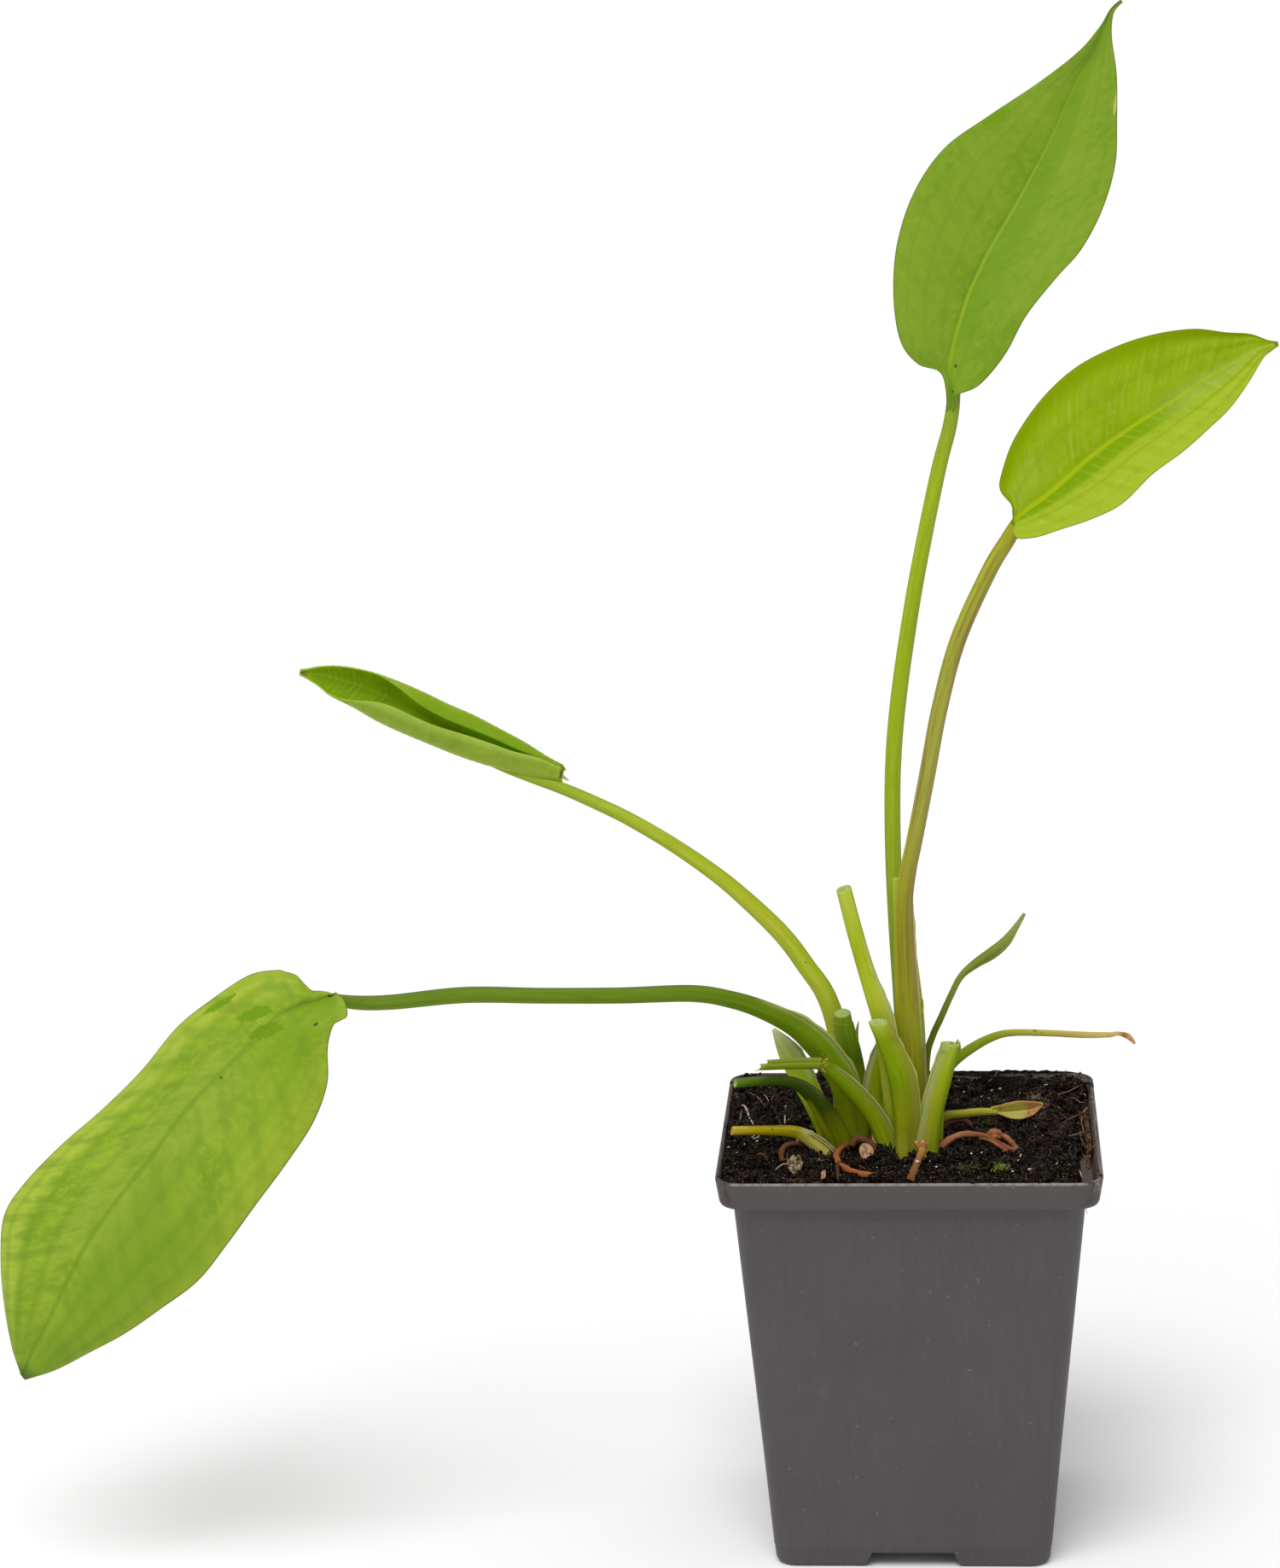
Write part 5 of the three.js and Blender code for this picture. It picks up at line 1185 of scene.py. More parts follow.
def leaf_paint(name, look):
    """Leaf green with long veins, slanting cross veins, a midrib, wet patches and a thin edge"""
    paint = LeafPaint(name, look)
    uneven = paint.ease(paint.mottle, 0.2, 0.6, 0.7, 1.0)
    colour = paint.banded(paint.green(), look["bands"], 0.45, uneven)
    colour, ridges = paint.runged(colour)
    colour, veins = paint.veined(colour)
    colour = paint.spotted(paint.ribbed(colour))
    colour = paint.tinted(colour, look["tip"][0], paint.along, 0.955, 1.0, look["tip"][1])
    colour = paint.tinted(colour, look["edge"][0], paint.inside, 0.1, 0.42, 0.0, look["edge"][1])
    colour = paint.tinted(colour, paint.underside(), paint.face, 0.2, -0.2, look["under"][1])
    height = paint.plus(paint.times(ridges, 0.35), paint.times(veins, 0.5), paint.times(paint.fine, 0.35))
    paint.bump(height, 0.1, 0.5)
    roughness = paint.calc("MAXIMUM", paint.ease(paint.mottle, 0.3, 0.7, 0.5, 0.62),
                           paint.ease(paint.inside, 0.4, 0.15))
    return paint.surface(colour, roughness, look.get("gloss", 0.12), look.get("scatter", 0.1))


def build_blades():
    even = [0, 0.5, 0.7, 0.6, 0]
    bent = [0, 1.2, 1.8, 1.4, 0]
    right_lifts = ([0, -0.6, -1.4, -1.6, 0], [0, 0.3, 0.8, 0.9, 0])
    blades = (
        ("tall", "leaf_deep", blade_shape(open_blade(TALL_LEAF, (even, even)), 113, 171, tall_relief)),
        ("right", "leaf_bright", blade_shape(open_blade(RIGHT_LEAF, right_lifts), 113, 151, right_relief)),
        ("hanging", "leaf_mottled",
         blade_shape(open_blade(HANGING_LEAF, (bent, bent)), 113, 191, hanging_relief)),
        ("rolled", "leaf_rolled", blade_shape(rolled_blade, 121, 151, rolled_relief, torn_foot)),
    )
    for name, material, shape in blades:
        add_piece(name + "_leaf", shape, leaf_paint(material, LEAF_LOOKS[name]), name + "_leaf_blade")


# Stalks

def stalk_places(name, places):
    """The directions of a stalk at each place, and its widths and depths there"""
    rows = np.array(STALKS[name], float)
    return directions(rows[:, :3], places), through(rows[:, 3:], places).T[:, :, None]


def skinned(rings, across, forward, travel, along, pith=0.0):
    """A stalk's shape with what its paint reads. Skin holds the millimetres across, forward and
    along. Turn holds the angle round it. Marks hold the place along, how dry it is, and its pith."""
    angle = full_turn(rings.shape[1])
    return loft(rings, skin=stacked(across, forward, travel),
                turn=stacked(np.cos(angle)[None, :], np.sin(angle)[None, :], travel),
                marks=stacked(along, 0.0 * across, pith))


def cut_across(rings, centre, ahead, facing, hollow):
    """Slants the last rings so that the end faces the given way, and gives the rings over it"""
    last = centre[-1]
    near_end = np.clip(1 - np.linalg.norm(centre - last, axis=1) / 3.5, 0, 1) ** 1.5
    for row in np.nonzero(near_end)[0]:
        drop = (last - rings[row]) @ facing - (last - centre[row]) @ facing
        slide = np.clip(drop / max(ahead[row] @ facing, 0.35), -3, 3)
        rings[row] += ahead[row] * (slide * near_end[row])[:, None]
    rim = rings[-1]
    middle = rim.mean(0)
    turn = full_turn(len(rim))
    rough = 0.12 * np.sin(5 * turn + 1) + 0.08 * np.sin(11 * turn)
    inner = []
    for share, sink, hollowed, _ in CUT_RINGS:
        ring = middle + (rim - middle) * share - ahead[-1] * (sink + hollow * hollowed)
        inner.append(ring + ahead[-1] * (rough * (1 - share) * 2)[:, None])
    return inner


def held(values):
    """Values along a stalk, with the last one kept for the rings over its cut end"""
    return np.concatenate([values, np.repeat(values[-1:], len(CUT_RINGS), axis=0)])


def stalk_shape(name, sides=40, steps=110, end=1.0, cut=None, wings=(), grow=0.0, hollow=0.0):
    """A stalk along its route. A wing is a sheath's thin edge: its side, strength, start and end.
    Cut is the way its cut end faces; the end then shows its pith."""
    places = np.linspace(0.0, end, steps)
    (centre, ahead, side, face), sizes = stalk_places(name, places)
    half_width, half_depth = sizes / 2 + grow
    angle = full_turn(sides)
    wave = 1 + 0.008 * np.sin(17 * angle) + 0.02 * np.sin(2 * angle + 0.7)
    across = (np.cos(angle) * wave)[None, :] * half_width
    forward = (np.sin(angle) * wave)[None, :]
    for (sign, strength, start, stop) in wings:
        along = smoothstep(start, start + 0.08, places) * smoothstep(stop, stop - 0.08, places)
        thin = smoothstep(-0.1, 0.75, sign * np.cos(angle))
        forward = forward * (1 - strength * along[:, None] * thin[None, :])
    forward = forward * half_depth
    rings = ringed(centre, side, face, across, forward)
    pith = np.zeros(steps)
    if cut is not None:
        inner = cut_across(rings, centre, ahead, unit(np.array(cut, float)), hollow)
        rings = np.concatenate([rings, inner])
        across, forward, centre, places = (held(given) for given in (across, forward, centre, places))
        pith = np.append(pith, [ring[3] for ring in CUT_RINGS])
    return skinned(rings, across, forward, travelled(centre)[:, None], places[:, None], pith[:, None])


def skin_strip(name, angle, start, end, reach, lean=0.0, wave=0.12, torn=0.0):
    """A thin dry skin along one edge of a sheath, standing out from it by the given reach. Torn
    is how ragged its far end is."""
    places = np.linspace(start, end, STRIP_STEPS)
    (centre, ahead, side, face), (widths, depths) = stalk_places(name, places)
    turn = math.radians(angle)
    inner = centre + side * math.cos(turn) * widths * 0.44 + face * math.sin(turn) * depths * 0.44
    out = side * math.cos(turn + lean) + face * math.sin(turn + lean)
    over = unit(np.cross(ahead, out))
    share = np.linspace(0, 1, STRIP_STEPS)
    body = smoothstep(0, 0.25, share) * smoothstep(1.0, 0.8 - 0.3 * torn, share)
    ragged = 1 + wave * np.sin(share * 23 + angle) + wave * 0.6 * np.sin(share * 51)
    ragged = ragged + torn * smoothstep(0.7, 1.0, share) * np.sin(share * 140)
    upper, lower = [], []
    for part, thick in ((0.0, 0.12), (0.5, 0.07), (1.0, 0.03)):
        edge = inner + out * (reach * body * ragged * part + 0.01 * part)[:, None]
        upper.append(edge + over * thick)
        lower.append(edge - over * thick)
    rings = np.stack(upper + lower[::-1], axis=1)
    skin = stacked(np.array([0, 0.5, 1.0, 1.0, 0.5, 0]) * reach, 0.0, (share * 12)[:, None])
    marks = stacked(places[:, None], [0.35, 0.85, 1.0, 1.0, 0.85, 0.35], 0.0)
    return loft(rings, skin=skin, turn=[math.cos(turn), math.sin(turn), 0], marks=marks)


def spike(points, width, thick, place=1.0):
    """A thin pointed shred through the given points, coloured as its stalk is at a place"""
    places = np.linspace(0, 1, SPIKE_STEPS)
    centre, _, side, face = directions(points, places)
    angle = full_turn(8)
    size = np.sqrt(np.clip(1 - places, 0.01, 1))[:, None]
    across = np.cos(angle)[None, :] * size * width / 2
    forward = np.sin(angle)[None, :] * size * thick / 2
    rings = ringed(centre, side, face, across, forward)
    return skinned(rings, across, forward, np.linspace(0, 4, SPIKE_STEPS)[:, None], place)


def stalk_paint(name, look):
    """Colours along a stalk from its foot to its end, with fine lengthwise lines and painted shade along its
    sides
    """
    paint = Paint(name)
    skin = paint.attribute("skin")
    cosine = paint.values("turn")[0]
    along, dry, pith = paint.values("marks")
    lines = paint.noise(paint.stretched(skin, (1.0, 1.0, 0.03)), 1.6, 4, 0.7)
    broad = paint.noise(paint.stretched(skin, (1.0, 1.0, 0.12)), 0.5, 2, 0.5)
    blotch = paint.noise(paint.stretched(skin, (1.0, 1.0, 0.5)), 0.7, 3, 0.6)
    grain = paint.noise(paint.place(), 3.0, 2, 0.6)
    streak = look["streak"]
    colour = paint.tinted(paint.ramp(along, look["stops"]), streak, lines, 0.46, 0.68, look.get("lines", 0.4))
    colour = paint.tinted(colour, look["light"], lines, 0.46, 0.3, 0.35)
    colour = paint.tinted(colour, streak, broad, 0.5, 0.75, 0.3)
    colour = paint.tinted(colour, streak, blotch, 0.55, 0.75, 0.25)
    # Painted shade: a stalk's two sides, as seen from the front, and a ribbon's edges are darkened.
    colour = paint.tinted(colour, streak, paint.size(cosine), 0.82, 1.0, look.get("side_shade", 0.25))
    for (tint, low, high, start, end, most) in look.get("tints", []):
        share = paint.times(paint.ease(cosine, low, high), paint.ease(along, start - 0.04, start + 0.04),
                            paint.ease(along, end, end + 0.05, 1.0, 0.0),
                            paint.ease(lines, 0.25, 0.6, 0.55, 1.0), most)
        colour = paint.mix(share, colour, tint)
    if "flecks" in look:
        fleck, size, least = look["flecks"]
        flecks = paint.noise(paint.place(), size, 2, 0.5)
        colour = paint.tinted(colour, fleck, flecks, least, least + 0.04, 0.85)
    dried = paint.tinted((200, 206, 130), (150, 154, 70), lines, 0.35, 0.65)
    colour = paint.tinted(colour, dried, dry, 0.35, 1.0, 0.75)
    flesh = paint.tinted(look.get("pith", (206, 218, 160)), look.get("flesh", (160, 184, 96)),
                         paint.cells(paint.place(), 2.4), 0.12, 0.55)
    colour = paint.tinted(colour, flesh, pith, 0.1, 0.9)
    paint.bump(paint.plus(lines, paint.times(grain, 0.25), paint.times(broad, 0.8)), 0.14, 0.6)
    rough = look.get("rough", 0.42)
    roughness = paint.ease(broad, 0.3, 0.7, rough, rough + 0.12)
    return paint.surface(colour, roughness, 0.07, look.get("scatter", 0.12))


def add_stalk(name, node, paint, slot, *shreds, **options):
    """A stalk with its thin skins and shreds as one piece, in place of its plain solid"""
    add_piece(name, joined([stalk_shape(node, **options), *shreds]), paint, node)


def build_leaf_stalks(paints):
    slot = "leaf_stalk"
    add_stalk("tall_stalk", "tall_leaf_stalk", paints["green"], slot, steps=130)
    add_stalk("right_stalk", "right_leaf_stalk", paints["purple"], slot,
              skin_strip("right_leaf_stalk", 12, 0.12, 0.42, 0.7, torn=0.5),
              steps=130, wings=[(1, 0.5, 0.0, 0.35)])
    add_stalk("hanging_stalk", "hanging_leaf_stalk", paints["dark"], slot,
              skin_strip("hanging_leaf_stalk", 8, 0.1, 0.42, 0.9),
              steps=160, wings=[(1, 0.7, 0.02, 0.5), (-1, 0.4, 0.0, 0.3)])
    add_stalk("rolled_stalk", "rolled_leaf_stalk", paints["lime"], slot, steps=150)


def torn_layer(points, width, thick):
    """One layer of the bent stump past its kink, with a ragged end"""
    places = np.linspace(0, 1, LAYER_STEPS)
    centre, ahead, side, face = directions(points, places)
    angle = full_turn(20)
    size = (1 - 0.12 * places)[:, None]
    ragged = 0.7 * np.sin(angle * 3 + width) + 0.4 * np.sin(angle * 7)
    across = np.cos(angle)[None, :] * size * width / 2
    forward = np.sin(angle)[None, :] * size * thick / 2
    rings = ringed(centre, side, face, across, forward)
    rings += ahead[:, None, :] * (np.clip(places - 0.9, 0, 1)[:, None] * 10 * ragged[None, :])[:, :, None]
    pith = np.zeros((LAYER_STEPS, 1))
    pith[-1] = 0.5
    return skinned(rings, across, forward, (places * 14)[:, None], 0.75, pith)


def kinked_end():
    """The outer part of the bent stump past its kink: two torn layers with ragged ends"""
    shapes = [torn_layer(UPPER_LAYER, 1.7, 1.5), torn_layer(LOWER_LAYER, 1.8, 1.5)]
    for (rise, run, width) in ((0.2, 2.4, 0.5), (-0.4, 3.6, 0.35), (0.0, 2.2, 0.5)):
        foot = np.array([-33.0, -17.4, 119.9 + rise])
        tip = foot + [-run, -0.6, -0.25]
        shapes.append(spike([foot, (foot + tip) / 2 + [0, 0, 0.08], tip], width, 0.3, 0.75))
    return shapes


def kink_fibres():
    """The torn tan fibres at the bent stump's kink"""
    chance = np.random.default_rng(5)
    shapes = []
    for _ in range(26):
        start = np.array([-20.4, -14.4, 119.6]) + chance.normal(0, 1, 3) * [0.35, 0.6, 1.0]
        way = unit(chance.normal(0, 1, 3) + [0.2, -1.0, 0.6])
        tip = start + way * chance.uniform(0.6, 1.3)
        shapes.append(spike([start, (start + tip) / 2 + chance.normal(0, 0.1, 3), tip], 0.28, 0.22, 1.0))
    return shapes


def build_cut_stalks(paints):
    slot = "cut_stalk"
    add_stalk("front_stump", "front_cut_stalk", paints["front"], slot,
              skin_strip("front_cut_stalk", 8, 0.2, 0.98, 0.55, wave=0.2),
              cut=(-0.1, -0.3, 1.0), wings=[(1, 0.55, 0.1, 0.9)])
    add_stalk("right_stump", "right_cut_stalk", paints["right"], slot,
              skin_strip("right_cut_stalk", 170, 0.25, 1.0, 0.5, wave=0.1),
              spike([(8.2, -11.2, 121.6), (8.0, -11.4, 123.2), (7.8, -11.5, 124.4)], 1.5, 0.4, 0.95),
              spike([(10.5, -10, 122.2), (10.2, -10, 123.4), (9.9, -10, 124.1)], 1.3, 0.35, 1.0),
              spike([(11.3, -10, 122), (11.5, -10, 123.6), (11.7, -10.2, 124.7)], 1.0, 0.4, 0.6),
              spike([(12, -10.8, 121.4), (12.1, -10.6, 123), (12.1, -10.4, 124.3)], 0.8, 0.45, 0.6),
              cut=(0.16, -0.12, 1.0), hollow=0.5, wings=[(-1, 0.6, 0.15, 0.95)])
    add_stalk("bent_stump", "bent_cut_stalk", paints["bent"], slot,
              skin_strip("bent_cut_stalk", 10, 0.15, 0.9, 0.5), *kinked_end(),
              wings=[(1, 0.6, 0.15, 0.95)])
    add_piece("kink_fibres", joined(kink_fibres()), paints["tan"])
    add_stalk("hollow_stump", "hollow_cut_stalk", paints["hollow"], slot,
              cut=(-1.0, -0.5, 0.25), hollow=1.2, wings=[(1, 0.4, 0.1, 0.7)])
    add_stalk("dark_stump", "dark_cut_stalk", paints["stub"], slot,
              stalk_shape("dark_cut_stalk", end=0.9, cut=(0.05, -0.1, 1.0), grow=0.14),
              spike([(-12.6, -1.2, 112), (-12.4, -1.5, 118.5), (-12.5, -1.6, 123.4), (-12.0, -1.6, 126.8)],
                    1.4, 0.8, 0.9),
              cut=(-0.1, -0.45, 1.0), grow=-0.12)
    add_stalk("short_stump", "short_inner_stalk", paints["bent"], slot, steps=30)
    add_stalk("low_stump", "low_cut_stalk", paints["yellow"], slot,
              skin_strip("low_cut_stalk", 15, 0.12, 0.58, 0.6, lean=0.3, wave=0.2),
              skin_strip("low_cut_stalk", 40, 0.15, 0.55, 0.5, lean=0.5, wave=0.2),
              cut=(-1.0, -0.3, 0.2), wings=[(1, 0.6, 0.0, 0.5)])
    add_stalk("pale_stump", "pale_edged_stalk", paints["pale"], slot,
              skin_strip("pale_edged_stalk", 5, 0.3, 0.95, 0.5, wave=0.2),
              wings=[(1, 0.6, 0.2, 1.0), (-1, 0.4, 0.2, 1.0)])
    add_stalk("long_stump", "long_cut_stalk", paints["long"], slot,
              skin_strip("long_cut_stalk", 8, 0.1, 0.72, 0.6, torn=0.4),
              cut=(-0.3, -0.3, 1.0), wings=[(1, 0.6, 0.05, 0.7)])
    add_stalk("inner_sheath", "pale_sheath", paints["sheath"], slot,
              skin_strip("pale_sheath", 172, 0.15, 1.0, 0.45), wings=[(-1, 0.7, 0.1, 1.0)])
    add_stalk("back_sheath", "back_cut_stalk", paints["long"], slot,
              spike([(2.9, -2.6, 128.5), (3.3, -2.6, 130.2), (3.4, -2.6, 132.4)], 1.0, 0.5, 0.9),
              wings=[(1, 0.6, 0.2, 1.0), (-1, 0.6, 0.2, 1.0)])


def build_small_leaves(paints):
    add_stalk("upright_leaf", "upright_small_leaf", paints["upright"], "leaf", sides=24, steps=90,
              wings=[(1, 0.6, 0.5, 1.0), (-1, 0.6, 0.5, 1.0)])
    add_stalk("withered_leaf", "withered_small_leaf", paints["withered"], "withered_leaf",
              sides=24, steps=120)
    level = [0, 0, 0]
    add_piece("yellow_leaf", blade_shape(open_blade(YELLOW_LEAF, (level, level)), 33, 61),
              leaf_paint("leaf_folded", LEAF_LOOKS["yellow"]))
    shred = spike([(-84.6, 20.3, 183.2), (-83.1, 20.2, 182.2), (-81.8, 20, 181.3)], 1.1, 0.5, 0.8)
    add_piece("torn_shred", shred, paints["withered"])
    add_stalk("yellow_leaf_stalk", "yellow_small_leaf", paints["fading"], "withered_leaf",
              sides=24, steps=80, end=0.72)


def ribbon(rows, thick, curl, twist, steps=60):
    """A dead stalk's dry ribbon through the given rows, hollow on one side. Twist is its turn at
    its start and at its end, in degrees."""
    rows = np.array(rows, float)
    places = np.linspace(0, 1, steps)
    centre, ahead, side, face = directions(rows[:, :3], places)
    half = through(rows[:, 3], places) / 2
    lane = np.linspace(-1, 1, 11)
    turn = np.radians(twist[0] + (twist[1] - twist[0]) * places)[:, None, None]
    flat = side[:, None, :] * np.cos(turn) + face[:, None, :] * np.sin(turn)
    over = -side[:, None, :] * np.sin(turn) + face[:, None, :] * np.cos(turn)
    lift = (curl * (1 - lane ** 2))[None, :] * half
    ragged = 1 + 0.08 * np.sin(places * 31)[:, None] + 0.05 * np.sin(places * 67)[:, None]
    sheet = centre[:, None, :] + flat * (lane[None, :] * half * ragged)[:, :, None] + over * lift[:, :, None]
    frayed = 0.5 * np.sin(lane * 6) + 0.3 * np.sin(lane * 17)
    sheet += ahead[:, None, :] * (np.clip(places - 0.93, 0, 1)[:, None] * 14 * frayed[None, :])[:, :, None]
    edge = np.sqrt(np.clip(1 - np.abs(lane) ** 6, 0.05, 1))[None, :, None]
    top, bottom = sheet + over * thick / 2 * edge, sheet - over * thick / 2 * edge
    travel = np.linalg.norm(np.diff(centre, axis=0), axis=1).sum() * places
    skin = stacked(lane[None, :] * half, 0.0, travel[:, None])
    return loft(np.concatenate([top, bottom[:, ::-1]], axis=1),
                skin=np.concatenate([skin, skin[:, ::-1] + [0, 1, 0]], axis=1),
                turn=stacked(np.concatenate([lane, lane[::-1]])[None, :], 0.0, 0.0),
                marks=stacked(places[:, None], 0.0, 0.0))


def shifted(rows, shift, widths):
    """The rows of a second ribbon that lies beside the first, with its own widths"""
    return [(x + shift[0], y + shift[1], z + shift[2], width) for (x, y, z, _), width in zip(rows, widths)]


def build_dead_stalks(paints):
    add_piece("arched_brown", joined([
        ribbon(ARCH, 0.5, 0.5, (10, 60)),
        ribbon(shifted(ARCH[5:], (0.5, -0.5, -0.75), [0.5, 0.9, 1.1, 1.2, 1.2]), 0.4, 0.4, (40, 10)),
        ribbon(ARCH_TAIL, 0.4, 0.5, (20, 40)),
        ribbon(ARCH_KNOT, 0.4, 0.6, (20, 50), 30),
        ribbon(ARCH_SCRAP, 0.4, 0.6, (60, 20), 30),
        spike([(23.2, -11.4, 97.9), (22.5, -12, 97.4), (22, -12.4, 97.3)], 0.6, 0.3, 1.0),
    ]), paints["brown"], "brown_arched_stalk")
    add_piece("back_brown", ribbon(BACK_ARCH, 0.4, 0.7, (10, 40)), paints["umber"], "back_brown_stalk")
    last = np.array(LOOP[-1][:3])
    add_piece("looped_brown", joined([
        ribbon(LOOP, 0.4, 0.45, (-10, 50)),
        ribbon(shifted(LOOP[:5], (0.5, 0.4, 0.5), [0.8, 0.9, 0.9, 0.8, 0.5]), 0.35, 0.3, (40, 70)),
        spike([last, last + [0.9, 0, 0.1], last + [1.8, 0, 0]], 0.5, 0.3, 1.0),
    ]), paints["orange"], "brown_looped_stalk")
    arcs = [ribbon(OVER_FLAKE, 0.35, 0.7, (10, 50)), ribbon(LOW_STRIP, 0.35, 0.3, (60, 80))]
    add_piece("dark_brown_arcs", joined(arcs), paints["umber"])
    add_piece("curled_brown", ribbon(CURL, 0.35, 0.8, (-20, 40)), paints["umber"], "brown_curl")
    add_piece("tan_stub", joined([
        ribbon(STUB, 0.4, 0.15, (0, 10)),
        ribbon(STUB_HEAD, 0.35, 0.1, (0, 0), 24),
        spike([(2, -23, 102.7), (1.5, -22.8, 103.1), (1.2, -22.8, 103.4)], 0.6, 0.3, 1.0),
    ]), paints["tan"], "tan_dead_stub")


# The pot

def square_ring(half_width, height, columns, corner_points):
    """A rounded square, anticlockwise from the back end of its right side"""
    radius = half_width * CORNER_SHARE
    inset = half_width - radius
    points = []
    for corner in range(4):
        start = corner * math.pi / 2
        middle = start + math.pi / 4
        centre = np.array([math.cos(middle), math.sin(middle)]) * inset * math.sqrt(2)
        for step in range(corner_points):
            angle = start + math.pi / 2 * step / (corner_points - 1)
            points.append(centre + radius * np.array([math.cos(angle), math.sin(angle)]))
        last = points[-1]
        ahead_corner = middle + math.pi / 2
        next_centre = np.array([math.cos(ahead_corner), math.sin(ahead_corner)]) * inset * math.sqrt(2)
        next_start = start + math.pi / 2
        first = next_centre + radius * np.array([math.cos(next_start), math.sin(next_start)])
        for step in range(1, columns):
            points.append(last + (first - last) * step / columns)
    ring = np.array(points)
    return np.column_stack([ring, np.full(len(ring), float(height))])


def pot_profile():
    """Half widths and heights from the middle of the underside, up the outside, over the lip,
    and down the inside to the middle of the floor"""
    rim = RIM_WIDTH / 2
    rim_foot = RIM_FOOT_WIDTH / 2
    base = BASE_WIDTH / 2
    band = POT_HEIGHT - RIM_BAND
    slope = (BODY_TOP_WIDTH / 2 - base) / band

    def wall(height):
        return base + slope * height
    ledge_inside = LEDGE_INSIDE_WIDTH / 2
    outside = [
        (0.5, 0), (base - 1.6, 0), (base - 1.1, 0.06), (base - 0.4, 0.4), (base - 0.06, 1.0),
        (wall(1.6), 1.6), (wall(4.5), 4.5), (wall(4.7) + 0.12, 4.7), (wall(5.2) + 0.12, 5.2),
        (wall(30), 30), (wall(60), 60), (wall(band - 0.8), band - 0.8), (wall(band) + 0.35, band),
        (rim_foot - 1.1, band + 0.02), (rim_foot - 0.35, band + 0.3), (rim_foot, band + 1.0),
        (rim - 0.12, POT_HEIGHT - 0.9), (rim - 0.05, POT_HEIGHT - 0.45), (rim - 0.25, POT_HEIGHT - 0.12),
        (rim - 0.6, POT_HEIGHT),
    ]
    inside = [
        (rim - LIP + 0.45, POT_HEIGHT - 0.02), (rim - LIP + 0.1, POT_HEIGHT - 0.25),
        (rim - LIP, POT_HEIGHT - 0.8), (rim - LIP - 0.6, LEDGE_TOP + 1), (rim - LIP - 1.1, LEDGE_TOP + 0.2),
        (rim - LIP - 1.8, LEDGE_TOP), (ledge_inside + 0.5, LEDGE_TOP), (ledge_inside, LEDGE_TOP - 0.6),
        (wall(FLOOR_TOP) - 1.2, FLOOR_TOP), (0.5, FLOOR_TOP),
    ]
    return outside + inside


def channel_cutter():
    """One drainage channel as a solid to cut away"""
    half_foot = CHANNEL_FOOT_WIDTH / 2
    half_top = CHANNEL_TOP_WIDTH / 2
    outline = [(-half_foot - 0.7, -1), (half_foot + 0.7, -1), (half_foot, 0), (half_top, CHANNEL_HEIGHT),
               (-half_top, CHANNEL_HEIGHT), (-half_foot, 0)]
    return loft(np.array([[(x, -y, z) for x, z in outline] for y in (CHANNEL_START, RIM_WIDTH / 2 + 5)]))


def drain_hole():
    angles = full_turn(32)
    ring = np.column_stack([np.cos(angles) * DRAIN_HOLE_RADIUS,
                            np.sin(angles) * DRAIN_HOLE_RADIUS - DRAIN_HOLE_REACH, np.zeros(32)])
    return loft(np.array([ring - UP * 2, ring + UP * (FLOOR_TOP + 2)]))


def turned(shape, angle):
    """A shape turned about the upright axis through the origin"""
    cosine, sine = math.cos(angle), math.sin(angle)
    turn = np.array([[cosine, -sine, 0], [sine, cosine, 0], [0, 0, 1]])
    return {**shape, "points": shape["points"] @ turn.T}


def cut_away(piece, shapes):
    """Cuts closed shapes out of a piece and keeps the result as its mesh"""
    cutter = linked("cutter", mesh_of("cutter", joined(shapes)))
    modifier = piece.modifiers.new("channels", "BOOLEAN")
    modifier.object = cutter
    modifier.operation = "DIFFERENCE"
    modifier.solver = "EXACT"
    bpy.context.view_layer.update()
    evaluated = piece.evaluated_get(bpy.context.evaluated_depsgraph_get())
    result = bpy.data.meshes.new_from_object(evaluated)
    piece.modifiers.clear()
    piece.data = result
    bpy.data.objects.remove(cutter)


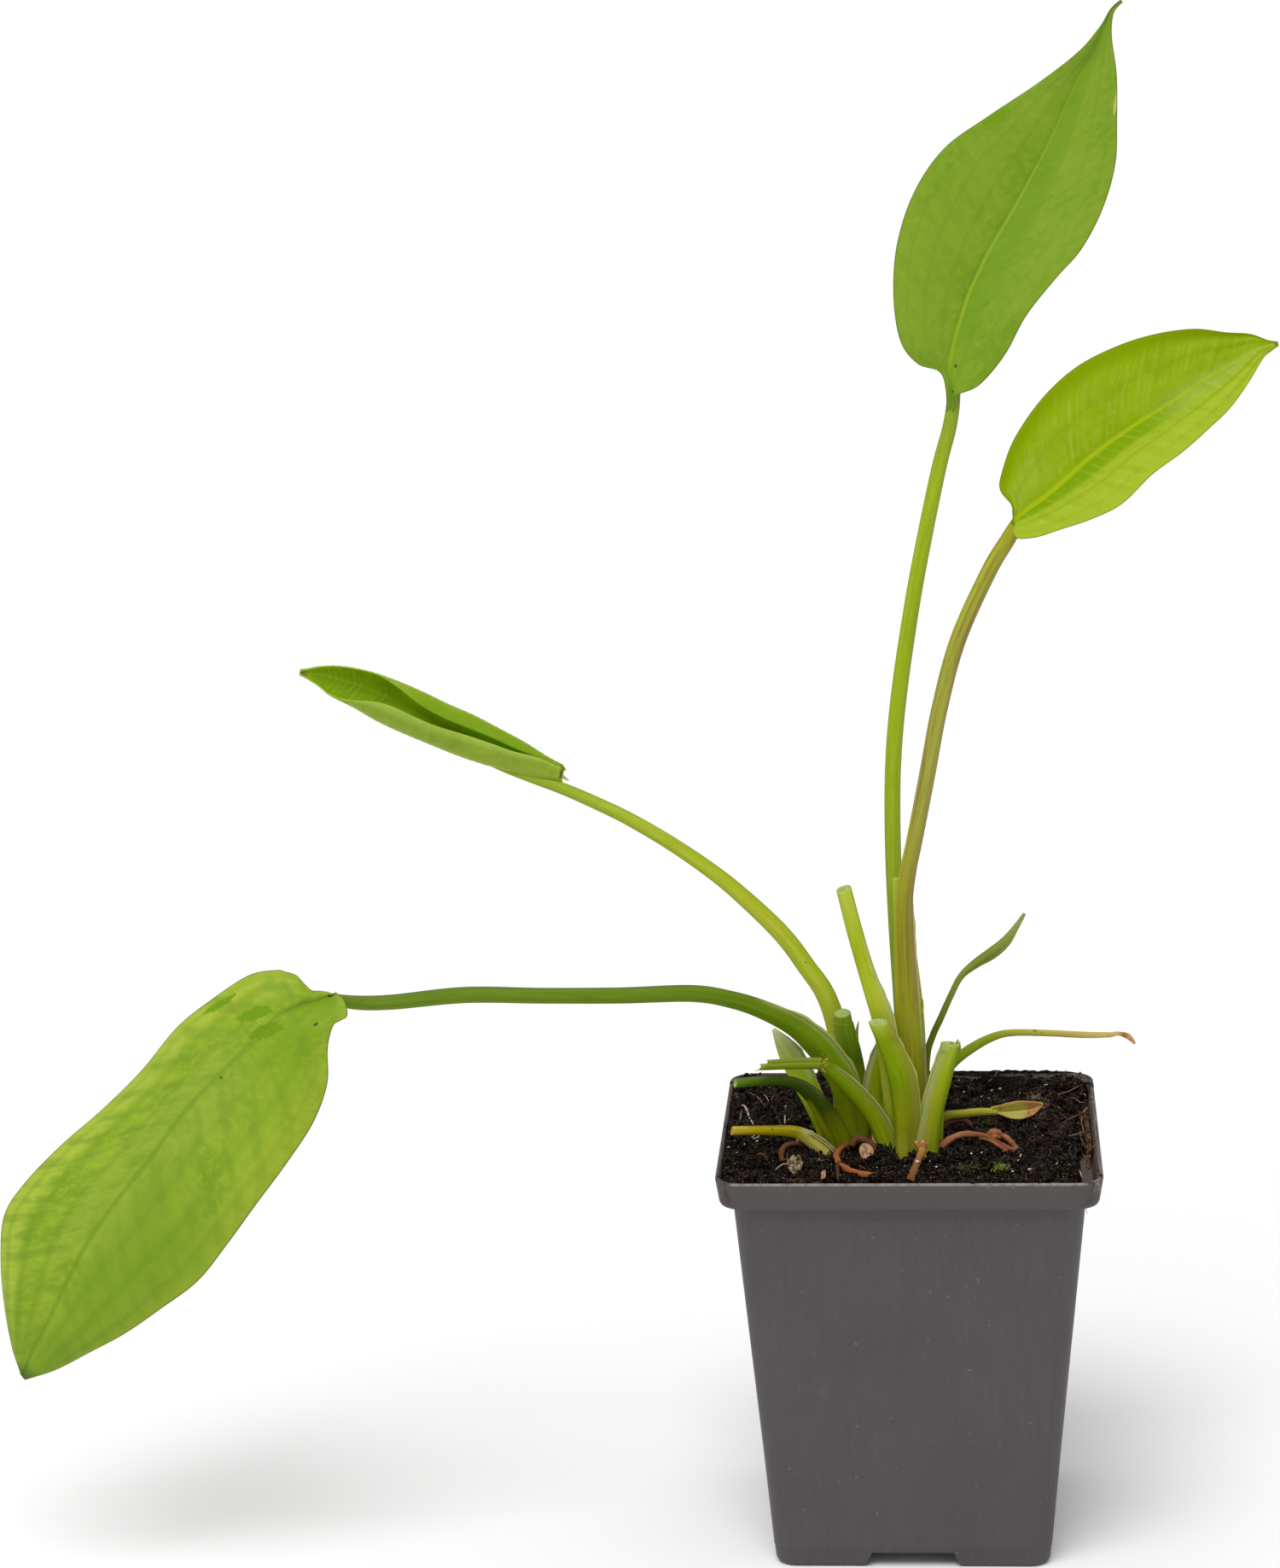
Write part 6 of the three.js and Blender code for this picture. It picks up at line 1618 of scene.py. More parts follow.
def pot_paint():
    """Dark grey moulded plastic: faint upright streaks, scuffs on the lip, dust and dried splashes, and a
    painted highlight along the lip's front edge
    """
    paint = Paint("pot_plastic")
    place = paint.place()
    x, y, height = paint.parts(place)
    rim = RIM_WIDTH / 2
    streaks = paint.noise(paint.stretched(place, (1.0, 1.0, 0.04)), 0.9, 3, 0.6)
    broad = paint.noise(paint.stretched(place, (1.0, 1.0, 0.15)), 0.11, 3, 0.55)
    scratch = paint.noise(paint.stretched(place, (1.0, 1.0, 0.02)), 3.4, 2, 0.5)
    grooves = paint.noise(paint.stretched(place, (3.0, 0.12, 3.0)), 0.9, 2, 0.6)
    crumbly = paint.noise(place, 0.45, 4, 0.7)
    half = paint.calc("MAXIMUM", paint.size(x), paint.size(y))
    colour = paint.tinted((79, 73, 75), (86, 82, 84), streaks, 0.3, 0.7, 0.5)
    colour = paint.tinted(colour, (88, 84, 86), broad, 0.35, 0.7, 0.4)
    colour = paint.tinted(colour, (75, 70, 71), paint.noise(place, 0.035, 3, 0.5), 0.4, 0.7, 0.45)
    band = POT_HEIGHT - RIM_BAND
    colour = paint.mix(paint.times(paint.ease(height, band - 0.2, band + 0.4), 0.5), colour, (83, 75, 74))
    colour = paint.tinted(colour, (116, 112, 112), scratch, 0.7, 0.74, 0.35)
    colour = paint.tinted(colour, (138, 134, 130), paint.noise(place, 0.9, 2, 0.5), 0.72, 0.76, 0.6)
    colour = paint.tinted(colour, (50, 44, 42), paint.noise(place, 0.7, 2, 0.5), 0.74, 0.77, 0.6)
    within = paint.times(paint.ease(height, LEDGE_TOP - 1, LEDGE_TOP + 0.5),
                         paint.ease(half, rim - 0.9, rim - 1.6))
    colour = paint.mix(paint.times(within, 0.8), colour, (74, 64, 60))
    colour = paint.mix(paint.times(within, paint.ease(crumbly, 0.5, 0.62, 0.0, 0.7)), colour, (60, 44, 34))
    taper = (RIM_WIDTH - RIM_FOOT_WIDTH) / 2 / RIM_BAND
    outer = paint.plus(paint.times(paint.minus(height, POT_HEIGHT), taper), rim)
    lip = paint.times(paint.ease(height, POT_HEIGHT - 3.2, POT_HEIGHT - 2.2),
                      paint.ease(paint.minus(outer, half), 0.15, 0.45))
    front = paint.ease(y, -rim + 2.2, -rim + 1.4)
    beside = paint.times(lip, paint.ease(front, 0.0, 1.0, 1.0, 0.0))
    worn = paint.tinted((76, 60, 52), (136, 120, 110), grooves, 0.4, 0.56)
    worn = paint.tinted(worn, (66, 54, 48), x, -10, 10, 0.0, 0.7)
    colour = paint.mix(paint.times(beside, 0.9), colour, worn)
    colour = paint.mix(paint.times(beside, paint.ease(crumbly, 0.58, 0.66, 0.0, 0.7)), colour, (44, 34, 28))
    # The top of the lip's front edge gets brown dirt. Its outer side gets a painted highlight: a thin light
    # line, broken where dirt lies.
    edge = paint.times(paint.ease(height, POT_HEIGHT - 0.7, POT_HEIGHT - 0.3), front)
    bright = paint.times(edge, paint.ease(half, rim - 0.9, rim - 0.6, 0.0, 0.9),
                         paint.ease(crumbly, 0.4, 0.66, 1.0, 0.4))
    colour = paint.mix(bright, paint.mix(paint.times(edge, 0.7), colour, (70, 58, 52)), (146, 140, 136))
    relief = paint.plus(paint.times(streaks, 0.5), paint.times(broad, 0.6), paint.times(scratch, 0.2))
    paint.bump(relief, 0.16, 0.3)
    return paint.surface(colour, paint.ease(broad, 0.3, 0.7, 0.5, 0.62), 0.35)


def build_pot():
    rings = np.array([square_ring(half, height, *RIM_COLUMNS) for half, height in pot_profile()])
    piece = add_piece("square_pot", loft(rings), pot_paint(), "pot")
    quarters = [quarter * math.pi / 2 for quarter in range(4)]
    cut_away(piece, [turned(channel_cutter(), angle) for angle in quarters])
    cut_away(piece, [turned(drain_hole(), angle) for angle in quarters])
    piece.data.shade_smooth()
    piece.data.set_sharp_from_angle(angle=math.radians(SHARP_EDGE))


# The peat

def soil_height(x, y):
    """Height of the peat before its crumbs: a low mound at the shoots, lumps, a rise against the
    back and the left, hollows, and a drop that leaves the right wall and its ledge bare"""
    mound_x, mound_y = (x - MOUND_CENTRE[0]) / MOUND_SPREAD[0], (y - MOUND_CENTRE[1]) / MOUND_SPREAD[1]
    mound = MOUND_HEIGHT * np.exp(-(mound_x ** 2 + mound_y ** 2))
    lumps = (0.7 * np.sin(0.31 * x + 1.3) * np.cos(0.27 * y) + 0.5 * np.sin(0.73 * x + 0.41 * y + 0.5)
             + 0.4 * np.cos(0.52 * x - 0.66 * y))
    back_rise = 1.8 * np.maximum(0, (y - 20) / 23) ** 2
    side_rise = 2.2 * np.maximum(0, (-x - 28) / 15) ** 2
    edge = DROP_START + 0.5 * np.sin(0.6 * y) + 0.3 * np.sin(1.7 * y)
    drop = DROP_DEPTH * smoothstep(edge, edge + 2, x) * smoothstep(36, 24, y)
    drop = drop * (1 - 0.5 * smoothstep(-14, -8, y))
    hollows = 0
    for (place_x, place_y, deep, spread) in HOLLOWS:
        hollows = hollows + deep * np.exp(-((x - place_x) ** 2 + (y - place_y) ** 2) / spread ** 2)
    return SOIL_LEVEL + mound + lumps + np.maximum(back_rise, side_rise) - drop - hollows


def clump_table(seed):
    """The place in its cell and the height of each clump"""
    chance = np.random.default_rng(seed)
    return chance.uniform(0, 1, (128, 128, 2)), chance.uniform(0.3, 1, (128, 128))


NOISE_TABLES = {seed: np.random.default_rng(seed).uniform(-1, 1, (256, 256)) for seed in (4, 5, 11, 12)}
CLUMP_TABLES = {seed: clump_table(seed) for seed in (1, 2, 3)}


def grid_noise(x, y, cell, seed):
    """Smooth noise from -1 to 1 with the given cell size in millimetres"""
    table = NOISE_TABLES[seed]
    u, v = x / cell + 97, y / cell + 61
    i, j = np.floor(u).astype(int), np.floor(v).astype(int)
    a, b = u - i, v - j
    a, b = a * a * (3 - 2 * a), b * b * (3 - 2 * b)
    i, j = i % 255, j % 255
    low = table[i, j] * (1 - a) + table[i + 1, j] * a
    high = table[i, j + 1] * (1 - a) + table[i + 1, j + 1] * a
    return low * (1 - b) + high * b


def clump_noise(x, y, cell, seed):
    """Rounded clumps with clefts between them, from 0 in a cleft to about 1 on a clump"""
    shift, tall = CLUMP_TABLES[seed]
    u, v = x / cell + 40, y / cell + 40
    i, j = np.floor(u).astype(int), np.floor(v).astype(int)
    best = np.zeros(np.shape(x))
    for step_i in (-1, 0, 1):
        for step_j in (-1, 0, 1):
            cell_i, cell_j = (i + step_i) % 128, (j + step_j) % 128
            away_u = i + step_i + shift[cell_i, cell_j, 0] - u
            away_v = j + step_j + shift[cell_i, cell_j, 1] - v
            dome = np.clip(1 - (away_u ** 2 + away_v ** 2) / 0.85, 0, 1) ** 0.5 * tall[cell_i, cell_j]
            best = np.maximum(best, dome)
    return best


def peat_relief(x, y):
    """How far the clumps rise"""
    warp_x = x + 0.9 * grid_noise(x, y, 2.6, 11)
    warp_y = y + 0.9 * grid_noise(x, y, 2.6, 12)
    clumps = (1.9 * clump_noise(warp_x, warp_y, 5.2, 1) + 1.3 * clump_noise(warp_x, warp_y, 2.6, 2)
              + 0.6 * clump_noise(x, y, 1.2, 3))
    pits = 1.2 * smoothstep(0.35, 0.8, grid_noise(x, y, 3.4, 5))
    return clumps - pits + 0.2 * grid_noise(x, y, 0.5, 4)


def peat_surface(x, y):
    """Height of the peat with its clumps"""
    return soil_height(x, y) - CLUMP_SINK + peat_relief(x, y)


def peat_at(x, y):
    """Height of the peat at one place"""
    return peat_surface(np.array([x]), np.array([y]))[0]


def peat_share(x, y):
    """How high on its clump a place lies, from 0 in a cleft to 1 on top"""
    return np.clip((peat_relief(x, y) + 0.2) / 3.2, 0, 1)


def peat_block():
    """The peat down to the pot's floor, with a rough top"""
    top_half = RIM_WIDTH / 2 - LIP - 0.3
    below = [(0.5, FLOOR_TOP + 0.2), (BASE_WIDTH / 2 - 1.5, FLOOR_TOP + 0.2),
             (LEDGE_INSIDE_WIDTH / 2 - 0.3, LEDGE_TOP - 0.2), (top_half - 2, LEDGE_TOP - 0.2)]
    rings = [square_ring(half, height, *PEAT_COLUMNS) for half, height in below]
    tones = [np.zeros((len(rings[0]), 3)) for _ in below]
    for share in np.linspace(1, 0.01, PEAT_RINGS):
        ring = square_ring(top_half * share, 0, *PEAT_COLUMNS)
        least = LEDGE_TOP - 0.1 - 1.2 * smoothstep(0.94, 0.8, share)
        ring[:, 2] = np.maximum(peat_surface(ring[:, 0], ring[:, 1]), least)
        rings.append(ring)
        tones.append(stacked(0.0, peat_share(ring[:, 0], ring[:, 1]), 0.0))
    return loft(np.array(rings), tone=np.array(tones))


def crumb(size, chance):
    """A small irregular lump of 20 faces"""
    golden = (1 + 5 ** 0.5) / 2
    corners = np.array([(-1, golden, 0), (1, golden, 0), (-1, -golden, 0), (1, -golden, 0), (0, -1, golden),
                        (0, 1, golden), (0, -1, -golden), (0, 1, -golden), (golden, 0, -1), (golden, 0, 1),
                        (-golden, 0, -1), (-golden, 0, 1)]) / 1.9
    faces = [(0, 11, 5), (0, 5, 1), (0, 1, 7), (0, 7, 10), (0, 10, 11), (1, 5, 9), (5, 11, 4), (11, 10, 2),
             (10, 7, 6), (7, 1, 8), (3, 9, 4), (3, 4, 2), (3, 2, 6), (3, 6, 8), (3, 8, 9), (4, 9, 5),
             (2, 4, 11), (6, 2, 10), (8, 6, 7), (9, 8, 1)]
    scale = size / 2 * chance.uniform(0.55, 1.35, (1, 3)) * chance.uniform(0.65, 1.35, (12, 1))
    return turned({"points": corners * scale, "faces": faces, "values": {}}, chance.uniform(0, 2 * np.pi))


def split_finer(shape, chance, rough):
    """The same lump with every face split into four and its points moved a little"""
    points = [tuple(point) for point in shape["points"]]
    middles = {}
    faces = []

    def middle(first, second):
        key = (min(first, second), max(first, second))
        if key not in middles:
            middles[key] = len(points)
            between = (np.array(points[first]) + np.array(points[second])) / 2
            points.append(tuple(between * (1 + chance.normal(0, rough))))
        return middles[key]
    for a, b, c in shape["faces"]:
        ab, bc, ca = middle(a, b), middle(b, c), middle(c, a)
        faces += [(a, ab, ca), (b, bc, ab), (c, ca, bc), (ab, bc, ca)]
    return {"points": np.array(points), "faces": faces, "values": {}}


def set_down(lump, place, tone, squash=(1, 1, 1)):
    """A lump moved to its place. Its tone is one number, or how light it is and how high it lies."""
    points = lump["points"] * squash + place
    return {**lump, "points": points, "values": {"tone": np.full((len(points), 3), tone)}}


def scattered(count, sizes, seed, sink=0.25, tones=(0.0, 1.0), finer=False, spread=None):
    """Crumbs strewn over the peat, or round a place when spread gives its x, y and reach"""
    chance = np.random.default_rng(seed)
    half = RIM_WIDTH / 2 - LIP - 0.9
    shapes = []
    places = chance.uniform(-half, half, (count, 2))
    bare = (places[:, 0] > DROP_START) & (places[:, 1] < -12)
    places[bare, 0] -= 2 * (places[bare, 0] - DROP_START)
    if spread:
        places = np.clip(chance.normal(spread[:2], spread[2], (count, 2)), -half, half)
    heights = np.maximum(peat_surface(places[:, 0], places[:, 1]), LEDGE_TOP)
    highs = peat_share(places[:, 0], places[:, 1])
    for (x, y), height, high in zip(places, heights, highs):
        size = sizes[0] + (sizes[1] - sizes[0]) * chance.random() ** 2.5
        clear = RIM_WIDTH / 2 - LIP - 0.2 - 0.65 * size
        x, y = np.clip((x, y), -clear, clear)
        lump = crumb(size, chance)
        if size > 1 and math.dist((x, y), CLEAR_PLACE) < CLEAR_REACH:
            continue
        if finer:
            lump = split_finer(lump, chance, 0.16)
        tone = (chance.uniform(*tones), min(1, high + 0.2), 0)
        shapes.append(set_down(lump, [x, y, height + size * (0.5 - sink)], tone))
    return joined(shapes)


def thread(points, width, tone, sides=8, steps=24, flat=1.0):
    """A fibre through the given points, thinner at its ends"""
    places = np.linspace(0, 1, steps)
    centre, _, side, face = directions(points, places)
    angle = full_turn(sides)
    size = (0.45 + 0.55 * np.sin(np.pi * np.clip(places, 0.02, 0.98)) ** 0.6)[:, None] * width / 2
    rings = ringed(centre, side, face, np.cos(angle)[None, :] * size, np.sin(angle)[None, :] * size * flat)
    return loft(rings, tone=np.full(3, float(tone)))


def resting(points, lift):
    """A thread's points with their heights no lower than the peat under them"""
    return [(x, y, max(z, peat_at(x, y) + lift)) for x, y, z in points]


def strewn_fibres(count, seed, lengths, widths, tones):
    """Thin fibres strewn over the peat, each lying along it with a slight bend"""
    chance = np.random.default_rng(seed)
    half = RIM_WIDTH / 2 - LIP - 2.2
    shapes = []
    for _ in range(count):
        middle = chance.uniform(-half, half, 2)
        angle = chance.uniform(0, np.pi)
        length = chance.uniform(*lengths)
        way = np.array([math.cos(angle), math.sin(angle)])
        aside = np.array([-way[1], way[0]])
        bend = chance.normal(0, 0.15) * length
        rise = abs(chance.normal(0, 0.35))
        points = []
        for share in (-0.5, 0.0, 0.5):
            place = middle + way * share * length + aside * bend * (1 - 4 * share ** 2)
            x, y = np.clip(place, -half - 1, half + 1)
            points.append((x, y, peat_at(x, y) + 0.1 + rise * (share + 0.5)))
        tone = chance.uniform(*tones)
        shapes.append(thread(points, chance.uniform(*widths), tone, sides=4, steps=7))
    return joined(shapes)


def scrap(outline, middle, count, shares, face):
    """A thin scrap of leaf inside an outline. Face gives the rise and the tone of a ring, from its
    side, its share of the way out and the angles round it."""
    rim = np.array(outline, float)
    dense = through(np.vstack([rim, rim[:1]]), np.linspace(0, 1, count, endpoint=False))
    turn = full_turn(count)
    rings, tones = [], []
    for side, row in ((1, shares), (-1, shares[::-1])):
        for share in row:
            rise, tone = face(side, share, turn)
            rings.append(middle + (dense - middle) * share + rise[:, None] * UP)
            tones.append(stacked(tone, tone, tone))
    return loft(np.array(rings), tone=np.array(tones))


def flake(outline, base_tone):
    """A thin flake of dead leaf, a little cupped"""
    thick = 0.25
    cup = 0.35

    def face(side, share, turn):
        wrinkle = 0.25 * np.sin(3 * turn + 4 * share) * share * (1.1 - share) * 4
        rise = cup * share ** 2 + wrinkle * cup + side * thick / 2 * (1 - share ** 6)
        return rise, base_tone + 1.2 * wrinkle - 0.3 * smoothstep(0.5, 0.0, share)
    middle = np.array(outline, float).mean(0)
    return scrap(outline, middle, 5 * len(outline), (0.02, 0.2, 0.4, 0.6, 0.8, 1.0), face)


def crumpled_flake():
    """A dry leaf flake with a wrinkled face and a thin tail"""
    def face(side, share, turn):
        wrinkle = 0.5 * np.sin(3 * turn + 5 * share) + 0.4 * np.sin(7 * turn - 9 * share)
        fold = wrinkle * share * (1.2 - share)
        return fold * 1.6 + side * 0.12, 0.35 + 2.2 * fold
    middle = np.array(CRUMPLED, float).mean(0) - UP * 0.5
    body = scrap(CRUMPLED, middle, 48, (0.02, 0.25, 0.45, 0.65, 0.85, 1.0), face)
    return joined([body, thread(CRUMPLED_TAIL, 0.4, 0.7, steps=16)])


def tuft(places, count, seed, length, width, tone, spread):
    """Short needles or moss leaves that stand up round the given places"""
    chance = np.random.default_rng(seed)
    shapes = []
    for _ in range(count):
        near = np.array(places[chance.integers(len(places))], float)
        x, y, z = near + chance.normal(0, spread, 3) * [1, 1, 0.2]
        way = unit(chance.normal(0, 1, 3) * [1, 1, 0.4] + [0, 0, 0.9])
        reach = length * chance.uniform(0.6, 1.3)
        foot = np.array([x, y, min(z, peat_at(x, y) + 0.6)])
        tip = foot + way * reach
        points = [foot, (foot + tip) / 2 + UP * 0.15, tip]
        shapes.append(thread(points, width, tone + chance.normal(0, 0.25), sides=4, steps=5, flat=0.5))
    return joined(shapes)


def peat_paint():
    """Nearly black wet peat with pale grains and wet glints. Painted light makes the tops of its clumps
    lighter brown, and painted shade makes its clefts nearly black
    """
    paint = Paint("peat")
    cleft, deep, middle, pale, grain = (2, 1, 1), (9, 6, 4), (26, 19, 14), (78, 62, 52), (176, 164, 150)
    place = paint.place()
    tone, high, _ = paint.values("tone")
    fine = paint.noise(place, 1.5, 4, 0.7)
    coarse = paint.noise(place, 0.3, 3, 0.6)
    wet = paint.noise(place, 0.45, 2, 0.6)
    colour = paint.tinted(deep, middle, fine, 0.35, 0.7)
    colour = paint.tinted(colour, deep, coarse, 0.4, 0.65, 0.8)
    # Painted light: the tops of the clumps are made paler.
    light = paint.times(paint.ease(high, 0.5, 0.95), paint.ease(fine, 0.5, 0.62), 0.7)
    colour = paint.mix(light, colour, pale)
    colour = paint.tinted(colour, pale, tone, 0.8, 1.0, 0.6)
    # Painted shade: the clefts, and the crumbs that lie in them, go nearly black.
    colour = paint.tinted(colour, cleft, high, 0.1, 0.5, 0.0, 0.85)
    colour = paint.tinted(colour, grain, paint.noise(place, 2.6, 1, 0.5), 0.7, 0.74, 0.7)
    paint.bump(paint.plus(fine, coarse), 0.35, 0.9)
    return paint.surface(colour, paint.ease(wet, 0.35, 0.6, 0.3, 0.8), 0.06)


def litter_paint(name, dark, light, rough):
    """One of the small things on the peat, from dark to light by its tone"""
    paint = Paint(name)
    tone = paint.values("tone")[0]
    grain = paint.noise(paint.place(), 2.2, 3, 0.6)
    share = paint.plus(tone, paint.times(paint.minus(grain, 0.5), 0.8))
    colour = paint.tinted(dark, light, share, 0.0, 1.0)
    paint.bump(grain, 0.08, 0.5)
    return paint.surface(colour, rough, 0.3)


def build_peat(paint):
    add_piece("peat", peat_block(), paint, "soil")
    lumps = scattered(LUMP_COUNT, (1.1, 3.2), 21, sink=0.35, finer=True, tones=(0.0, 0.8))
    add_piece("peat_lumps", lumps, paint)
    add_piece("peat_crumbs", joined([
        scattered(CRUMB_COUNT, (0.35, 1.3), 11),
        scattered(LEFT_CRUMB_COUNT, (0.5, 1.6), 13, spread=(-42.4, 0, 14), sink=0.2),
    ]), paint, smooth=False)


def along_lip(inset, share):
    """A place on the lip, inset from its outer edge, at a share of the way round"""
    ring = square_ring(RIM_WIDTH / 2 - inset, POT_HEIGHT, *RIM_COLUMNS)
    return ring[int(share * len(ring)) % len(ring)]


def lip_ridge():
    """A low ragged ridge of peat on the right half of the lip's back"""
    outline = square_ring(RIM_WIDTH / 2 - 0.6, POT_HEIGHT, *RIM_COLUMNS)
    back = outline[(outline[:, 1] > 34) & (outline[:, 0] > 4)]
    travel = travelled(back)
    steps = np.arange(0, travel[-1], 0.28)
    path = np.stack([np.interp(steps, travel, back[:, axis]) for axis in range(3)], axis=1)
    side = unit(np.cross(unit(np.gradient(path, axis=0)), UP))
    full = smoothstep(6, 14, steps) * smoothstep(0, 3, travel[-1] - steps)
    uneven = grid_noise(steps, 0 * steps, 1.1, 4) + 0.7 * grid_noise(steps, 5 + 0 * steps, 4.0, 5)
    rise = np.maximum(0.0, full * (0.42 + 0.22 * uneven))
    wide = (0.3 + 0.35 * full + 0.1 * grid_noise(steps, 9 + 0 * steps, 0.9, 11))[:, None]
    rings = []
    for angle in np.linspace(0, np.pi, 7):
        rings.append(path + side * wide * math.cos(angle) + UP * (rise * math.sin(angle) - 0.04)[:, None])
    rings.append(path - UP * 0.2)
    return loft(np.stack(rings, axis=1), tone=[0, 0.5, 0])


def rim_dirt():
    """Crumbs on the lip: loose groups at the back and few elsewhere"""
    chance = np.random.default_rng(61)
    shapes = [lip_ridge()]
    for _ in range(DIRT_TRIES):
        x, y, z = along_lip(chance.uniform(0.2, LIP + 0.6), chance.random())
        group = grid_noise(np.array([1.7 * x]), np.array([1.7 * y]), 3.0, 5)[0]
        at_back = smoothstep(RIM_WIDTH / 2 - 4, RIM_WIDTH / 2 - 2, y) * smoothstep(4, 12, x)
        keep = 0.04 + 0.2 * smoothstep(0.3, 0.7, group) + 0.6 * at_back * smoothstep(-0.5, 0.1, group)
        if y < -RIM_WIDTH / 2 + 2:
            keep = 0.01
        if chance.random() > keep:
            continue
        size = 0.2 + 0.6 * chance.random() ** 2.5
        lump = crumb(size, chance)
        place = [x, y, z + size * 0.1 + 0.2 * at_back]
        shapes.append(set_down(lump, place, (chance.uniform(0, 0.8), 0.7, 0), (1.3, 1.3, 0.55)))
    return joined(shapes)


def wall_dirt():
    """Brown crumbs on the lower part of the bare inner wall at the right"""
    chance = np.random.default_rng(62)
    shapes = []
    for _ in range(DIRT_TRIES):
        y = chance.uniform(-17, 40)
        rise = chance.random() * (LEDGE_DEPTH - 2.4)
        if rise > (y + 17) * 0.5 or chance.random() > 0.9 - 0.7 * smoothstep(10, 18, y):
            continue
        size = 0.3 + 0.7 * chance.random() ** 2
        x = RIM_WIDTH / 2 - LIP - 1.7 + 1.5 * rise / LEDGE_DEPTH - 0.2 * size
        lump = crumb(size, chance)
        tone = chance.uniform(0, 1.2) * (1 - 0.6 * smoothstep(8, 16, y))
        shapes.append(set_down(lump, [x, y, LEDGE_TOP + rise + 0.2], tone))
    return joined(shapes)


def white_bits(chance):
    """The white grains that stand out, and fine ones strewn over the peat"""
    bits = []
    for x, y in WHITE_BITS:
        bit = split_finer(crumb(chance.uniform(0.5, 0.9), chance), chance, 0.1)
        place = [x, y, peat_at(x, y) + 0.35]
        bits.append(set_down(bit, place, chance.uniform(0.5, 1.0), (1, 1, 0.6)))
    bits.append(scattered(WHITE_GRAIN_COUNT, (0.15, 0.42), 45, sink=0.1, tones=(0.0, 0.8)))
    return joined(bits)


def round_lumps(chance):
    """Rounded lumps, each one a cluster of crumbs"""
    lumps = []
    for x, y, size, tone in LUMPS:
        height = max(peat_at(x, y), LEDGE_TOP)
        for _ in range(int(3 + 4 * size ** 1.6)):
            lump = split_finer(crumb(chance.uniform(0.3, 0.75) * size ** 0.5, chance), chance, 0.12)
            place = np.array([x, y, height + size * 0.2]) + chance.normal(0, 0.24 * size, 3)
            lumps.append(set_down(lump, place, tone * chance.uniform(0.1, 1.3)))
    return joined(lumps)


def build_litter(soil):
    """The fibres, flakes, moss and specks that lie on the peat"""
    paints = {name: litter_paint("litter_" + name, *look) for name, look in LITTER_LOOKS.items()}
    chance = np.random.default_rng(44)
    fibres = strewn_fibres(FIBRE_COUNT, 31, (1.5, 6), (0.14, 0.34), (0.0, 0.9))
    straws = [thread(resting(points, 0.9), width, tone) for points, width, tone in STRAWS]
    add_piece("brown_fibres", fibres, paints["brown"])
    add_piece("straws", joined(straws), paints["straw"])
    add_piece("right_roots", joined([thread(*root) for root in ROOTS]), paints["root"])
    add_piece("white_bits", white_bits(chance), paints["white"])
    add_piece("round_lumps", round_lumps(chance), paints["lump"])
    add_piece("bright_moss", tuft(BRIGHT_MOSS, 190, 46, 0.9, 0.3, 0.35, 1.0), paints["green"])
    add_piece("faint_moss", tuft(FAINT_MOSS, 420, 48, 1.0, 0.34, 0.5, 1.0), paints["faint"])
    add_piece("dark_needles", tuft(NEEDLES, 70, 47, 2.0, 0.34, 0.4, 0.7), paints["dark"])
    add_piece("leaf_flakes", joined([flake(*given) for given in FLAKES]), paints["tan"])
    add_piece("crumpled_flake", crumpled_flake(), paints["dull"])
    bead = split_finer(split_finer(crumb(0.9, chance), chance, 0.02), chance, 0.02)
    add_piece("white_bead", set_down(bead, BEAD_PLACE, 1.0), paints["white"])
    add_piece("rim_dirt", rim_dirt(), soil, smooth=False)
    add_piece("wall_dirt", wall_dirt(), paints["brown"], smooth=False)


# Camera, light and floor

def standing(right, up, back, place=(0, 0, 0)):
    """The matrix of a thing with the given directions and place"""
    rows = np.eye(4)
    rows[:3] = np.column_stack([right, up, back, place])
    return Matrix(rows.tolist())


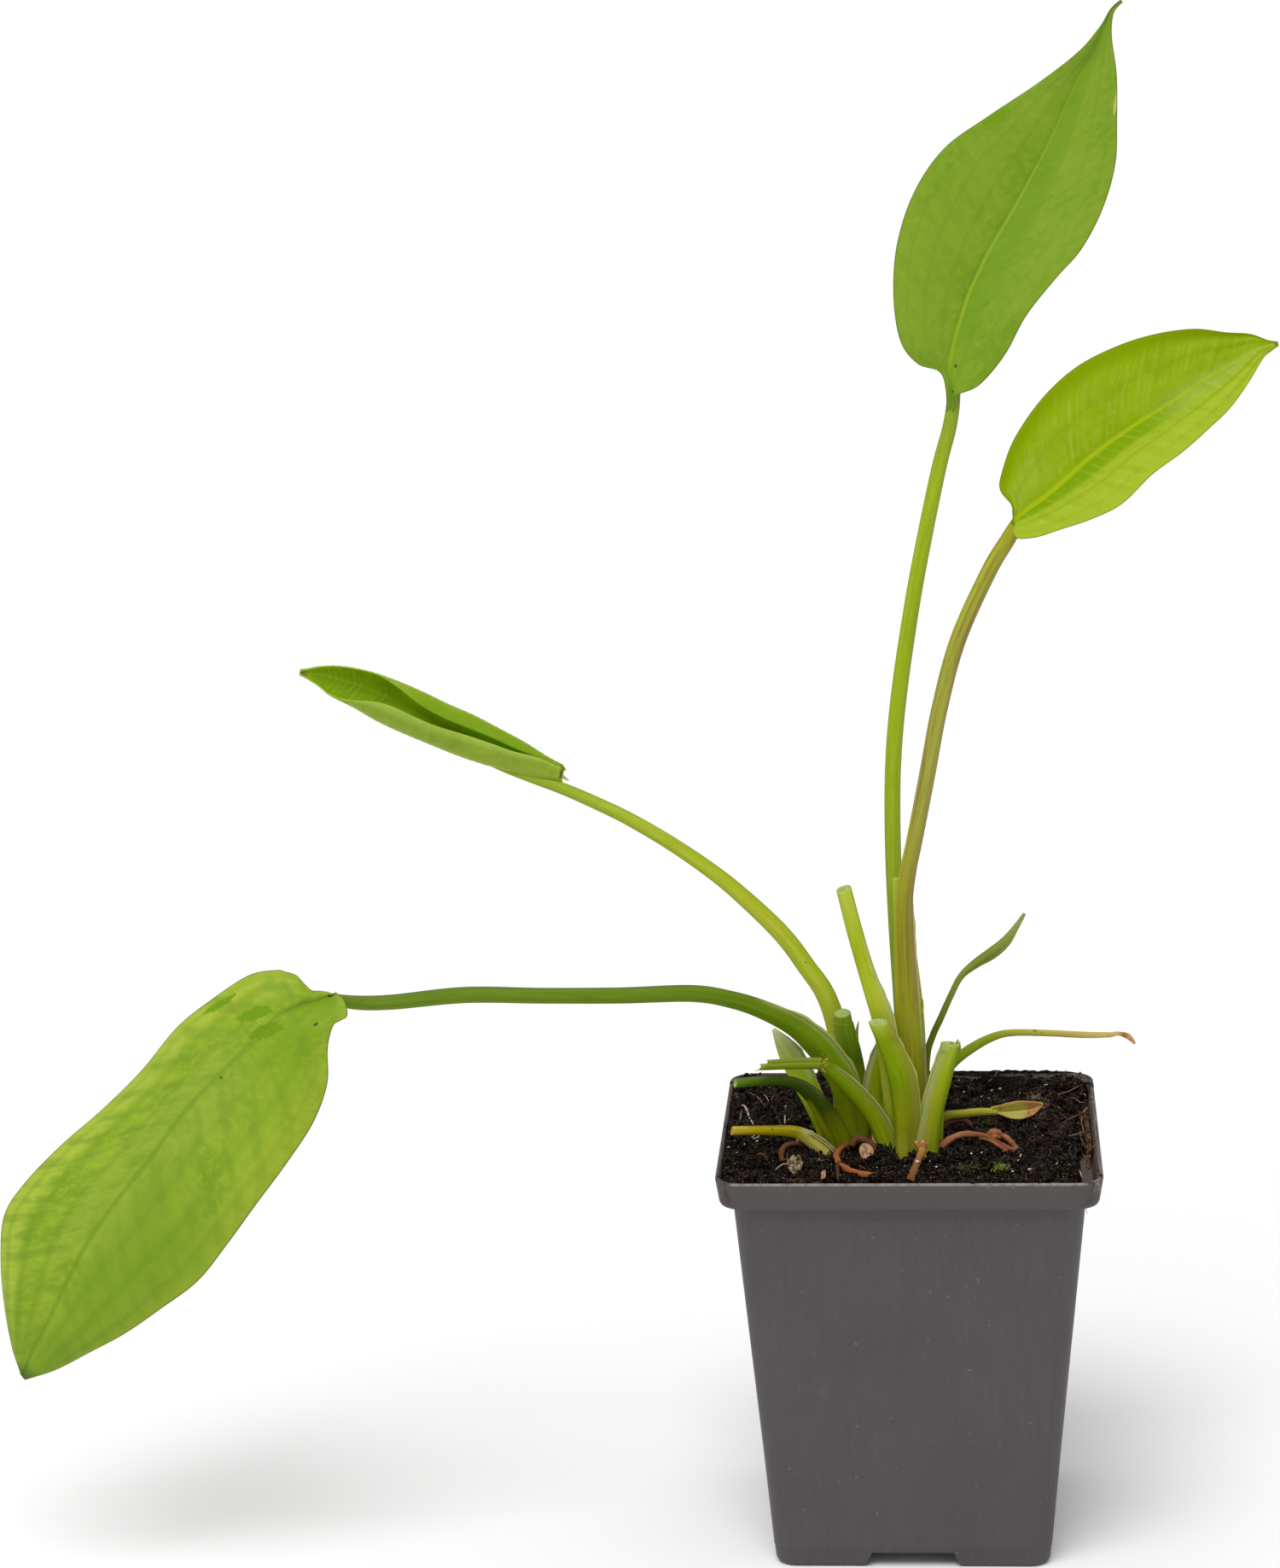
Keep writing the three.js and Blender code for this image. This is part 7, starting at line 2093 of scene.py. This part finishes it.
def place_camera():
    pitch, yaw, roll = (math.radians(angle) for angle in (CAMERA_PITCH, CAMERA_YAW, CAMERA_ROLL))
    ahead = np.array([math.sin(yaw) * math.cos(pitch), math.cos(yaw) * math.cos(pitch), -math.sin(pitch)])
    level = np.array([math.cos(yaw), -math.sin(yaw), 0.0])
    above = np.cross(level, ahead)
    right = math.cos(roll) * level + math.sin(roll) * above
    up = -math.sin(roll) * level + math.cos(roll) * above
    lens = bpy.data.cameras.new("camera")
    lens.lens = CAMERA_LENS
    lens.sensor_width = CAMERA_SENSOR
    lens.clip_end = CAMERA_REACH
    camera = linked("camera", lens)
    camera.matrix_world = standing(right, up, -ahead, np.array(CAMERA_PLACE) * MM)
    bpy.context.scene.camera = camera


def add_sun():
    """A soft sun. Azimuth 0 is in front of the object and turns towards its right."""
    light = bpy.data.lights.new("sun", "SUN")
    light.energy = SUN_STRENGTH
    light.angle = math.radians(SUN_ANGLE)
    turn, rise = math.radians(SUN_AZIMUTH), math.radians(SUN_ELEVATION)
    away = np.array([math.sin(turn) * math.cos(rise), -math.cos(turn) * math.cos(rise), math.sin(rise)])
    side = unit(np.cross(UP, away))
    linked("sun", light).matrix_world = standing(side, np.cross(away, side), away)


def light_world():
    world = bpy.data.worlds.new("studio")
    world.use_nodes = True
    background = world.node_tree.nodes["Background"]
    background.inputs["Color"].default_value = (1, 1, 1, 1)
    background.inputs["Strength"].default_value = WORLD_LIGHT
    bpy.context.scene.world = world
    bpy.context.scene.view_settings.view_transform = "Standard"


def lay_floor():
    mesh = bpy.data.meshes.new("floor")
    corners = [(FLOOR_REACH * x, FLOOR_REACH * y, 0) for x, y in ((-1, -1), (1, -1), (1, 1), (-1, 1))]
    mesh.from_pydata(corners, [], [(0, 1, 2, 3)])
    floor = linked("floor", mesh)
    mesh.materials.append(Paint("floor").surface(FLOOR_COLOUR, 0.9, 0.0))


place_camera()
light_world()
add_sun()
lay_floor()
build_pot()
soil_paint = peat_paint()
build_peat(soil_paint)
build_litter(soil_paint)
build_blades()
stalk_paints = {name: stalk_paint("stalk_" + name, look) for name, look in STALK_LOOKS.items()}
build_leaf_stalks(stalk_paints)
build_cut_stalks(stalk_paints)
build_small_leaves(stalk_paints)
build_dead_stalks(stalk_paints)
